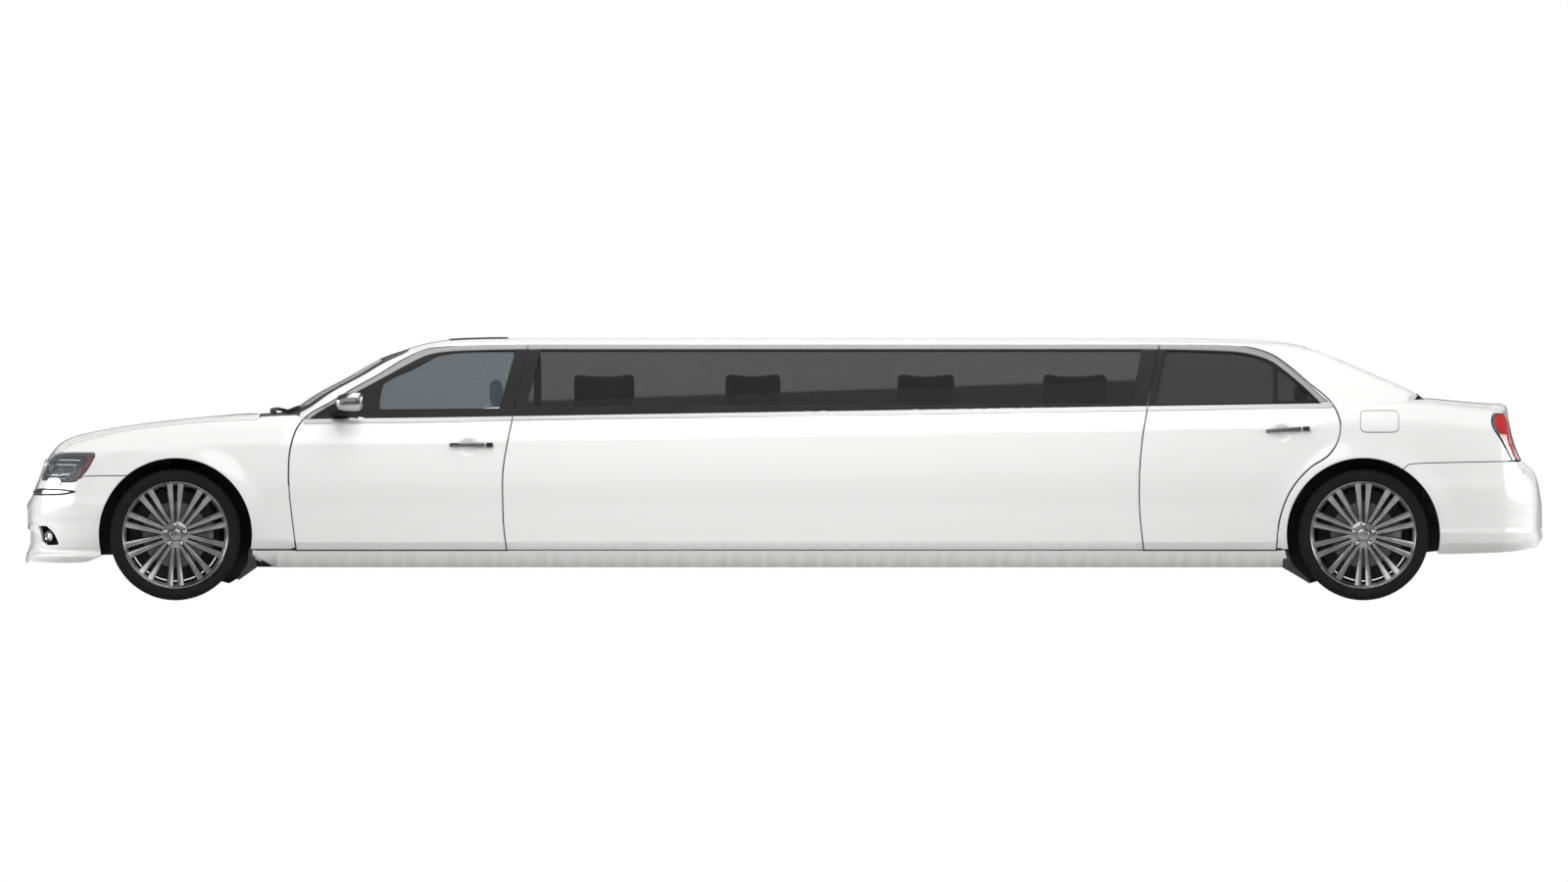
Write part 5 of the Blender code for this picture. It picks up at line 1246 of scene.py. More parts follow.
# solids turned, swept and repeated
def ringsMesh(rings, closed=False):
    # a shell through equal rings of points; closed joins the last ring to the first
    n, count, faces = len(rings[0]), len(rings), []
    for i in range(count if closed else count - 1):
        j = (i + 1) % count
        faces += [(i * n + k, i * n + (k + 1) % n, j * n + (k + 1) % n, j * n + k)
            for k in range(n)]
    if not closed:
        faces += [tuple(range(n)), tuple(range((count - 1) * n, count * n))]
    return [p for ring in rings for p in ring], faces


def revolve(profile, steps, axis="x", centre=(0, 0, 0)):
    # (radius, along) points turned about an axis; returns points, faces and UV places
    order = {"x": (2, 0, 1), "y": (0, 2, 1), "z": (0, 1, 2)}[axis]
    rings, uv = [], []
    for s in range(steps):
        a = 2 * math.pi * s / steps
        ring = [(r * math.cos(a), r * math.sin(a), t) for r, t in profile]
        rings.append([tuple(p[i] + c for i, c in zip(order, centre)) for p in ring])
        uv += [(r, s / steps) for r, t in profile]
    return *ringsMesh(rings, True), uv


def cleanMesh(name, verts, faces, sharp, bevel=0.0, uv=None):
    # a closed mesh, its doubles merged, its faces outwards and its hard edges kept crisp
    mesh = meshOf(name, verts, faces)
    if uv is not None:
        layer = mesh.uv_layers.new(name="UVMap")
        corner = np.zeros(len(mesh.loops), int)
        mesh.loops.foreach_get("vertex_index", corner)
        layer.data.foreach_set("uv", np.asarray(uv, float)[corner].ravel())
    work = bmesh.new()
    work.from_mesh(mesh)
    bmesh.ops.remove_doubles(work, verts=work.verts, dist=1e-6)
    bmesh.ops.recalc_face_normals(work, faces=work.faces)
    if bevel:
        edges = [e for e in work.edges if e.is_manifold and e.calc_face_angle(0) > 0.6]
        bmesh.ops.bevel(work, geom=edges, offset=bevel, segments=2, profile=0.6, affect="EDGES",
            clamp_overlap=True)
    for face in work.faces:
        face.smooth = True
    for edge in work.edges:
        edge.smooth = not (edge.is_manifold and edge.calc_face_angle(0) > sharp)
    work.to_mesh(mesh)
    work.free()
    return mesh


def solid(name, shape, material, body="body", slot=None, sharp=35, uv=False, bevel=0, twin=False,
        node=None, turned=None):
    # shape: points and faces, and from revolve a UV place for each point
    verts, faces = shape[:2]
    if turned:
        verts = [turned @ Vector(v) for v in verts]
    mesh = cleanMesh(name, verts, faces, math.radians(sharp), bevel, shape[2] if uv else None)
    return piece(name, mesh, material, body, slot, twin, node)


def blockMesh(x, y, z):
    verts = [(a, b, c) for a in x for b in y for c in z]
    faces = [(0, 1, 3, 2), (4, 6, 7, 5), (0, 4, 5, 1), (2, 3, 7, 6), (0, 2, 6, 4), (1, 5, 7, 3)]
    return verts, faces


def joined(*meshes):
    verts, faces = [], []
    for v, f in meshes:
        base = len(verts)
        verts += [tuple(p) for p in v]
        faces += [tuple(i + base for i in face) for face in f]
    return verts, faces


def plate(outline, low, high, axis="x"):  # an outline pulled along an axis
    order = {"x": (2, 0, 1), "y": (0, 2, 1), "z": (0, 1, 2)}[axis]
    verts, faces = ringsMesh([[tuple((u, v, w)[i] for i in order) for u, v in outline]
        for w in (low, high)])
    return verts, faces[-2:] + faces[:-2]


def sweep(path, section, ups=None, closedPath=False):
    # a closed section carried along a path; section points are (across, up)
    path = [Vector(p) for p in path]
    count, rings = len(path), []
    for i, p in enumerate(path):
        a = path[i - 1] if i or closedPath else p
        b = path[(i + 1) % count] if i < count - 1 or closedPath else p
        along = (b - a).normalized()
        up = Vector(ups[i]) if ups else Vector((0, 0, 1))
        across = along.cross(up).normalized()
        up = across.cross(along).normalized()
        rings.append([p + across * u + up * v for u, v in section])
    return ringsMesh(rings, closedPath)


def roundSection(radius, sides=10, squash=1.0):
    return [(radius * math.cos(2 * math.pi * k / sides), radius * squash
        * math.sin(2 * math.pi * k / sides)) for k in range(sides)]


# Geometry Nodes: pieces that repeat round an axis or along a line
class Tree:
    def __init__(self, name, inputs):
        self.group = bpy.data.node_groups.new(name, "GeometryNodeTree")
        face = self.group.interface
        face.new_socket("Geometry", in_out="OUTPUT", socket_type="NodeSocketGeometry")
        face.new_socket("Geometry", in_out="INPUT", socket_type="NodeSocketGeometry")
        self.ids = {}
        for label, kind, value in inputs:
            item = face.new_socket(label, in_out="INPUT", socket_type="NodeSocket" + kind)
            if value is not None:
                item.default_value = value
            self.ids[label] = item.identifier
        self.start = self.group.nodes.new("NodeGroupInput")
        self.end = self.group.nodes.new("NodeGroupOutput")

    def add(self, kind, settings=None, inputs=None, out=0):
        prefix = "" if kind.startswith("Function") or kind.startswith("Shader") else "GeometryNode"
        node = self.group.nodes.new(prefix + kind)
        for key, value in (settings or {}).items():
            setattr(node, key, value)
        for key, value in (inputs or {}).items():
            if hasattr(value, "links"):
                self.group.links.new(value, node.inputs[key])
            else:
                node.inputs[key].default_value = value
        return node.outputs[out]

    def value(self, label):
        return self.start.outputs[label]

    def finish(self, geometry, material):
        real = self.add("RealizeInstances", inputs={0: geometry})
        done = self.add("SetMaterial", inputs={0: real, "Material": material})
        self.group.links.new(done, self.end.inputs[0])
        return self


def grown(tree, name, seed, values, finish, body="body"):
    # runs a tree on a seed mesh and keeps the result as a plain mesh
    mesh = cleanMesh(name + "Seed", seed[0], seed[1], 0.6)
    obj = bpy.data.objects.new(name, mesh)
    bpy.context.scene.collection.objects.link(obj)
    step = obj.modifiers.new("repeat", "NODES")
    step.node_group = tree.group
    for label, value in values.items():
        step[tree.ids[label]] = value
    bpy.context.view_layer.update()
    graph = bpy.context.evaluated_depsgraph_get()
    result = bpy.data.meshes.new_from_object(obj.evaluated_get(graph))
    bpy.data.objects.remove(obj)
    bpy.data.meshes.remove(mesh)
    piece(name, result, finish, body)


def roundTree(name, material):          # copies of the seed turned about the X axis
    tree = Tree(name,
        [("Count", "Int", 10), ("Centre", "Vector", None), ("First Angle", "Float", 0.0)])
    points = tree.add("Points", inputs={0: tree.value("Count")})
    index = tree.add("InputIndex")
    share = tree.add("ShaderNodeMath", {"operation": "DIVIDE"}, {0: index, 1: tree.value("Count")})
    angle = tree.add("ShaderNodeMath", {"operation": "MULTIPLY_ADD"},
        {0: share, 1: 2 * math.pi, 2: tree.value("First Angle")})
    turn = tree.add("ShaderNodeCombineXYZ", inputs={0: angle})
    copies = tree.add("InstanceOnPoints",
        inputs={0: points, "Instance": tree.start.outputs[0], "Rotation": turn})
    placed = tree.add("TranslateInstances",
        inputs={0: copies, "Translation": tree.value("Centre"), "Local Space": False})
    return tree.finish(placed, material)


def rowTree(name, material):            # copies of the seed in a straight row
    tree = Tree(name, [("Count", "Int", 10), ("Start", "Vector", None), ("Step", "Vector", None)])
    line = tree.add("MeshLine", {"mode": "OFFSET"},
        {"Count": tree.value("Count"), "Start Location": tree.value("Start"),
        "Offset": tree.value("Step")})
    copies = tree.add("InstanceOnPoints", inputs={0: line, "Instance": tree.start.outputs[0]})
    return tree.finish(copies, material)


# wheels
wheel = {"rimRadius": 0.297, "barrelInner": 0.272, "width": 0.215, "spokePairs": 10,
    "spokeRoot": 0.064, "spokeReach": 0.288, "pairWidthRim": 0.102, "pairWidthHub": 0.046,
    "slotRim": 0.022, "slotHub": 0.005, "faceOut": 0.086, "dish": 0.03, "spokeDepth": 0.024,
    "hubRadius": 0.078, "capRadius": 0.034, "boltCircle": 0.0575, "boltCount": 5,
    "discRadius": 0.182, "discAt": -0.0025, "discWidth": 0.026, "treadBlocks": 72, "ventCount": 36,
    "sharp": {"wheel_alloy": 40, "disc_steel": 30, "tyre_rubber": 40},
    "shield": [(0.055, -0.03), (0.19, -0.026), (0.25, -0.026), (0.255, -0.02), (0.25, -0.0285),
    (0.19, -0.0285), (0.055, -0.0325)],}
corners = (             # label, node ending, side, axle and what carries the dust shield
    ("frontLeft", "front_left", 1, frontAxle, "knuckle_left"),
    ("frontRight", "front_right", -1, frontAxle, "knuckle_right"),
    ("rearLeft", "rear_left", 1, rearAxle, "body"),
    ("rearRight", "rear_right", -1, rearAxle, "body"),
)


def spokeSeed(side):
    # one twin spoke pair pointing up, hollow between; sections from hub to rim
    w = wheel
    rows, soft = 9, 0.0035
    halves = []
    for sign in (1, -1):
        rings = []
        for k in range(rows):
            t = k / (rows - 1)
            r = w["spokeRoot"] + (w["spokeReach"] - w["spokeRoot"]) * t
            outer = (w["pairWidthHub"] + (w["pairWidthRim"] - w["pairWidthHub"]) * t) / 2
            inner = (w["slotHub"] + (w["slotRim"] - w["slotHub"]) * t ** 0.8) / 2
            face = w["faceOut"] + w["dish"] * (t ** 1.6 - 0.55) - 0.006 * math.sin(math.pi * t)
            back = face - w["spokeDepth"] - 0.012 * (1 - t)
            ring = [(inner, back), (outer, back), (outer + 0.001, face - soft * 1.6),
                (outer - soft, face), ((outer + inner) / 2, face + 0.0022), (inner + soft, face),
                (inner - 0.0005, face - soft * 1.6)]
            rings.append([(side * along, sign * u, r) for u, along in ring])
        halves.append(ringsMesh(rings))
    return joined(*halves)


def tyreProfile():
    # tread with four grooves; sidewall with a rim guard and a fine bead line
    r, half = tyreRadius, (frontTyre[1].x - frontTyre[0].x) / 2
    rim = wheel["rimRadius"]
    shoulder = [(r - 0.0135, half - 0.004), (r - 0.006, half - 0.012), (r - 0.0022, half - 0.022)]
    tread = list(shoulder)
    for centre in (0.068, 0.026, -0.026, -0.068):
        tread += [(r, centre + 0.0065), (r - 0.0075, centre + 0.0045),
            (r - 0.0075, centre - 0.0045), (r, centre - 0.0065)]
    tread += [(a, -b) for a, b in reversed(shoulder)]
    wall = [(r - 0.03, half), (r - 0.04, half + 0.0005), (rim + 0.02, half - 0.001),
        (rim + 0.0165, half - 0.0025), (rim + 0.013, half - 0.001), (rim + 0.006, half - 0.003),
        (rim + 0.0005, half - 0.01), (rim + 0.0004, half - 0.02)]
    return [(a, -b) for a, b in reversed(wall)] + tread[::-1] + wall


def makeWheels():
    w = wheel
    trees = {key: roundTree(key + "Round", finishes[key])
        for key in ("wheel_alloy", "chrome", "gloss_black", "disc_steel", "tyre_rubber")}
    half, ri, rb = w["width"] / 2, w["rimRadius"], w["barrelInner"]
    barrel = [(ri - 0.0003, half - 0.006), (ri - 0.0008, half), (ri - 0.004, half + 0.001),
        (ri - 0.009, half - 0.003), (ri - 0.013, half - 0.01), (rb + 0.004, half - 0.016),
        (rb, half - 0.024), (rb - 0.002, half - 0.05), (rb - 0.012, 0.0),
        (rb - 0.004, 0.01 - half), (ri - 0.006, -half), (ri - 0.0003, -half)]
    face, rh, rc = w["faceOut"] - w["dish"] * 0.55, w["hubRadius"], w["capRadius"]
    hub = [(0.0002, face - 0.07), (rh - 0.012, face - 0.07), (rh, face - 0.03), (rh, face - 0.006),
        (rh - 0.004, face + 0.001), (0.072, face + 0.0025), (0.05, face + 0.004),
        (rc + 0.003, face + 0.005), (rc + 0.001, face + 0.003), (rc, face + 0.0055),
        (0.03, face + 0.0085), (0.018, face + 0.0105), (0.0002, face + 0.0112)]
    nut = [(0.0002, face - 0.004), (0.0115, face - 0.004), (0.0115, face + 0.006),
        (0.0098, face + 0.007), (0.009, face + 0.012), (0.0055, face + 0.0145),
        (0.0002, face + 0.015)]
    well = [(0.0112, face - 0.004), (0.0158, face - 0.004), (0.0158, face + 0.0048),
        (0.0112, face + 0.0052)]
    rd, at, far = w["discRadius"], w["discAt"], w["discWidth"] / 2
    discA, discB = ([(0.082, at + low), (rd, at + low), (rd, at + high), (0.082, at + high)]
        for low, high in ((-far, -0.006), (0.006, far)))
    bell = [(0.06, at - 0.01), (0.083, at - 0.01), (0.083, at + 0.03), (0.078, at + 0.034),
        (0.0004, at + 0.034), (0.0004, at + 0.028), (0.06, at + 0.026)]
    valve = [(0.0002, 0.088), (0.004, 0.088), (0.0038, 0.108), (0.0002, 0.109)]
    r = tyreRadius
    blocks = [(0.0058, 0.005, 0.0072, 0.0003, span)
        for span in ((0.0212, 0.0303), (-0.0303, -0.0212), (0.0633, 0.0722), (-0.0722, -0.0633))]
    blocks += [(0.0085, 0.0075, 0.0165, 0.004, span) for span in ((0.1, 0.1205), (-0.1205, -0.1))]
    tread = joined(
        *[plate([(-low, r - deep), (low, r - deep), (top, r - sunk), (-top, r - sunk)], *span)
        for low, top, deep, sunk, span in blocks])
    for label, node, side, axle, carrier in corners:
        centre, body = (side * wheelX, axle, r), "wheel_" + node

        def turned(profile, steps, middle=centre):
            return revolve([(a, side * b) for a, b in profile], steps, "x", middle)

        bolt = (0, 0, w["boltCircle"])
        vent = blockMesh((side * (at - 0.006), side * (at + 0.006)), (-0.0025, 0.0025),
            (0.086, rd - 0.002))
        valveAt = (side * wheelX, axle - 0.079, r + 0.243)
        for part, finish, shape, count, stands in (("Rim", "wheel_alloy", turned(barrel, 96), 1,
                "rim_" + node), ("Spokes", "wheel_alloy", spokeSeed(side), w["spokePairs"], None),
                ("Hub", "wheel_alloy", turned(hub, 64), 1, None),
                ("NutWells", "gloss_black", turned(well, 24, bolt), w["boltCount"], None),
                ("WheelNuts", "chrome", turned(nut, 12, bolt), w["boltCount"], None),
                ("DiscA", "disc_steel", turned(discA, 72), 1, None),
                ("DiscB", "disc_steel", turned(discB, 72), 1, None),
                ("DiscVents", "disc_steel", vent, w["ventCount"], None),
                ("DiscBell", "dull_steel", turned(bell, 48), 1, None),
                ("Tyre", "tyre_rubber", turned(tyreProfile(), 120), 1, "tyre_" + node),
                ("Tread", "tyre_rubber", tread, w["treadBlocks"], None),
                ("Valve", "black_plastic", turned(valve, 10, valveAt), 1, None)):
            if count > 1:
                first = 0.02 if part == "Tread" else 0.0
                grown(trees[finish], label + part, shape,
                    {"Count": count, "Centre": centre, "First Angle": first}, finish, body)
            else:
                solid(label + part, shape, finish, body, sharp=w["sharp"].get(finish, 35),
                    uv=finish == "disc_steel", node=stands)
    for label, node, side, axle, carrier in corners:
        shield = [(a, side * b) for a, b in w["shield"]]
        solid(label + "DustShield", revolve(shield, 72, "x", (side * wheelX, axle, r)),
            "shield_steel", carrier)


makeWheels()
print("wheels made")

# trim on doors and sides
trim = {
    "beltFront": 0.9929,      # top of the bright belt strip at the front axle
    "beltRise": 0.0158,       # its rise for each metre to the rear
    "beltHigh": 0.026, "proud": 0.008, "rows": ((0, -0.7), (0.02, 0.55), (0.12, 0.95),
                                                (0.35, 1.0), (0.75, 0.75), (0.95, 0.45),
                                                (1, -0.7)),   # across, and how proud
    "frontOuter": fromFront([(0.716, 1.006), (0.875, 1.105), (0.972, 1.164), (1.137, 1.256),
                             (1.283, 1.344), (1.401, 1.393), (1.527, 1.407), (1.72, 1.417),
                             (1.9615, 1.421)]),
    "frontInner": fromFront([(0.742, 1.006), (0.842, 1.068), (1.021, 1.163), (1.177, 1.246),
                             (1.293, 1.309), (1.401, 1.36), (1.478, 1.377), (1.575, 1.385),
                             (1.898, 1.393), (1.956, 1.394)]),
    "longOuter": [(front(1.967), 1.421), (rear(-1.136), 1.421)],
    "longInner": [(front(1.961), 1.394), (rear(-1.142), 1.394)],
    "rearOuter": fromRear([(-1.129, 1.421), (-0.9, 1.418), (-0.686, 1.41), (-0.608, 1.397),
                           (-0.516, 1.365), (-0.422, 1.303), (-0.314, 1.209), (-0.192, 1.104)]),
    "rearInner": fromRear([(-1.1345, 1.394), (-0.843, 1.387), (-0.686, 1.377), (-0.608, 1.362),
                           (-0.514, 1.328), (-0.436, 1.273), (-0.342, 1.195), (-0.24, 1.1)]),
}


def beltTop(y):
    return trim["beltFront"] + trim["beltRise"] * (y - frontAxle)


def bright(name, outer, inner, body, material="satin_trim"):
    # a strip laid between two lines, crowned across
    count = max(4, int(math.dist(outer[0], outer[-1]) / 0.03))
    rings = []
    for a, b in zip(line(outer, count=count), line(inner, count=count)):
        ring = []
        for across, lift in trim["rows"]:
            spotAt, normal = onBody("side", a[0] + (b[0] - a[0]) * across, a[1] + (b[1] - a[1])
                * across)
            ring.append(spotAt + normal * lift * trim["proud"])
        rings.append(ring)
    solid(name + "Left", ringsMesh(rings), material, body, sharp=30, twin=True)


def beltLine(start, end, low):
    return [(y, beltTop(y) - low) for y in np.linspace(start, end, 12)]


glassEdge = {"front": fromFront([(1.135, 1.062), (1.143, 1.15), (1.16, 1.205), (1.215, 1.24),
    (1.3, 1.275), (1.403, 1.329), (1.463, 1.36), (1.543, 1.374), (1.892, 1.384), (1.803, 1.068)]),
    "long": [(front(1.948), 1.072), (front(2.034), 1.386), (rear(-1.234), 1.386),
    (rear(-1.292), 1.094)],
    "rearMain": fromRear([(-1.098, 1.385), (-0.843, 1.379), (-0.686, 1.369), (-0.61, 1.353),
    (-0.53, 1.322), (-0.503, 1.302), (-0.503, 1.1), (-1.156, 1.092)]),
    "rearSmall": fromRear([(-0.478, 1.288), (-0.444, 1.262), (-0.352, 1.186), (-0.272, 1.112),
    (-0.478, 1.104)]),}


def makeWindowTrim():
    table = (("front", front(0.712), front(1.8715), "front_door_left"),
        ("long", front(1.878), rear(-1.2055), "body"),
        ("rear", rear(-1.199), rear(-0.172), "rear_door_left"))
    for name, start, end, body in table:
        bright(name + "TopStrip", trim[name + "Outer"], trim[name + "Inner"], body)
    for name, start, end, body in table:
        bright(name + "BeltStrip", beltLine(start, end, 0.0),
            beltLine(start, end, trim["beltHigh"]), body, "belt_trim")

    # gloss black surrounds between the strips, with the glass openings left free
    low = 0.001
    frontRound = ([(y, beltTop(y) + low) for y in np.linspace(front(0.744), front(1.874), 8)]
        + [(front(1.9575), 1.392)] + trim["frontInner"][::-1])
    longRound = ([(y, beltTop(y) + low) for y in np.linspace(front(1.877), rear(-1.203), 12)]
        + [(rear(-1.1395), 1.3935), (front(1.9605), 1.3935)])
    rearRound = ([(y, beltTop(y) + low) for y in np.linspace(rear(-1.1995), rear(-0.235), 8)]
        + trim["rearInner"][::-1])
    table = (("frontSurround", frontRound, ("front",), "front_door_left"),
        ("longSurround", longRound, ("long",), "body"),
        ("rearSurround", rearRound, ("rearMain", "rearSmall"), "rear_door_left"))
    for name, loop, holes, body in table:
        panel(name + "Left", grow(smoothLoop(loop, step=0.03), -0.0005), depth=0.007,
            grid=(0.08, 0.02), inset=-0.0032, body=body, material="gloss_black",
            holes=[smoothLoop(glassEdge[h], step=0.03, radius=0.012) for h in holes], twin=True)


handleBar = {"high": 0.026, "thick": 0.013, "stand": 0.021,
    "frontDoor": (front(1.519), front(1.77), 0.862, 0.0),
    "rearDoor": (rear(-0.546), rear(-0.295), 0.94, 0.012)}


def makeHandles():
    h = handleBar
    for name, node in (("frontDoor", "front_door"), ("rearDoor", "rear_door")):
        start, end, z, rise = h[name]
        length = end - start
        shares = (0.02, 0.03, 0.1, 0.3, 0.5, 0.7, 0.8)
        lifts = (-0.012, 0.6, 0.92, 1.0, 1.0, 0.98, 0.94)
        widths = (0.6, 0.7, 0.84, 0.92, 0.96, 1.0, 1.0)
        rings = []
        for share, lift, width in zip(shares, lifts, widths):
            base, normal = onBody("side", start + length * share, z + rise * share, "lower")
            at = base + normal * h["stand"] * lift
            ring = []
            for u, v in roundSection(1.0, 12):
                u, v = math.copysign(abs(u) ** 0.6, u), math.copysign(abs(v) ** 0.6, v)
                ring.append(at + normal * (u * h["thick"] / 2)
                    + Vector((0, 0, v * h["high"] * width / 2)))
            rings.append(ring)
        solid(name + "HandleLeft", ringsMesh(rings), "smoked_chrome", node + "_left", twin=True)
        base, normal = onBody("side", start + length * 0.91, z + rise, "lower")
        rings = []
        for lift, size in ((-0.004, 1.0), (0.8, 1.0), (1.1, 0.94), (1.22, 0.8)):
            at = base + normal * h["stand"] * lift
            rings.append([at + Vector((0, u * length * 0.088 * size, v * h["high"] * 0.5 * size))
                for u, v in squareSection(4)])
        solid(name + "HandleEndLeft", ringsMesh(rings), "smoked_chrome", node + "_left", twin=True)


def squareSection(power=4, sides=24, wide=1.0, high=1.0):  # a rounded square; half sizes
    out = []
    for k in range(sides):
        a = 2 * math.pi * (k + 0.5) / sides
        c, s = math.cos(a), math.sin(a)
        out.append((math.copysign(abs(c) ** (2 / power), c) * wide,
            math.copysign(abs(s) ** (2 / power), s) * high))
    return out


mirrorShape = {"middle": (front(0.97), 1.103), "flat": 0.064,
    "rings": ((0.906, 0.3, 0.3), (0.911, 0.62, 0.62), (0.925, 0.84, 0.84), (0.955, 0.97, 0.96),
    (1.0, 1.0, 1.0), (1.035, 0.96, 0.97), (1.052, 0.86, 0.88), (1.061, 0.68, 0.72),
    (1.064, 0.42, 0.46)), "halfDeep": 0.0785, "halfHigh": 0.052,}


def makeMirrors():
    m = mirrorShape
    cy, cz = m["middle"]
    rings = []
    for x, deep, high in m["rings"]:
        ring = []
        for u, v in squareSection(3.2, 32):
            y = u * m["halfDeep"] * deep
            z = v * m["halfHigh"] * high * (1.0 + 0.1 * u)
            crease = 0.004 * math.exp(-((v - 0.1) / 0.25) ** 2) if u < 0 else 0
            ring.append(Vector((x, cy + min(y, m["flat"]) - crease, cz + z + 0.004 * u)))
        rings.append(ring)
    solid("mirrorShellLeft", ringsMesh(rings), "chrome", "front_door_left", sharp=50, twin=True,
        node="mirror_left")
    frameRing, glassRing = [], []
    for target, size, back in ((frameRing, 1.0, 0.0), (glassRing, 0.86, 0.0016)):
        for y in (m["flat"] - 0.003, m["flat"] + 0.0035 + back):
            target.append([Vector((0.987 + u * 0.066 * size, cy + y, cz + v * 0.043 * size)) for u,
                v in squareSection(3.4, 28)])
    solid("mirrorFrameLeft", ringsMesh(frameRing), "black_plastic", "front_door_left", twin=True)
    solid("mirrorPaneLeft", ringsMesh(glassRing), "mirror_glass", "front_door_left", twin=True)
    path = [(0.85, front(0.905), 1.03), (0.88, front(0.92), 1.034), (0.91, front(0.938), 1.044),
        (0.93, front(0.95), 1.062), (0.945, front(0.955), 1.085)]
    solid("mirrorFootLeft",
        sweep(path, squareSection(3, 20, 0.042, 0.013), ups=[(-0.2, 0, 1)] * 5), "gloss_black",
        "front_door_left", twin=True)


wiper = {"frame": 0.01, "blade": ((0.66, 1.062), (0.36, 1.036), (0.05, 1.03)),
    "other": ((0.02, 1.03), (-0.28, 1.034), (-0.58, 1.052))}


def makeScreenBase():
    # black cowl at the foot of the windscreen
    loop = bothWays([(0.0, front(0.466)), (0.4, front(0.467)), (0.835, front(0.47)),
        (0.842, front(0.6)), (0.8, front(0.665)), (0.735, front(0.7)), (0.7, front(0.69)),
        (0.5, front(0.65)), (0.0, front(0.6))])
    panel("cowl", smoothLoop(loop, step=0.03), "top", depth=0.012, grid=(0.05, 0.02), inset=0.004,
        material="black_plastic")
    for index, track in enumerate((wiper["blade"], wiper["other"])):
        points, ups = [], []
        for x, z in line(track, 0.05):
            at, normal = onBody("front", x, z, "upper")
            points.append(at + normal * 0.012)
            ups.append(normal)
        solid("wiperBlade" + "AB"[index],
            sweep(points,
            [(-0.004, -0.01), (0.004, -0.01), (0.009, 0.0), (0.006, 0.012), (-0.006, 0.012),
            (-0.009, 0.0)], ups), "black_plastic")
        pivot = onBody("top", track[0][0] - 0.02, front(0.545))[0]
        tip = points[len(points) // 2]
        middle = (pivot + tip) / 2 + Vector((0, -0.015, 0.022))
        solid("wiperArm" + "AB"[index],
            sweep([pivot - Vector((0, 0, 0.01)), pivot + Vector((0, 0, 0.018)), middle,
            tip + Vector((0, -0.002, 0.012))], squareSection(3, 12, 0.01, 0.005),
            ups=[(0, -1, 0.2), (0, -0.6, 1), (0, -0.5, 1), (0, -0.5, 1)]), "black_plastic")
        solid("wiperPivot" + "AB"[index],
            revolve([(0.0002, -0.02), (0.018, -0.02), (0.018, 0.016), (0.012, 0.022),
            (0.0002, 0.023)], 20, "z", pivot), "black_plastic")


def makeScreenEdges():
    # the black printed edge of each screen, just outside the glass
    for name, half, view, wide in (("windscreenEdge", screenHalf, "front", 0.056),
            ("rearGlassEdge", backHalf, "back", 0.022)):
        loop = smoothLoop(bothWays(half), step=0.03)
        panel(name, grow(loop, 0.01), view, depth=0.006, grid=(0.1, 0.05),
            holes=[grow(loop, -wide)], inset=0.0022, material="rubber_seal", only="upper",
            round=False)


def makeRoofTrim():
    loop = bothWays([(0.0, front(1.525)), (0.33, front(1.535)), (0.35, front(1.6)),
        (0.35, front(1.82)), (0.33, front(1.848)), (0.0, front(1.85))])
    panel("sunroofPane", smoothLoop(loop, step=0.03, radius=0.03), "top", depth=0.007,
        grid=(0.05, 0.05), inset=-0.006, material="gloss_black", slot="dark_glass")
    panel("sunroofSeal", grow(smoothLoop(loop, step=0.03, radius=0.03), 0.01), "top", depth=0.004,
        grid=(0.05, 0.05), inset=-0.001, material="rubber_seal")


makeWindowTrim()
makeHandles()
makeMirrors()
makeScreenBase()
makeScreenEdges()
makeRoofTrim()
print("window strips, handles and mirrors made")

# lamps, grille and front and rear trim
lamp = {"bucket": 0.05, "lens": 0.004,
    "marker": fromFront([(-0.488, 0.817), (-0.457, 0.819), (-0.45, 0.808), (-0.497, 0.724),
    (-0.548, 0.672), (-0.558, 0.67), (-0.536, 0.712), (-0.5, 0.77)]),
    "ribs": ((0.676, 0.006), (0.7, 0.008), (0.762, 0.006), (0.79, 0.009)),
    "round": ((0.56, 0.748, 0.034), (0.655, 0.744, 0.034)),}


def ringPlate(name, loop, width, view, depth, inset, material, grid=(0.03, 0.02), twin=True):
    panel(name, loop, view, depth=depth, grid=grid, holes=[grow(loop, -width)], inset=inset,
        material=material, twin=twin)


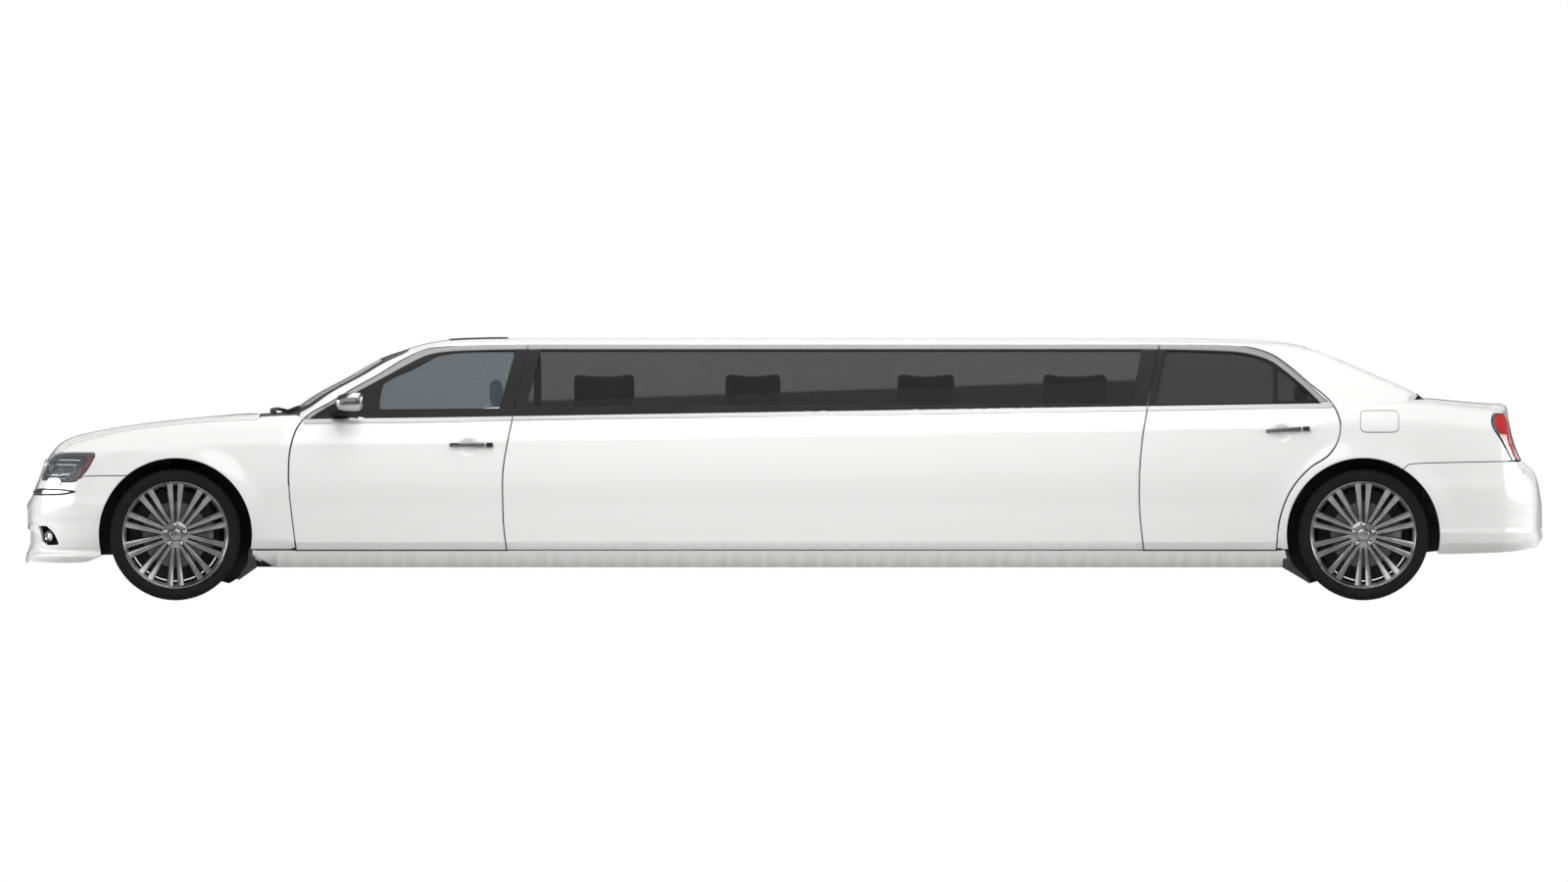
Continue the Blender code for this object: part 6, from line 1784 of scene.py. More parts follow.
def makeHeadlights():
    loop = smoothLoop(trace("nose", ("side", line(lampLow)), ("front", line(lampFrontLow)),
        ("front", line(lampEnd)), ("front", line(lampFrontTop)), ("side", line(lampTop)),
        ("side", line(lampRear))), step=0.02)
    panel("headlightLensLeft", grow(loop, -0.004), "nose", depth=lamp["lens"], grid=(0.03, 0.02),
        inset=0.0015, material="clear_glass", twin=True, node="headlight_left")
    panel("headlightBackLeft", grow(loop, -0.002), "nose", depth=0.004, grid=(0.03, 0.02),
        inset=lamp["bucket"], material="lamp_dark", twin=True, round=False)
    ringPlate("headlightWallLeft", grow(loop, -0.002), 0.01, "nose", 0.042, 0.008, "lamp_dark")
    for index, (z, high) in enumerate(lamp["ribs"]):
        shape = [p for p in grow(loop, -0.016)]
        left = min(p[0] for p in shape if abs(p[1] - z) < 0.012)
        right = max(p[0] for p in shape if abs(p[1] - z) < 0.012)
        rib = smoothLoop([(left + 0.004, z), (right - 0.05, z), (right - 0.054, z + high),
            (left + 0.004, z + high)], step=0.03)
        panel("headlightRibLeft" + "ABCD"[index], rib, "nose", depth=0.01, grid=(0.04, 0.01),
            inset=0.022, material="clear_lamp", twin=True)
    marker = trace("nose", ("side", smoothLoop(lamp["marker"], step=0.02)))
    panel("sideMarkerLeft", marker, "nose", depth=0.012, grid=(0.02, 0.02), inset=0.007,
        material="marker", twin=True)
    for index, (x, z, r) in enumerate(lamp["round"]):
        base = spot("front", x, z, "lower") + Vector((0, 0.03, 0))
        solid("projectorLeft" + "AB"[index],
            revolve([(0.0003, -0.01), (r * 0.55, -0.008), (r * 0.86, 0.0), (r * 0.88, 0.012),
            (0.0003, 0.014)], 28, "y", base), "mirror_glass", twin=True)
        solid("projectorRingLeft" + "AB"[index],
            revolve([(r * 0.9, -0.004), (r * 0.96, -0.01), (r * 1.04, -0.004), (r * 1.06, 0.014),
            (r * 0.9, 0.014)], 32, "y", base), "chrome", slot="clear_lamp", twin=True)


def makeTailLamps():
    side = fromRear([(0.727, 1.043), (0.7185, 0.996), (0.775, 0.886), (0.831, 0.7775)])
    loop = trace("tail", ("side", line(side)), ("back", line([(0.7, 0.7755), (0.536, 0.7765)])),
        ("back", line([(0.534, 0.785), (0.546, 0.8), (0.551, 0.94), (0.566, 1.02), (0.6, 1.043)])))
    loop = smoothLoop(loop, step=0.02)
    panel("tailLensLeft", grow(loop, -0.01), "tail", depth=0.014, grid=(0.03, 0.02), inset=-0.001,
        material="red_lamp", twin=True, node="tail_lamp_left")
    ringPlate("tailFrameLeft", grow(loop, -0.002), 0.009, "tail", 0.024, -0.0005, "chrome")
    low = [p[1] for p in loop]
    middle = sum(p[0] for p in loop) / len(loop)
    strip = smoothLoop([(middle - 0.055, min(low) + 0.03), (middle + 0.03, min(low) + 0.03),
        (middle + 0.022, min(low) + 0.052), (middle - 0.05, min(low) + 0.052)], step=0.02)
    panel("reverseLampLeft", strip, "tail", depth=0.006, grid=(0.03, 0.01), inset=-0.004,
        material="clear_lamp", twin=True)
    lights = smoothLoop([(middle - 0.034, min(low) + 0.07), (middle + 0.004, min(low) + 0.07),
        (middle - 0.02, max(low) - 0.04), (middle - 0.05, max(low) - 0.04)], step=0.02)
    panel("lightGuideLeft", lights, "tail", depth=0.006, grid=(0.03, 0.02), inset=-0.0035,
        material="marker", twin=True)


grilleShape = {"frame": 0.02, "proud": 0.01, "back": 0.055, "slats": 7, "slatHigh": 0.007}


def makeGrille():
    g = grilleShape
    half = line(grilleHalf, 0.02) + [(0.372, 0.764), (0.2, 0.779), (0.0, 0.784)]
    loop = trace("nose", ("front", smoothLoop(bothWays(half), step=0.02)))
    panel("grilleFrame", grow(loop, -0.001), "nose", depth=0.03, grid=(0.03, 0.02),
        holes=[grow(loop, -g["frame"])], inset=-g["proud"], material="chrome", node="grille")
    panel("grilleBack", grow(loop, -0.002), "nose", depth=0.005, grid=(0.05, 0.03),
        inset=g["back"], material="gloss_black", round=False)
    inner = grow(loop, -g["frame"] - 0.002)
    low, high = min(p[1] for p in inner), max(p[1] for p in inner)
    for index in range(g["slats"]):
        z = low + (high - low) * (index + 0.75) / (g["slats"] + 0.5)
        wide = max(abs(p[0]) for p in inner if abs(p[1] - z) < 0.02)
        slat = smoothLoop([(-wide, z), (wide, z), (wide, z + g["slatHigh"]),
            (-wide, z + g["slatHigh"])], step=0.04)
        panel("grilleSlat" + str(index + 1), slat, "nose", depth=0.022, grid=(0.05, 0.01),
            inset=-0.001, material="chrome")


def makeBumperTrim():
    # bright strip under each headlight
    strip = smoothLoop(
        trace("nose",
        ("side", line(fromFront([(-0.563, 0.602), (-0.64, 0.589), (-0.74, 0.587)]), 0.02)),
        ("front", ((0.66, 0.588), (0.56, 0.59), (0.5, 0.594), (0.5, 0.612), (0.56, 0.615),
        (0.66, 0.617))),
        ("side", line(fromFront([(-0.74, 0.618), (-0.64, 0.615), (-0.563, 0.606)]), 0.02))),
        step=0.02)
    panel("bumperRecessLeft", grow(strip, 0.004), "nose", depth=0.006, grid=(0.03, 0.01),
        inset=-0.0035, material="gloss_black", twin=True)
    panel("bumperStripLeft", grow(strip, -0.0035), "nose", depth=0.008, grid=(0.03, 0.01),
        inset=-0.009, material="chrome", twin=True)
    cap = fromFront([(-0.722, 0.643), (-0.64, 0.64), (-0.632, 0.662), (-0.648, 0.682),
        (-0.7, 0.68)])
    cap = trace("nose", ("side", smoothLoop(cap, step=0.02, radius=0.01)))
    panel("washerCoverLeft", cap, "nose", depth=0.006, grid=(0.02, 0.015), inset=-0.006, twin=True)
    # fog lamp pockets
    fog = smoothLoop(fogLoop(), step=0.012)
    panel("fogBackLeft", grow(fog, 0.006), "nose", depth=0.004, grid=(0.03, 0.02), inset=0.05,
        material="gloss_black", twin=True, round=False)
    ringPlate("fogWallLeft", grow(fog, 0.01), 0.009, "nose", 0.045, 0.014, "black_plastic")
    centre = (sum(p[0] for p in fog) / len(fog), sum(p[1] for p in fog) / len(fog))
    base, normal = onBody("nose", *centre, "lower")
    tilt = Vector((0, 0, 1)).rotation_difference(normal).to_matrix().to_4x4()
    place = Matrix.Translation(base - normal * 0.034) @ tilt
    for part, profile, material in (
            ("Ring", [(0.024, 0.0), (0.024, 0.014), (0.028, 0.016), (0.031, 0.012), (0.031, 0.0)],
            "chrome"),
            ("Lens",
            [(0.0003, 0.0), (0.0235, 0.0), (0.0235, 0.006), (0.014, 0.013), (0.0003, 0.015)],
            "clear_lamp")):
        solid("fogLamp" + part + "Left", revolve(profile, 28, "z"), material, slot="clear_lamp",
            twin=True, turned=place)
    # lower intake: dark mesh behind the opening
    intake = smoothLoop(
        bothWays([(0.0, 0.29), (0.42, 0.292), (0.485, 0.315), (0.46, 0.4), (0.0, 0.405)]),
        step=0.03)
    panel("intakeBack", trace("nose", ("front", intake)), "nose", depth=0.004, grid=(0.05, 0.03),
        inset=0.055, material="gloss_black", round=False)
    bars = rowTree("intakeRow", finishes["black_plastic"])
    path = [spot("nose", a, 0.306, "lower") + Vector((0, 0.03, 0))
        for a in np.linspace(-0.42, 0.42, 17)]
    bar = sweep(path,
        [(0.009, -0.003), (0.009, 0.003), (-0.004, 0.0035), (-0.009, 0.0), (-0.004, -0.0035)])
    grown(bars, "intakeBars", bar, {"Count": 6, "Start": (0, 0, 0), "Step": (0, 0, 0.0165)},
        "black_plastic")
    bottom = spot("nose", 0.0, 0.306, "lower").y + 0.02
    upright = blockMesh((-0.003, 0.003), (bottom, bottom + 0.016), (0.298, 0.398))
    grown(bars, "intakeUprights", upright,
        {"Count": 11, "Start": (-0.4, 0.022, 0), "Step": (0.08, 0, 0)}, "black_plastic")


plateShape = {"wide": 0.3, "high": 0.1, "thick": 0.004}


def makePlates():
    # blank number plates on the mount faces
    for name, record in (("frontPlate", "front_plate_face"), ("rearPlate", "rear_plate_face")):
        sign = -1 if name == "frontPlate" else 1
        y = cadBox[0][1] if sign < 0 else cadBox[1][1]
        z = 0.452
        for part, rim, low, high, material in (("Holder", 0.008, -0.012, 0.001, "black_plastic"),
                ("", 0.0, 0.0012, 0.0012 + plateShape["thick"], "plate_white")):
            loop = [(u * (plateShape["wide"] / 2 + rim), z + v * (plateShape["high"] / 2 + rim))
                for u, v in squareSection(14, 48)]
            a, b = sorted((y + sign * low, y + sign * high))
            solid(name + part, plate(loop, a, b, "y"), material, slot="black_plastic", bevel=0.001)


def makeSeams():
    # painted shade: dark strips just inside the shut lines (real seals only at the doors)
    gap = cut["gap"]
    for name, loop in (("frontDoorSeal", frontDoorLoop), ("rearDoorSeal", rearDoorLoop)):
        outer, inner = ([(y, min(z, high)) for y, z in grow(loop, by)] for by,
            high in ((gap + 0.001, 1.414), (0.0004, 1.411)))
        panel(name + "Left", outer, depth=0.012, grid=(0.2, 0.2), holes=[inner], inset=0.0008,
            material="rubber_seal", twin=True, round=False)
    flap = flapLine()
    panel("flapPocket", grow(flap, 0.01), "flank", depth=0.006, grid=(0.05, 0.05), inset=0.024,
        material="black_plastic", round=False)
    ringPlate("flapSeal", grow(flap, 0.0035), 0.0045, "flank", 0.018, 0.004, "rubber_seal",
        (0.05, 0.03), False)
    bands = (
        ("bumperSeal", "side",
        [(front(-0.553), 0.662), (front(-0.513), 0.689), (front(-0.4), 0.692),
        (front(-0.275), 0.693)]),
        ("rearSeal", "side",
        [(rear(0.222), 0.728), (rear(0.262), 0.757), (rear(0.5), 0.766), (rear(0.7), 0.77),
        (rear(0.828), 0.7725)]))
    for name, view, points in bands:
        track = line(points, 0.02)
        loop = ([(y, z - 0.006) for y, z in track] + [(y, z + 0.006) for y, z in track[::-1]])
        panel(name + "Left", loop, view, depth=0.01, grid=(0.05, 0.02), inset=0.0045,
            material="rubber_seal", twin=True, round=False, only="lower")


def makeLowerTrim():
    # painted shade: a dark strip just behind the gap above the sill
    seam = [(y, sillTop - cut["gap"] - 0.002) for y in np.arange(front(0.45), rear(-0.46), 0.2)]
    seam += [(rear(-0.455), sillTop - cut["gap"] - 0.002)]
    seam += [(y, z + cut["gap"] + 0.004) for y, z in seam[::-1]]
    panel("sillSealLeft", seam, depth=0.012, grid=(0.2, 0.05), inset=0.0035,
        material="rubber_seal", twin=True, only="lower", round=False)
    # splash guards behind the front wheels and ahead of the rear ones
    for name, points, axle in (
            ("frontSplash",
            ((0.408, 0.292), (0.436, 0.292), (0.452, 0.182), (0.352, 0.112), (0.344, 0.12),
            (0.4, 0.205)), frontAxle),
            ("rearSplash",
            ((-0.42, 0.27), (-0.446, 0.27), (-0.45, 0.182), (-0.3, 0.098), (-0.292, 0.106),
            (-0.396, 0.2)), rearAxle)):
        loop = [(axle + y, z) for y, z in points]
        solid(name + "Left", plate(loop, 0.7, 0.902, "x"), "black_plastic", bevel=0.004, twin=True)
        way = 1 if axle == frontAxle else -1
        inner = [(axle + way * y, z) for y,
            z in ((0.45, 0.29), (0.45, 0.184), (0.3, 0.094), (0.24, 0.11), (0.3, 0.3))]
        solid(name + "InnerLeft", plate(inner, 0.445, 0.457, "x"), "black_plastic", bevel=0.003,
            twin=True)


makeHeadlights()
makeTailLamps()
makeGrille()
makeBumperTrim()
makePlates()
makeSeams()
makeLowerTrim()
print("lamps, grille and seals made")

# cabin: seats, benches, dashboard, linings
cabin = {"floor": 0.2765, "voxel": 0.013, "pressure": 4.0, "frames": 14, "cap": 0.014,
    "fill": 0.75, "channelWidth": 0.01, "channelDepth": 0.01,}
padCache = {}


def padMesh(size, radius, channels, bolster):
    # a stuffed block: swollen by a short cloth run, flat below, with its seams pressed in
    key = (size, radius, channels, bolster)
    if key in padCache:
        return padCache[key]
    half = Vector(size) / 2
    swell = cabin["cap"]
    start = [h - swell * 0.75 for h in half]
    mesh = bpy.data.meshes.new("pad")
    work = bmesh.new()
    bmesh.ops.create_cube(work, size=2.0)
    for v in work.verts:
        v.co = Vector((v.co.x * start[0], v.co.y * start[1], v.co.z * start[2]))
    bmesh.ops.bevel(work, geom=work.edges[:], offset=radius, segments=4, profile=0.6,
        affect="EDGES", clamp_overlap=True)
    work.to_mesh(mesh)
    work.free()
    pad = bpy.data.objects.new("pad", mesh)
    bpy.context.scene.collection.objects.link(pad)
    voxels = pad.modifiers.new("voxels", "REMESH")
    voxels.mode, voxels.voxel_size = "VOXEL", cabin["voxel"]
    bpy.context.view_layer.update()
    graph = bpy.context.evaluated_depsgraph_get()
    even = bpy.data.meshes.new_from_object(pad.evaluated_get(graph))
    pad.modifiers.remove(voxels)
    pad.data = even
    before = np.array([v.co[:] for v in even.vertices])
    cloth = pad.modifiers.new("cloth", "CLOTH")
    cloth.settings.use_pressure = True
    cloth.settings.uniform_pressure_force = cabin["pressure"]
    cloth.settings.effector_weights.gravity = 0.0
    cloth.settings.tension_stiffness = cloth.settings.compression_stiffness = 12.0
    cloth.point_cache.frame_start, cloth.point_cache.frame_end = 1, cabin["frames"]
    for frameNumber in range(1, cabin["frames"] + 1):
        bpy.context.scene.frame_set(frameNumber)
    graph = bpy.context.evaluated_depsgraph_get()
    puffed = pad.evaluated_get(graph).to_mesh()
    after = np.array([v.co[:] for v in puffed.vertices])
    pad.evaluated_get(graph).to_mesh_clear()
    pad.modifiers.remove(cloth)
    bpy.context.scene.frame_set(1)
    move = after - before
    length = np.linalg.norm(move, axis=1, keepdims=True)
    after = before + move * np.minimum(1, swell / np.maximum(length, 1e-9))
    normals = np.array([v.normal[:] for v in even.vertices])
    top = np.clip(normals[:, 2], 0, 1)
    if bolster:
        side = np.clip((np.abs(after[:, 0]) / half[0] - 0.55) / 0.3, 0, 1)
        after[:, 2] += top * (side * side * (3 - 2 * side) - 0.45) * bolster
    for axis, at in channels:
        away = np.abs(after[:, "xyz".index(axis)] - at)
        press = np.exp(-(away / cabin["channelWidth"]) ** 2) * cabin["channelDepth"]
        after -= normals * (press * np.clip(top * 1.5, 0, 1))[:, None]
    after = np.clip(after, -np.array(half), np.array(half) + (0, 0, bolster))
    faces = [tuple(p.vertices) for p in even.polygons]
    bpy.data.objects.remove(pad)
    padCache[key] = (after, faces)
    return padCache[key]


def pad(name, size, middle, turn=(0, 0, 0), radius=0.035, channels=(), bolster=0.0, node=None):
    verts, faces = padMesh(size, radius, channels, bolster)
    matrix = Matrix.Translation(middle)
    for axis, degrees in zip("XYZ", turn):
        if degrees:
            matrix = matrix @ Matrix.Rotation(math.radians(degrees), 4, axis)
    mesh = meshOf(name, [matrix @ Vector(v) for v in verts], faces)
    piece(name, mesh, "black_leather", node=node)


def block(name, x, y, z, material, bevel=0.006):
    solid(name, blockMesh(x, y, z), material, bevel=bevel)


def makeFrontSeats():
    base = cabin["floor"]
    for side, sign in (("Left", 1), ("Right", -1)):
        x = sign * 0.37
        block("seatRail" + side, (x - 0.2, x + 0.2), (front(1.27), front(1.7)),
            (base, base + 0.075), "black_plastic")
        block("seatPan" + side, (x - 0.245, x + 0.245), (front(1.245), front(1.735)),
            (base + 0.076, base + 0.15), "black_plastic", bevel=0.02)
        pad("seatCushion" + side, (0.515, 0.5, 0.15), (x, front(1.482), base + 0.222),
            channels=(("x", 0.15), ("x", -0.15), ("y", 0.02), ("y", 0.13), ("y", -0.1)),
            bolster=0.016, node="front_seats")
        pad("seatBack" + side, (0.505, 0.56, 0.125), (x, front(1.776), base + 0.47),
            turn=(97, 0, 0),
            channels=(("x", 0.15), ("x", -0.15), ("y", 0.1), ("y", -0.02), ("y", -0.14)),
            bolster=0.014, node="front_seats")
        pad("seatHead" + side, (0.255, 0.175, 0.085), (x, front(1.786), 1.15), turn=(94, 0, 0),
            radius=0.034, node="front_seats")
        for post in (-0.05, 0.05):
            solid("headPost" + side + ("A" if post < 0 else "B"),
                revolve([(0.0003, 1.0), (0.006, 1.0), (0.006, 1.09), (0.0003, 1.09)], 12, "z",
                (x + post, front(1.784), 0)), "chrome")
    block("console", (-0.095, 0.095), (front(1.12), front(1.82)), (base, 0.5), "grey_trim",
        bevel=0.018)
    pad("consoleArmrest", (0.185, 0.3, 0.06), (0, front(1.66), 0.533), radius=0.02)
    block("consoleTop", (-0.08, 0.08), (front(1.16), front(1.48)), (0.499, 0.508), "walnut",
        bevel=0.003)
    solid("gearKnob",
        revolve([(0.0003, 0.505), (0.022, 0.505), (0.012, 0.52), (0.009, 0.56), (0.018, 0.572),
        (0.021, 0.59), (0.013, 0.606), (0.0003, 0.61)], 20, "z", (0, front(1.3), 0)),
        "gloss_black")


def makeBenches():
    base = cabin["floor"]
    start, end = front(2.08), rear(-1.28)
    count = 5
    step = (end - start) / count
    block("benchPlinth", (-0.735, -0.33), (start + 0.004, end - 0.004), (base, 0.42),
        "gloss_black", bevel=0.004)
    block("benchKick", (-0.3315, -0.326), (start + 0.02, end - 0.02), (0.3, 0.312), "chrome",
        bevel=0.001)
    for index in range(count):
        y = start + step * (index + 0.5)
        label = "ABCDE"[index]
        pad("benchCushion" + label, (0.45, step - 0.006, 0.152), (-0.512, y, 0.498),
            channels=(("x", -0.02), ("x", -0.12), ("x", 0.09)), node="side_bench")
        pad("benchBack" + label, (0.52, step - 0.006, 0.135), (-0.662, y, 0.83), turn=(0, 86, 0),
            channels=(("x", 0.13), ("x", 0.0), ("x", -0.13)), node="side_bench")
    for index, (share,
            wide) in enumerate(((0.094, 0.365), (0.349, 0.335), (0.645, 0.345), (0.9, 0.385))):
        y = start + (end - start) * share
        pad("benchHead" + "ABCD"[index], (0.215, wide, 0.085), (-0.628, y, 1.162), turn=(0, 88, 0),
            radius=0.034, node="side_bench")
    block("rearPlinth", (-0.66, 0.66), (rear(-0.96), rear(-0.5)), (base, 0.42), "gloss_black",
        bevel=0.004)
    for side, sign in (("Left", 1), ("Right", -1)):
        pad("rearCushion" + side, (0.68, 0.545, 0.152), (sign * 0.345, rear(-0.748), 0.498),
            channels=(("y", 0.1), ("y", 0.0), ("y", -0.1)), node="rear_bench")
        pad("rearBack" + side, (0.545, 0.6, 0.155), (sign * 0.275, rear(-0.395), 0.785),
            turn=(99, 0, 0), channels=(("y", 0.14), ("y", 0.0), ("y", -0.14)), node="rear_bench")
        pad("rearHead" + side, (0.255, 0.135, 0.09), (sign * 0.33, rear(-0.35), 1.142),
            turn=(94, 0, 0), radius=0.034, node="rear_bench")


dash = {"half": 0.755, "bow": 0.03, "wheel": (0.36, front(1.13), 0.9), "wheelRadius": 0.18,
    "tilt": -65, "vents": (-0.66, -0.175, 0.175, 0.66), "gauges": (0.295, 0.425), "gaugeUp": 0.902,
    "profile": ((0.59, 0.64), (0.6, 0.9), (0.64, 0.945), (0.74, 0.958), (0.86, 0.955),
    (0.93, 0.935), (0.958, 0.9), (0.962, 0.86), (0.945, 0.835), (0.955, 0.79), (0.975, 0.77),
    (0.978, 0.72), (0.94, 0.66), (0.85, 0.635)),
    "inlay": ((0.94, 0.798), (0.96, 0.796), (0.9605, 0.822), (0.94, 0.826)),}


def makeDashboard():
    # moulded shell: a profile carried across, raised over the instruments
    d = dash
    rings = []
    for x in np.linspace(-d["half"], d["half"], 41):
        hood = math.exp(-((x - d["wheel"][0]) / 0.15) ** 4)
        end = 1 - 0.05 * (abs(x) / d["half"]) ** 6
        ring = []
        for y, z in d["profile"]:
            lift = 0.016 * hood if z > 0.84 else 0.0
            out = 0.01 * hood if y > 0.92 and z > 0.84 else 0.0
            curve = -d["bow"] * (x / d["half"]) ** 2 * (y - 0.59) / 0.39
            ring.append((x, front(y + out + curve), 0.64 + (z + lift - 0.64) * end))
        rings.append(ring)
    solid("dashShell", ringsMesh(rings), "grey_trim", sharp=50, node="dashboard")
    rings = []
    for x in np.linspace(-d["half"] + 0.02, d["half"] - 0.02, 31):
        curve = -d["bow"] * (x / d["half"]) ** 2
        rings.append([(x, front(y + curve), z) for y, z in d["inlay"]])
    solid("dashInlay", ringsMesh(rings), "walnut", bevel=0.002)
    block("centreScreen", (-0.115, 0.115), (front(0.95), front(0.974)), (0.845, 0.925),
        "gloss_black", bevel=0.004)
    block("centreStack", (-0.11, 0.11), (front(0.9), front(1.03)), (0.5, 0.77), "grey_trim",
        bevel=0.015)
    slats = rowTree("ventRow", finishes["black_plastic"])
    for label, x in zip("ABCD", d["vents"]):
        y = front(0.95 - d["bow"] * (x / d["half"]) ** 2)
        bezel = [(x + u, 0.88 + v) for u, v in squareSection(6, 24, 0.052, 0.026)]
        solid("ventBezel" + label, plate(bezel, y, y + 0.018, "y"), "chrome", bevel=0.002)
        seed = blockMesh((x - 0.045, x + 0.045), (y + 0.016, y + 0.023), (0.8605, 0.8645))
        grown(slats, "ventSlats" + label, seed,
            {"Count": 5, "Start": (0, 0, 0), "Step": (0, 0, 0.0085)}, "black_plastic")
    z, tickY = d["gaugeUp"], front(0.979)
    dial = [(0.0003, 0.0), (0.046, 0.0), (0.046, 0.01), (0.052, 0.012), (0.052, -0.01),
        (0.0003, -0.01)]
    tick = [(x, y, up) for y in (0.0, 0.0012) for x in (-0.0008, 0.0008) for up in (0.036, 0.043)]
    tickFaces = [(0, 1, 3, 2), (4, 6, 7, 5), (0, 4, 5, 1), (2, 3, 7, 6), (0, 2, 6, 4),
        (1, 5, 7, 3)]
    for label, x in zip("AB", d["gauges"]):
        solid("gauge" + label, revolve(dial, 32, "y", (x, front(0.968), z)), "gloss_black")
        ticks = []
        for k in range(14):             # the ticks stand on a ring that faces the driver
            turn = Matrix.Rotation(math.radians(-130 + 20 * k), 4, "Y")
            ticks.append(([turn @ Vector(p) + Vector((x, tickY, z)) for p in tick], tickFaces))
        solid("gaugeTicks" + label, joined(*ticks), "plate_white")
    # steering wheel
    radius = d["wheelRadius"]
    tilt = Matrix.Translation(d["wheel"]) @ Matrix.Rotation(math.radians(d["tilt"]), 4, "X")
    turns = [2 * math.pi * k / 64 for k in range(64)]
    ring = [(radius * math.cos(a), radius * math.sin(a), 0) for a in turns]
    rim = sweep(ring, roundSection(0.0145, 12, 1.15), ups=[(0, 0, 1)] * 64, closedPath=True)
    spokes = []
    for angle, wide in ((0, 0.02), (180, 0.02), (270, 0.03)):
        a = math.radians(angle)
        direction = Vector((math.cos(a), math.sin(a), 0))
        across = Vector((-math.sin(a), math.cos(a), 0))
        rings = []
        for share, w in ((0.25, 1.7), (0.5, 1.1), (0.8, 1.0), (0.99, 1.2)):
            at = direction * radius * share + Vector((0, 0, -0.022 * (1 - share)))
            rings.append([at + across * (u * wide * w) + Vector((0, 0, v * 0.008)) for u,
                v in squareSection(4, 12)])
        spokes.append(ringsMesh(rings))
    boss = [(0.0003, -0.05), (0.04, -0.048), (0.062, -0.032), (0.066, -0.016), (0.054, -0.004),
        (0.0003, 0.002)]
    shroud = [(0.0003, -0.25), (0.035, -0.25), (0.038, -0.14), (0.045, -0.06), (0.045, -0.045),
        (0.0003, -0.045)]
    for part, shape, finish in (("Rim", rim, "black_leather"),
            ("Spokes", joined(*spokes), "grey_trim"),
            ("Boss", revolve(boss, 32, "z"), "black_leather"),
            ("Shroud", revolve(shroud, 24, "z"), "grey_trim")):
        solid("steering" + part, shape, finish, turned=tilt)
    for label, x in zip("AB", (0.3, 0.42)):
        arm = [(x, front(0.8), 0.52), (x, front(0.86), 0.4), (x, front(0.9), 0.36)]
        solid("pedalArm" + label,
            sweep(arm, squareSection(4, 12, 0.01, 0.005), ups=[(0, 1, 0.6)] * 3), "dull_steel")
        block("pedalPad" + label, (x - 0.03, x + 0.03), (front(0.895), front(0.912)),
            (0.335, 0.395), "black_plastic", bevel=0.004)


def makeLinings():
    loop = [(y, b) for y, b in ((front(1.44), -0.4), (front(1.6), -0.455), (rear(-0.62), -0.455),
        (rear(-0.42), -0.4), (rear(-0.4), 0.4), (rear(-0.62), 0.455), (front(1.6), 0.455),
        (front(1.44), 0.4))]
    panel("headlining", smoothLoop(loop, step=0.1, corner=5), "cabin", depth=0.005,
        grid=(0.1, 0.05), inset=0.036, material="headlining", round=False)
    floorTop = cabin["floor"]
    for name, y0, y1 in (("carpetFront", front(0.8), front(1.99)),
            ("carpetRear", front(2.045), rear(-0.985))):
        block(name, (-0.79, 0.79), (y0, y1), (floorTop, floorTop + 0.006), "carpet", bevel=0.002)
    # lining of each door and of the long side panels, with arm rest and wood inlay
    low = 0.34
    table = (("frontDoorLining", front(1.02), front(1.8), 0.975, "front_door_left"),
        ("longLining", front(2.06), rear(-1.3), 0.99, "body"),
        ("rearDoorLining", rear(-1.15), rear(-0.33), 1.005, "rear_door_left"))
    for name, y0, y1, high, body in table:
        cutOff = 0.2 if name == "rearDoorLining" else 0.0
        loop = [(y0, low), (y1 - cutOff, low), (y1, low + 1.4 * cutOff), (y1, high), (y0, high)]
        panel(name + "Left", smoothLoop(loop, step=0.06, radius=0.03), depth=0.012,
            grid=(0.1, 0.05), inset=0.1, body=body, material="grey_trim", twin=True)
        rest = [(y0 + 0.1, 0.64), (y1 - 0.12, 0.65), (y1 - 0.12, 0.7), (y0 + 0.1, 0.69)]
        panel(name + "RestLeft", smoothLoop(rest, step=0.06, radius=0.02), depth=0.04,
            grid=(0.1, 0.02), inset=0.105, body=body, material="black_leather", twin=True)
        inlay = [(y0 + 0.06, 0.78), (y1 - 0.06, 0.79), (y1 - 0.06, 0.83), (y0 + 0.06, 0.82)]
        panel(name + "InlayLeft", smoothLoop(inlay, step=0.06, radius=0.01), depth=0.008,
            grid=(0.1, 0.02), inset=0.108, body=body, material="walnut", twin=True)
    # partition frame
    y = front(2.015)
    for name, x, z in (("Top", (-0.49, 0.49), (1.3205, 1.345)),
            ("Low", (-0.49, 0.49), (1.03, 1.0595)), ("Left", (0.4505, 0.49), (1.061, 1.319)),
            ("Right", (-0.49, -0.4505), (1.061, 1.319))):
        block("partitionFrame" + name, x, (y - 0.022, y + 0.022), z, "walnut", bevel=0.004)
    panel("rearShelf",
        smoothLoop(
        bothWays([(0.0, rear(-0.235)), (0.58, rear(-0.235)), (0.6, rear(0.02)), (0.58, rear(0.24)),
        (0.0, rear(0.33))]), step=0.05), "top", depth=0.008, grid=(0.06, 0.05), inset=0.022,
        material="carpet", only="lower", round=False)


makeFrontSeats()
makeBenches()
print("seats made")
makeDashboard()
makeLinings()
print("cabin made")


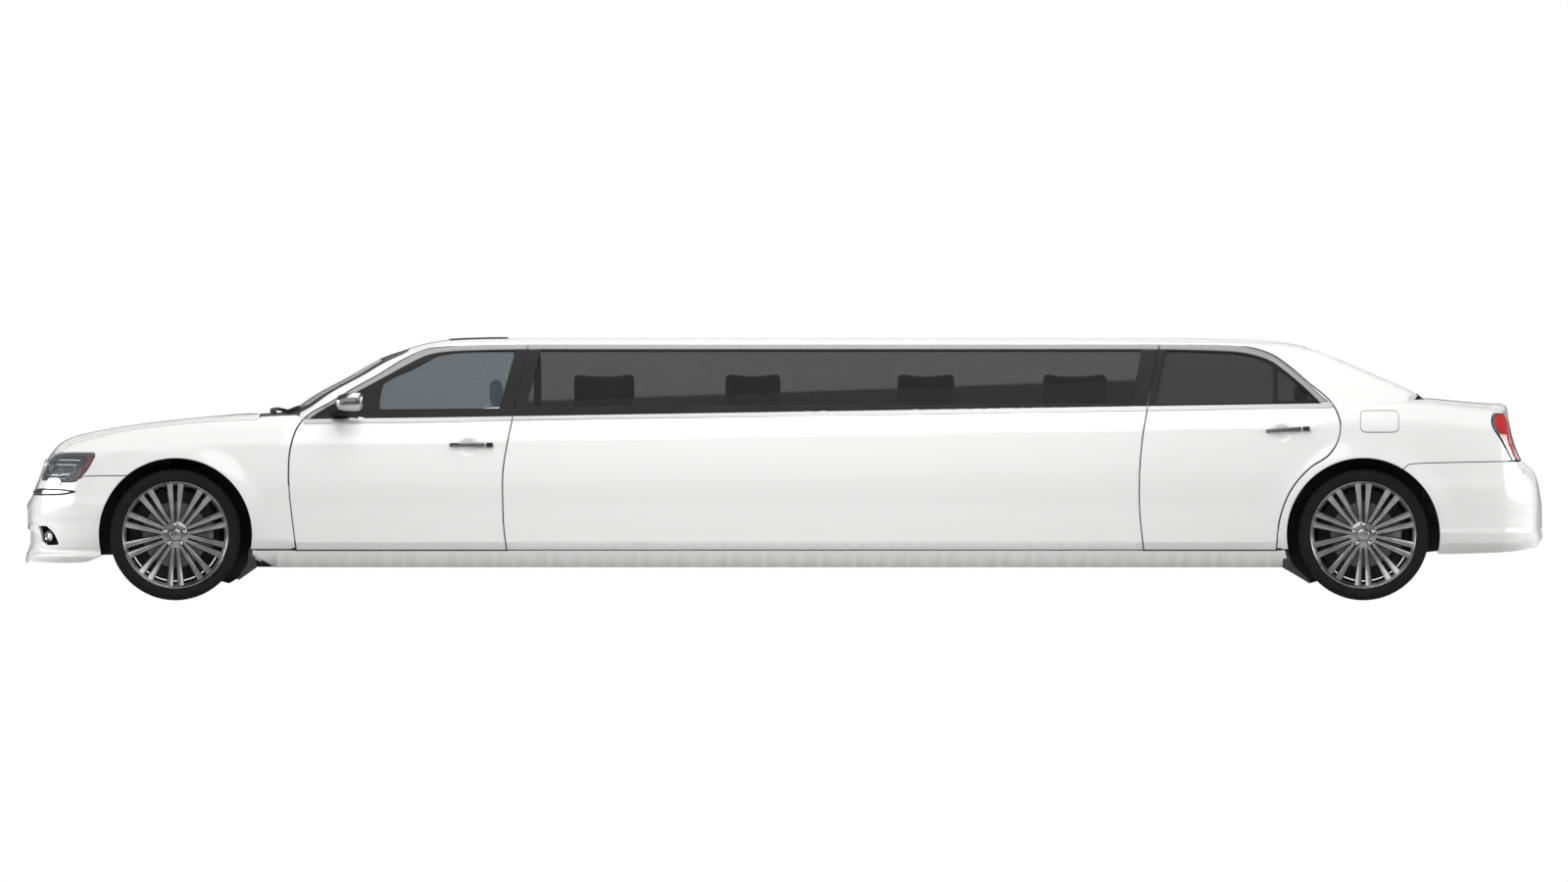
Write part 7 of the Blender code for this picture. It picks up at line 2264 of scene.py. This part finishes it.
# engine bay and boot, seen when the hood and the lid are open
bays = {
    "linerInset": 0.0375, "linerDepth": 0.008, "ribPitch": 0.026,
    "boxes": (("trayLeft", (0.39, 0.62), (-0.36, 0.4), (0.738, 0.745)),
              ("trayRight", (-0.62, -0.39), (-0.36, 0.4), (0.738, 0.745)),
              ("battery", (0.41, 0.58), (0.14, 0.38), (0.7455, 0.88)),
              ("batteryLid", (0.407, 0.583), (0.137, 0.383), (0.8805, 0.898)),
              ("airBox", (0.4, 0.59), (-0.33, -0.02), (0.7455, 0.805)),
              ("airBoxLid", (0.395, 0.595), (-0.335, -0.015), (0.8055, 0.832)),
              ("fuseBox", (-0.575, -0.405), (-0.28, -0.06), (0.7455, 0.812)),
              ("fuseBoxLid", (-0.58, -0.4), (-0.285, -0.055), (0.8125, 0.832)),
              ("coolantTank", (-0.575, -0.405), (0.04, 0.3), (0.7455, 0.87))),
    "caps": (("coolantCap", (-0.49, 0.12, 0.87), 0.028, 0.022),    # place, radius, height
             ("batteryPost", (0.45, 0.18, 0.898), 0.009, 0.014),
             ("batteryPostFar", (0.54, 0.18, 0.898), 0.009, 0.014)),
    "hoses": (("airDuct", ((0.41, -0.22, 0.8), (0.34, -0.3, 0.805), (0.2, -0.395, 0.805),
                           (0.04, -0.4, 0.805)), 0.034, 0.003),    # radius and ridges
              ("upperHose", ((-0.24, -0.545, 0.66), (-0.26, -0.48, 0.76), (-0.24, -0.38, 0.8),
                             (-0.2, -0.3, 0.8)), 0.021, 0.0),
              ("heaterHose", ((-0.28, 0.36, 0.78), (-0.33, 0.4, 0.83), (-0.4, 0.37, 0.84),
                              (-0.45, 0.29, 0.82)), 0.012, 0.0)),
}


def lidLiner(name, outline, body, only):
    # a felt pad under a lid, with its quilted lines sunk in
    def quilt(a, b):
        return -0.004 * (0.5 + 0.5 * math.cos(2 * math.pi * a / 0.18)) ** 8
    panel(name, smoothLoop(outline, radius=0.05), "top", depth=bays["linerDepth"],
        grid=(0.03, 0.03), inset=bays["linerInset"], body=body, material="liner_felt", only=only,
        push=quilt)


def hose(name, points, radius, material, ridge):
    # a bent tube through a few points; ridge gives it the rings of an air duct
    points = [Vector(p) for p in points]
    chord = np.cumsum([0] + [(b - a).length for a, b in zip(points, points[1:])])
    count = max(8, int(chord[-1] / (0.006 if ridge else 0.02)))
    path = through(chord, np.array(points), np.linspace(0, chord[-1], count))
    ups = [(0, 0.3, 1)] * count
    verts, faces = sweep(path, roundSection(radius, 14), ups)
    if ridge:
        verts = [v + (v - Vector(path[i // 14])).normalized() * ridge * (i // 14 % 2) for i,
            v in enumerate(verts)]
    solid(name, (verts, faces), material, slot="black_plastic")


def makeEngineBay():
    tall = front(0.0)
    cover = [(-0.17, tall - 0.36), (0.17, tall - 0.36), (0.17, tall + 0.2), (0.12, tall + 0.34),
        (-0.12, tall + 0.34), (-0.17, tall + 0.2)]
    bolt = rowTree("boltRow", finishes["dull_steel"])
    for side, name in ((1, "valveCoverLeft"), (-1, "valveCoverRight")):
        across = sorted((side * 0.185, side * 0.285))
        solid(name, blockMesh(across, (tall - 0.33, tall + 0.31), (0.8405, 0.868)), "engine_metal",
            bevel=0.01)
        for edge, label in ((0.197, "Inner"), (0.273, "Outer")):
            head = revolve([(0.001, 0), (0.007, 0), (0.007, 0.004), (0.001, 0.004)], 6, "z",
                (side * edge, tall - 0.3, 0.8675))
            grown(bolt, name + label + "Bolts", head,
                {"Count": 7, "Start": (0, 0, 0), "Step": (0, 0.096, 0)}, "dull_steel")
    solid("engineCover", plate(roundCorners(cover, 0.05), 0.8405, 0.884, "z"), "black_plastic",
        bevel=0.01)
    rib = rowTree("coverRib", finishes["black_plastic"])
    grown(rib, "engineCoverRibs",
        blockMesh((-0.0045, 0.0045), (tall - 0.28, tall + 0.16), (0.8835, 0.8885)),
        {"Count": 7, "Start": (-3 * bays["ribPitch"], 0, 0), "Step": (bays["ribPitch"], 0, 0)},
        "black_plastic")
    cap = [(0.001, 0), (0.026, 0), (0.03, 0.004), (0.03, 0.02), (0.024, 0.026), (0.001, 0.026)]
    solid("oilCap", revolve(cap, 28, "z", (0.235, tall - 0.2, 0.8675)), "black_plastic")
    # everything beside the block stands on trays over the steered wheels
    for name, x, y, z in bays["boxes"]:
        light = name == "coolantTank"
        solid(name, blockMesh(x, (front(y[0]), front(y[1])), z), "headlining" if light
            else "black_plastic", slot="black_plastic", bevel=0.012)
    for name, place, r, high in bays["caps"]:
        turned = revolve([(0.001, 0), (r, 0), (r, high * 0.8), (r * 0.85, high), (0.001, high)],
            20, "z", (place[0], front(place[1]), place[2]))
        solid(name, turned, "engine_metal" if "Post" in name else "black_plastic",
            slot="black_plastic")
    for name, points, radius, ridge in bays["hoses"]:
        hose(name, [(x, front(y), z) for x, y, z in points], radius, "black_plastic" if ridge
            else "rubber_seal", ridge)
    shroud = [(0.17, -0.02), (0.19, -0.02), (0.19, 0.025), (0.17, 0.025)]
    solid("fanShroud", revolve(shroud, 48, "y", (0.0, front(-0.535), 0.515)), "black_plastic")
    hood = [(-0.62, front(-0.58)), (0.62, front(-0.58)), (0.7, front(-0.2)), (0.7, front(0.34)),
        (-0.7, front(0.34)), (-0.7, front(-0.2))]
    lidLiner("hoodLiner", hood, "hood", "lower")


def makeBoot():
    floorTop, back = 0.4405, rear(0.86)
    walls = (("bootFloor", (-0.655, 0.655), (rear(0.335), back), (floorTop, floorTop + 0.01)),
        ("bootFront", (-0.655, 0.655), (rear(0.33), rear(0.342)), (floorTop, 1.02)),
        ("bootSideLeft", (0.648, 0.658), (rear(0.335), rear(0.8)), (floorTop, 1.0)),
        ("bootSideRight", (-0.658, -0.648), (rear(0.335), rear(0.8)), (floorTop, 1.0)),
        ("bootBack", (-0.655, 0.655), (rear(0.82), rear(0.832)), (floorTop, 0.7)))
    for name, x, y, z in walls:
        solid(name, blockMesh(x, y, z), "carpet", slot="black_plastic", bevel=0.003)
    lid = [(-0.54, rear(0.4)), (0.54, rear(0.4)), (0.57, rear(0.74)), (-0.57, rear(0.74))]
    lidLiner("lidLiner", lid, "trunk_lid", "lower")


makeEngineBay()
makeBoot()
print("engine bay and boot done")


# floor, light and camera
studio = {
    "viewWidth": 8.72,        # metres across the view
    "viewCentre": (-0.005, 0.886),
    "keyPower": 815, "sidePower": 92, "backPower": 90,
    "world": 0.15, "nosePower": 600, "tailPower": 640,
}


def makeStage():
    floorMesh = bpy.data.meshes.new("floor")
    floorMesh.from_pydata([(-40, -40, 0), (40, -40, 0), (40, 40, 0), (-40, 40, 0)], [],
        [(0, 1, 2, 3)])
    floor = bpy.data.objects.new("studioFloor", floorMesh)
    bpy.context.scene.collection.objects.link(floor)
    pale = Finish("studio_floor", "studioFloor", roughness=0.9)
    cloud = pale.noise(0.5, 2.0)
    seen = pale.blend(cloud, rgb(0.8), rgb(0.83))
    direct = pale.add("LightPath", out="Is Camera Ray")
    for kind in ("Is Glossy Ray", "Is Transmission Ray"):
        direct = direct.math("MAXIMUM", pale.add("LightPath", out=kind))
    pale.paint(base_color=pale.blend(direct, rgb(0.26), seen))
    x, y, z = pale.split()
    beyond = ((abs(y) - 3.4).math("MAXIMUM", 0.0) ** 2 + x * x) ** 0.5
    glow = pale.add("Emission", inputs={"Color": rgb(1), "Strength": 1.0})
    share = beyond.band(1.9, 5.0) * pale.add("LightPath", out="Is Camera Ray")
    fade = pale.add("MixShader", inputs={0: share, 2: glow})
    pale.tree.links.new(pale.shader.outputs[0], fade.out.node.inputs[1])
    pale.tree.links.new(fade.out, pale.output.inputs["Surface"])
    floorMesh.materials.append(pale.material)

    world = bpy.data.worlds.new("studio")
    bpy.context.scene.world = world
    world.use_nodes = True
    tree = world.node_tree
    ground = tree.nodes["Background"]
    ground.inputs["Color"].default_value = (1, 1, 1, 1)
    ground.inputs["Strength"].default_value = studio["world"]
    seen = tree.nodes.new("ShaderNodeBackground")
    seen.inputs["Color"].default_value = (1, 1, 1, 1)
    seen.inputs["Strength"].default_value = 1.0
    path = tree.nodes.new("ShaderNodeLightPath")
    either = tree.nodes.new("ShaderNodeMath")
    either.operation = "MAXIMUM"
    tree.links.new(path.outputs["Is Camera Ray"], either.inputs[0])
    tree.links.new(path.outputs["Is Transmission Ray"], either.inputs[1])
    mix = tree.nodes.new("ShaderNodeMixShader")
    tree.links.new(either.outputs[0], mix.inputs[0])
    tree.links.new(ground.outputs[0], mix.inputs[1])
    tree.links.new(seen.outputs[0], mix.inputs[2])
    tree.links.new(mix.outputs[0], tree.nodes["World Output"].inputs["Surface"])

    def softLight(name, place, aim, size, power):
        data = bpy.data.lights.new(name, "AREA")
        data.shape = "RECTANGLE"
        data.size, data.size_y = size
        data.energy = power
        lamp = bpy.data.objects.new(name, data)
        bpy.context.scene.collection.objects.link(lamp)
        lamp.location = place
        lamp.rotation_euler = (Vector(aim) - Vector(place)).to_track_quat("-Z", "Y").to_euler()

    softLight("overhead", (1.6, 0, 5.6), (0, 0, 0), (6.0, 16), studio["keyPower"])
    softLight("leftWall", (8.5, 0, 2.8), (0, 0, 0.9), (18, 3.0), studio["sidePower"])
    softLight("frontWall", (2.0, -11, 2.4), (0, -3, 0.6), (9, 3), studio["nosePower"])
    softLight("rearWall", (2.0, 11, 2.4), (0, 3, 0.6), (9, 3), studio["tailPower"])
    softLight("rightWall", (-8.0, 0, 3.2), (0, 0, 0.8), (16, 3), studio["backPower"])

    lens = bpy.data.cameras.new("camera")
    lens.type = "ORTHO"
    lens.ortho_scale = studio["viewWidth"]
    camera = bpy.data.objects.new("camera", lens)
    bpy.context.scene.collection.objects.link(camera)
    camera.location = (30, studio["viewCentre"][0], studio["viewCentre"][1])
    camera.rotation_euler = (math.pi / 2, 0, math.pi / 2)
    bpy.context.scene.camera = camera
    bpy.context.scene.view_settings.view_transform = "Standard"


makeStage()
for nodeName, node in frame["nodes"].items():
    for entry in frame["record"]["subparts"]:
        if entry["node"] == nodeName:
            finish = finishes.get(entry["material_slot"])
            node.data.materials.clear()
            node.data.materials.append(finish)
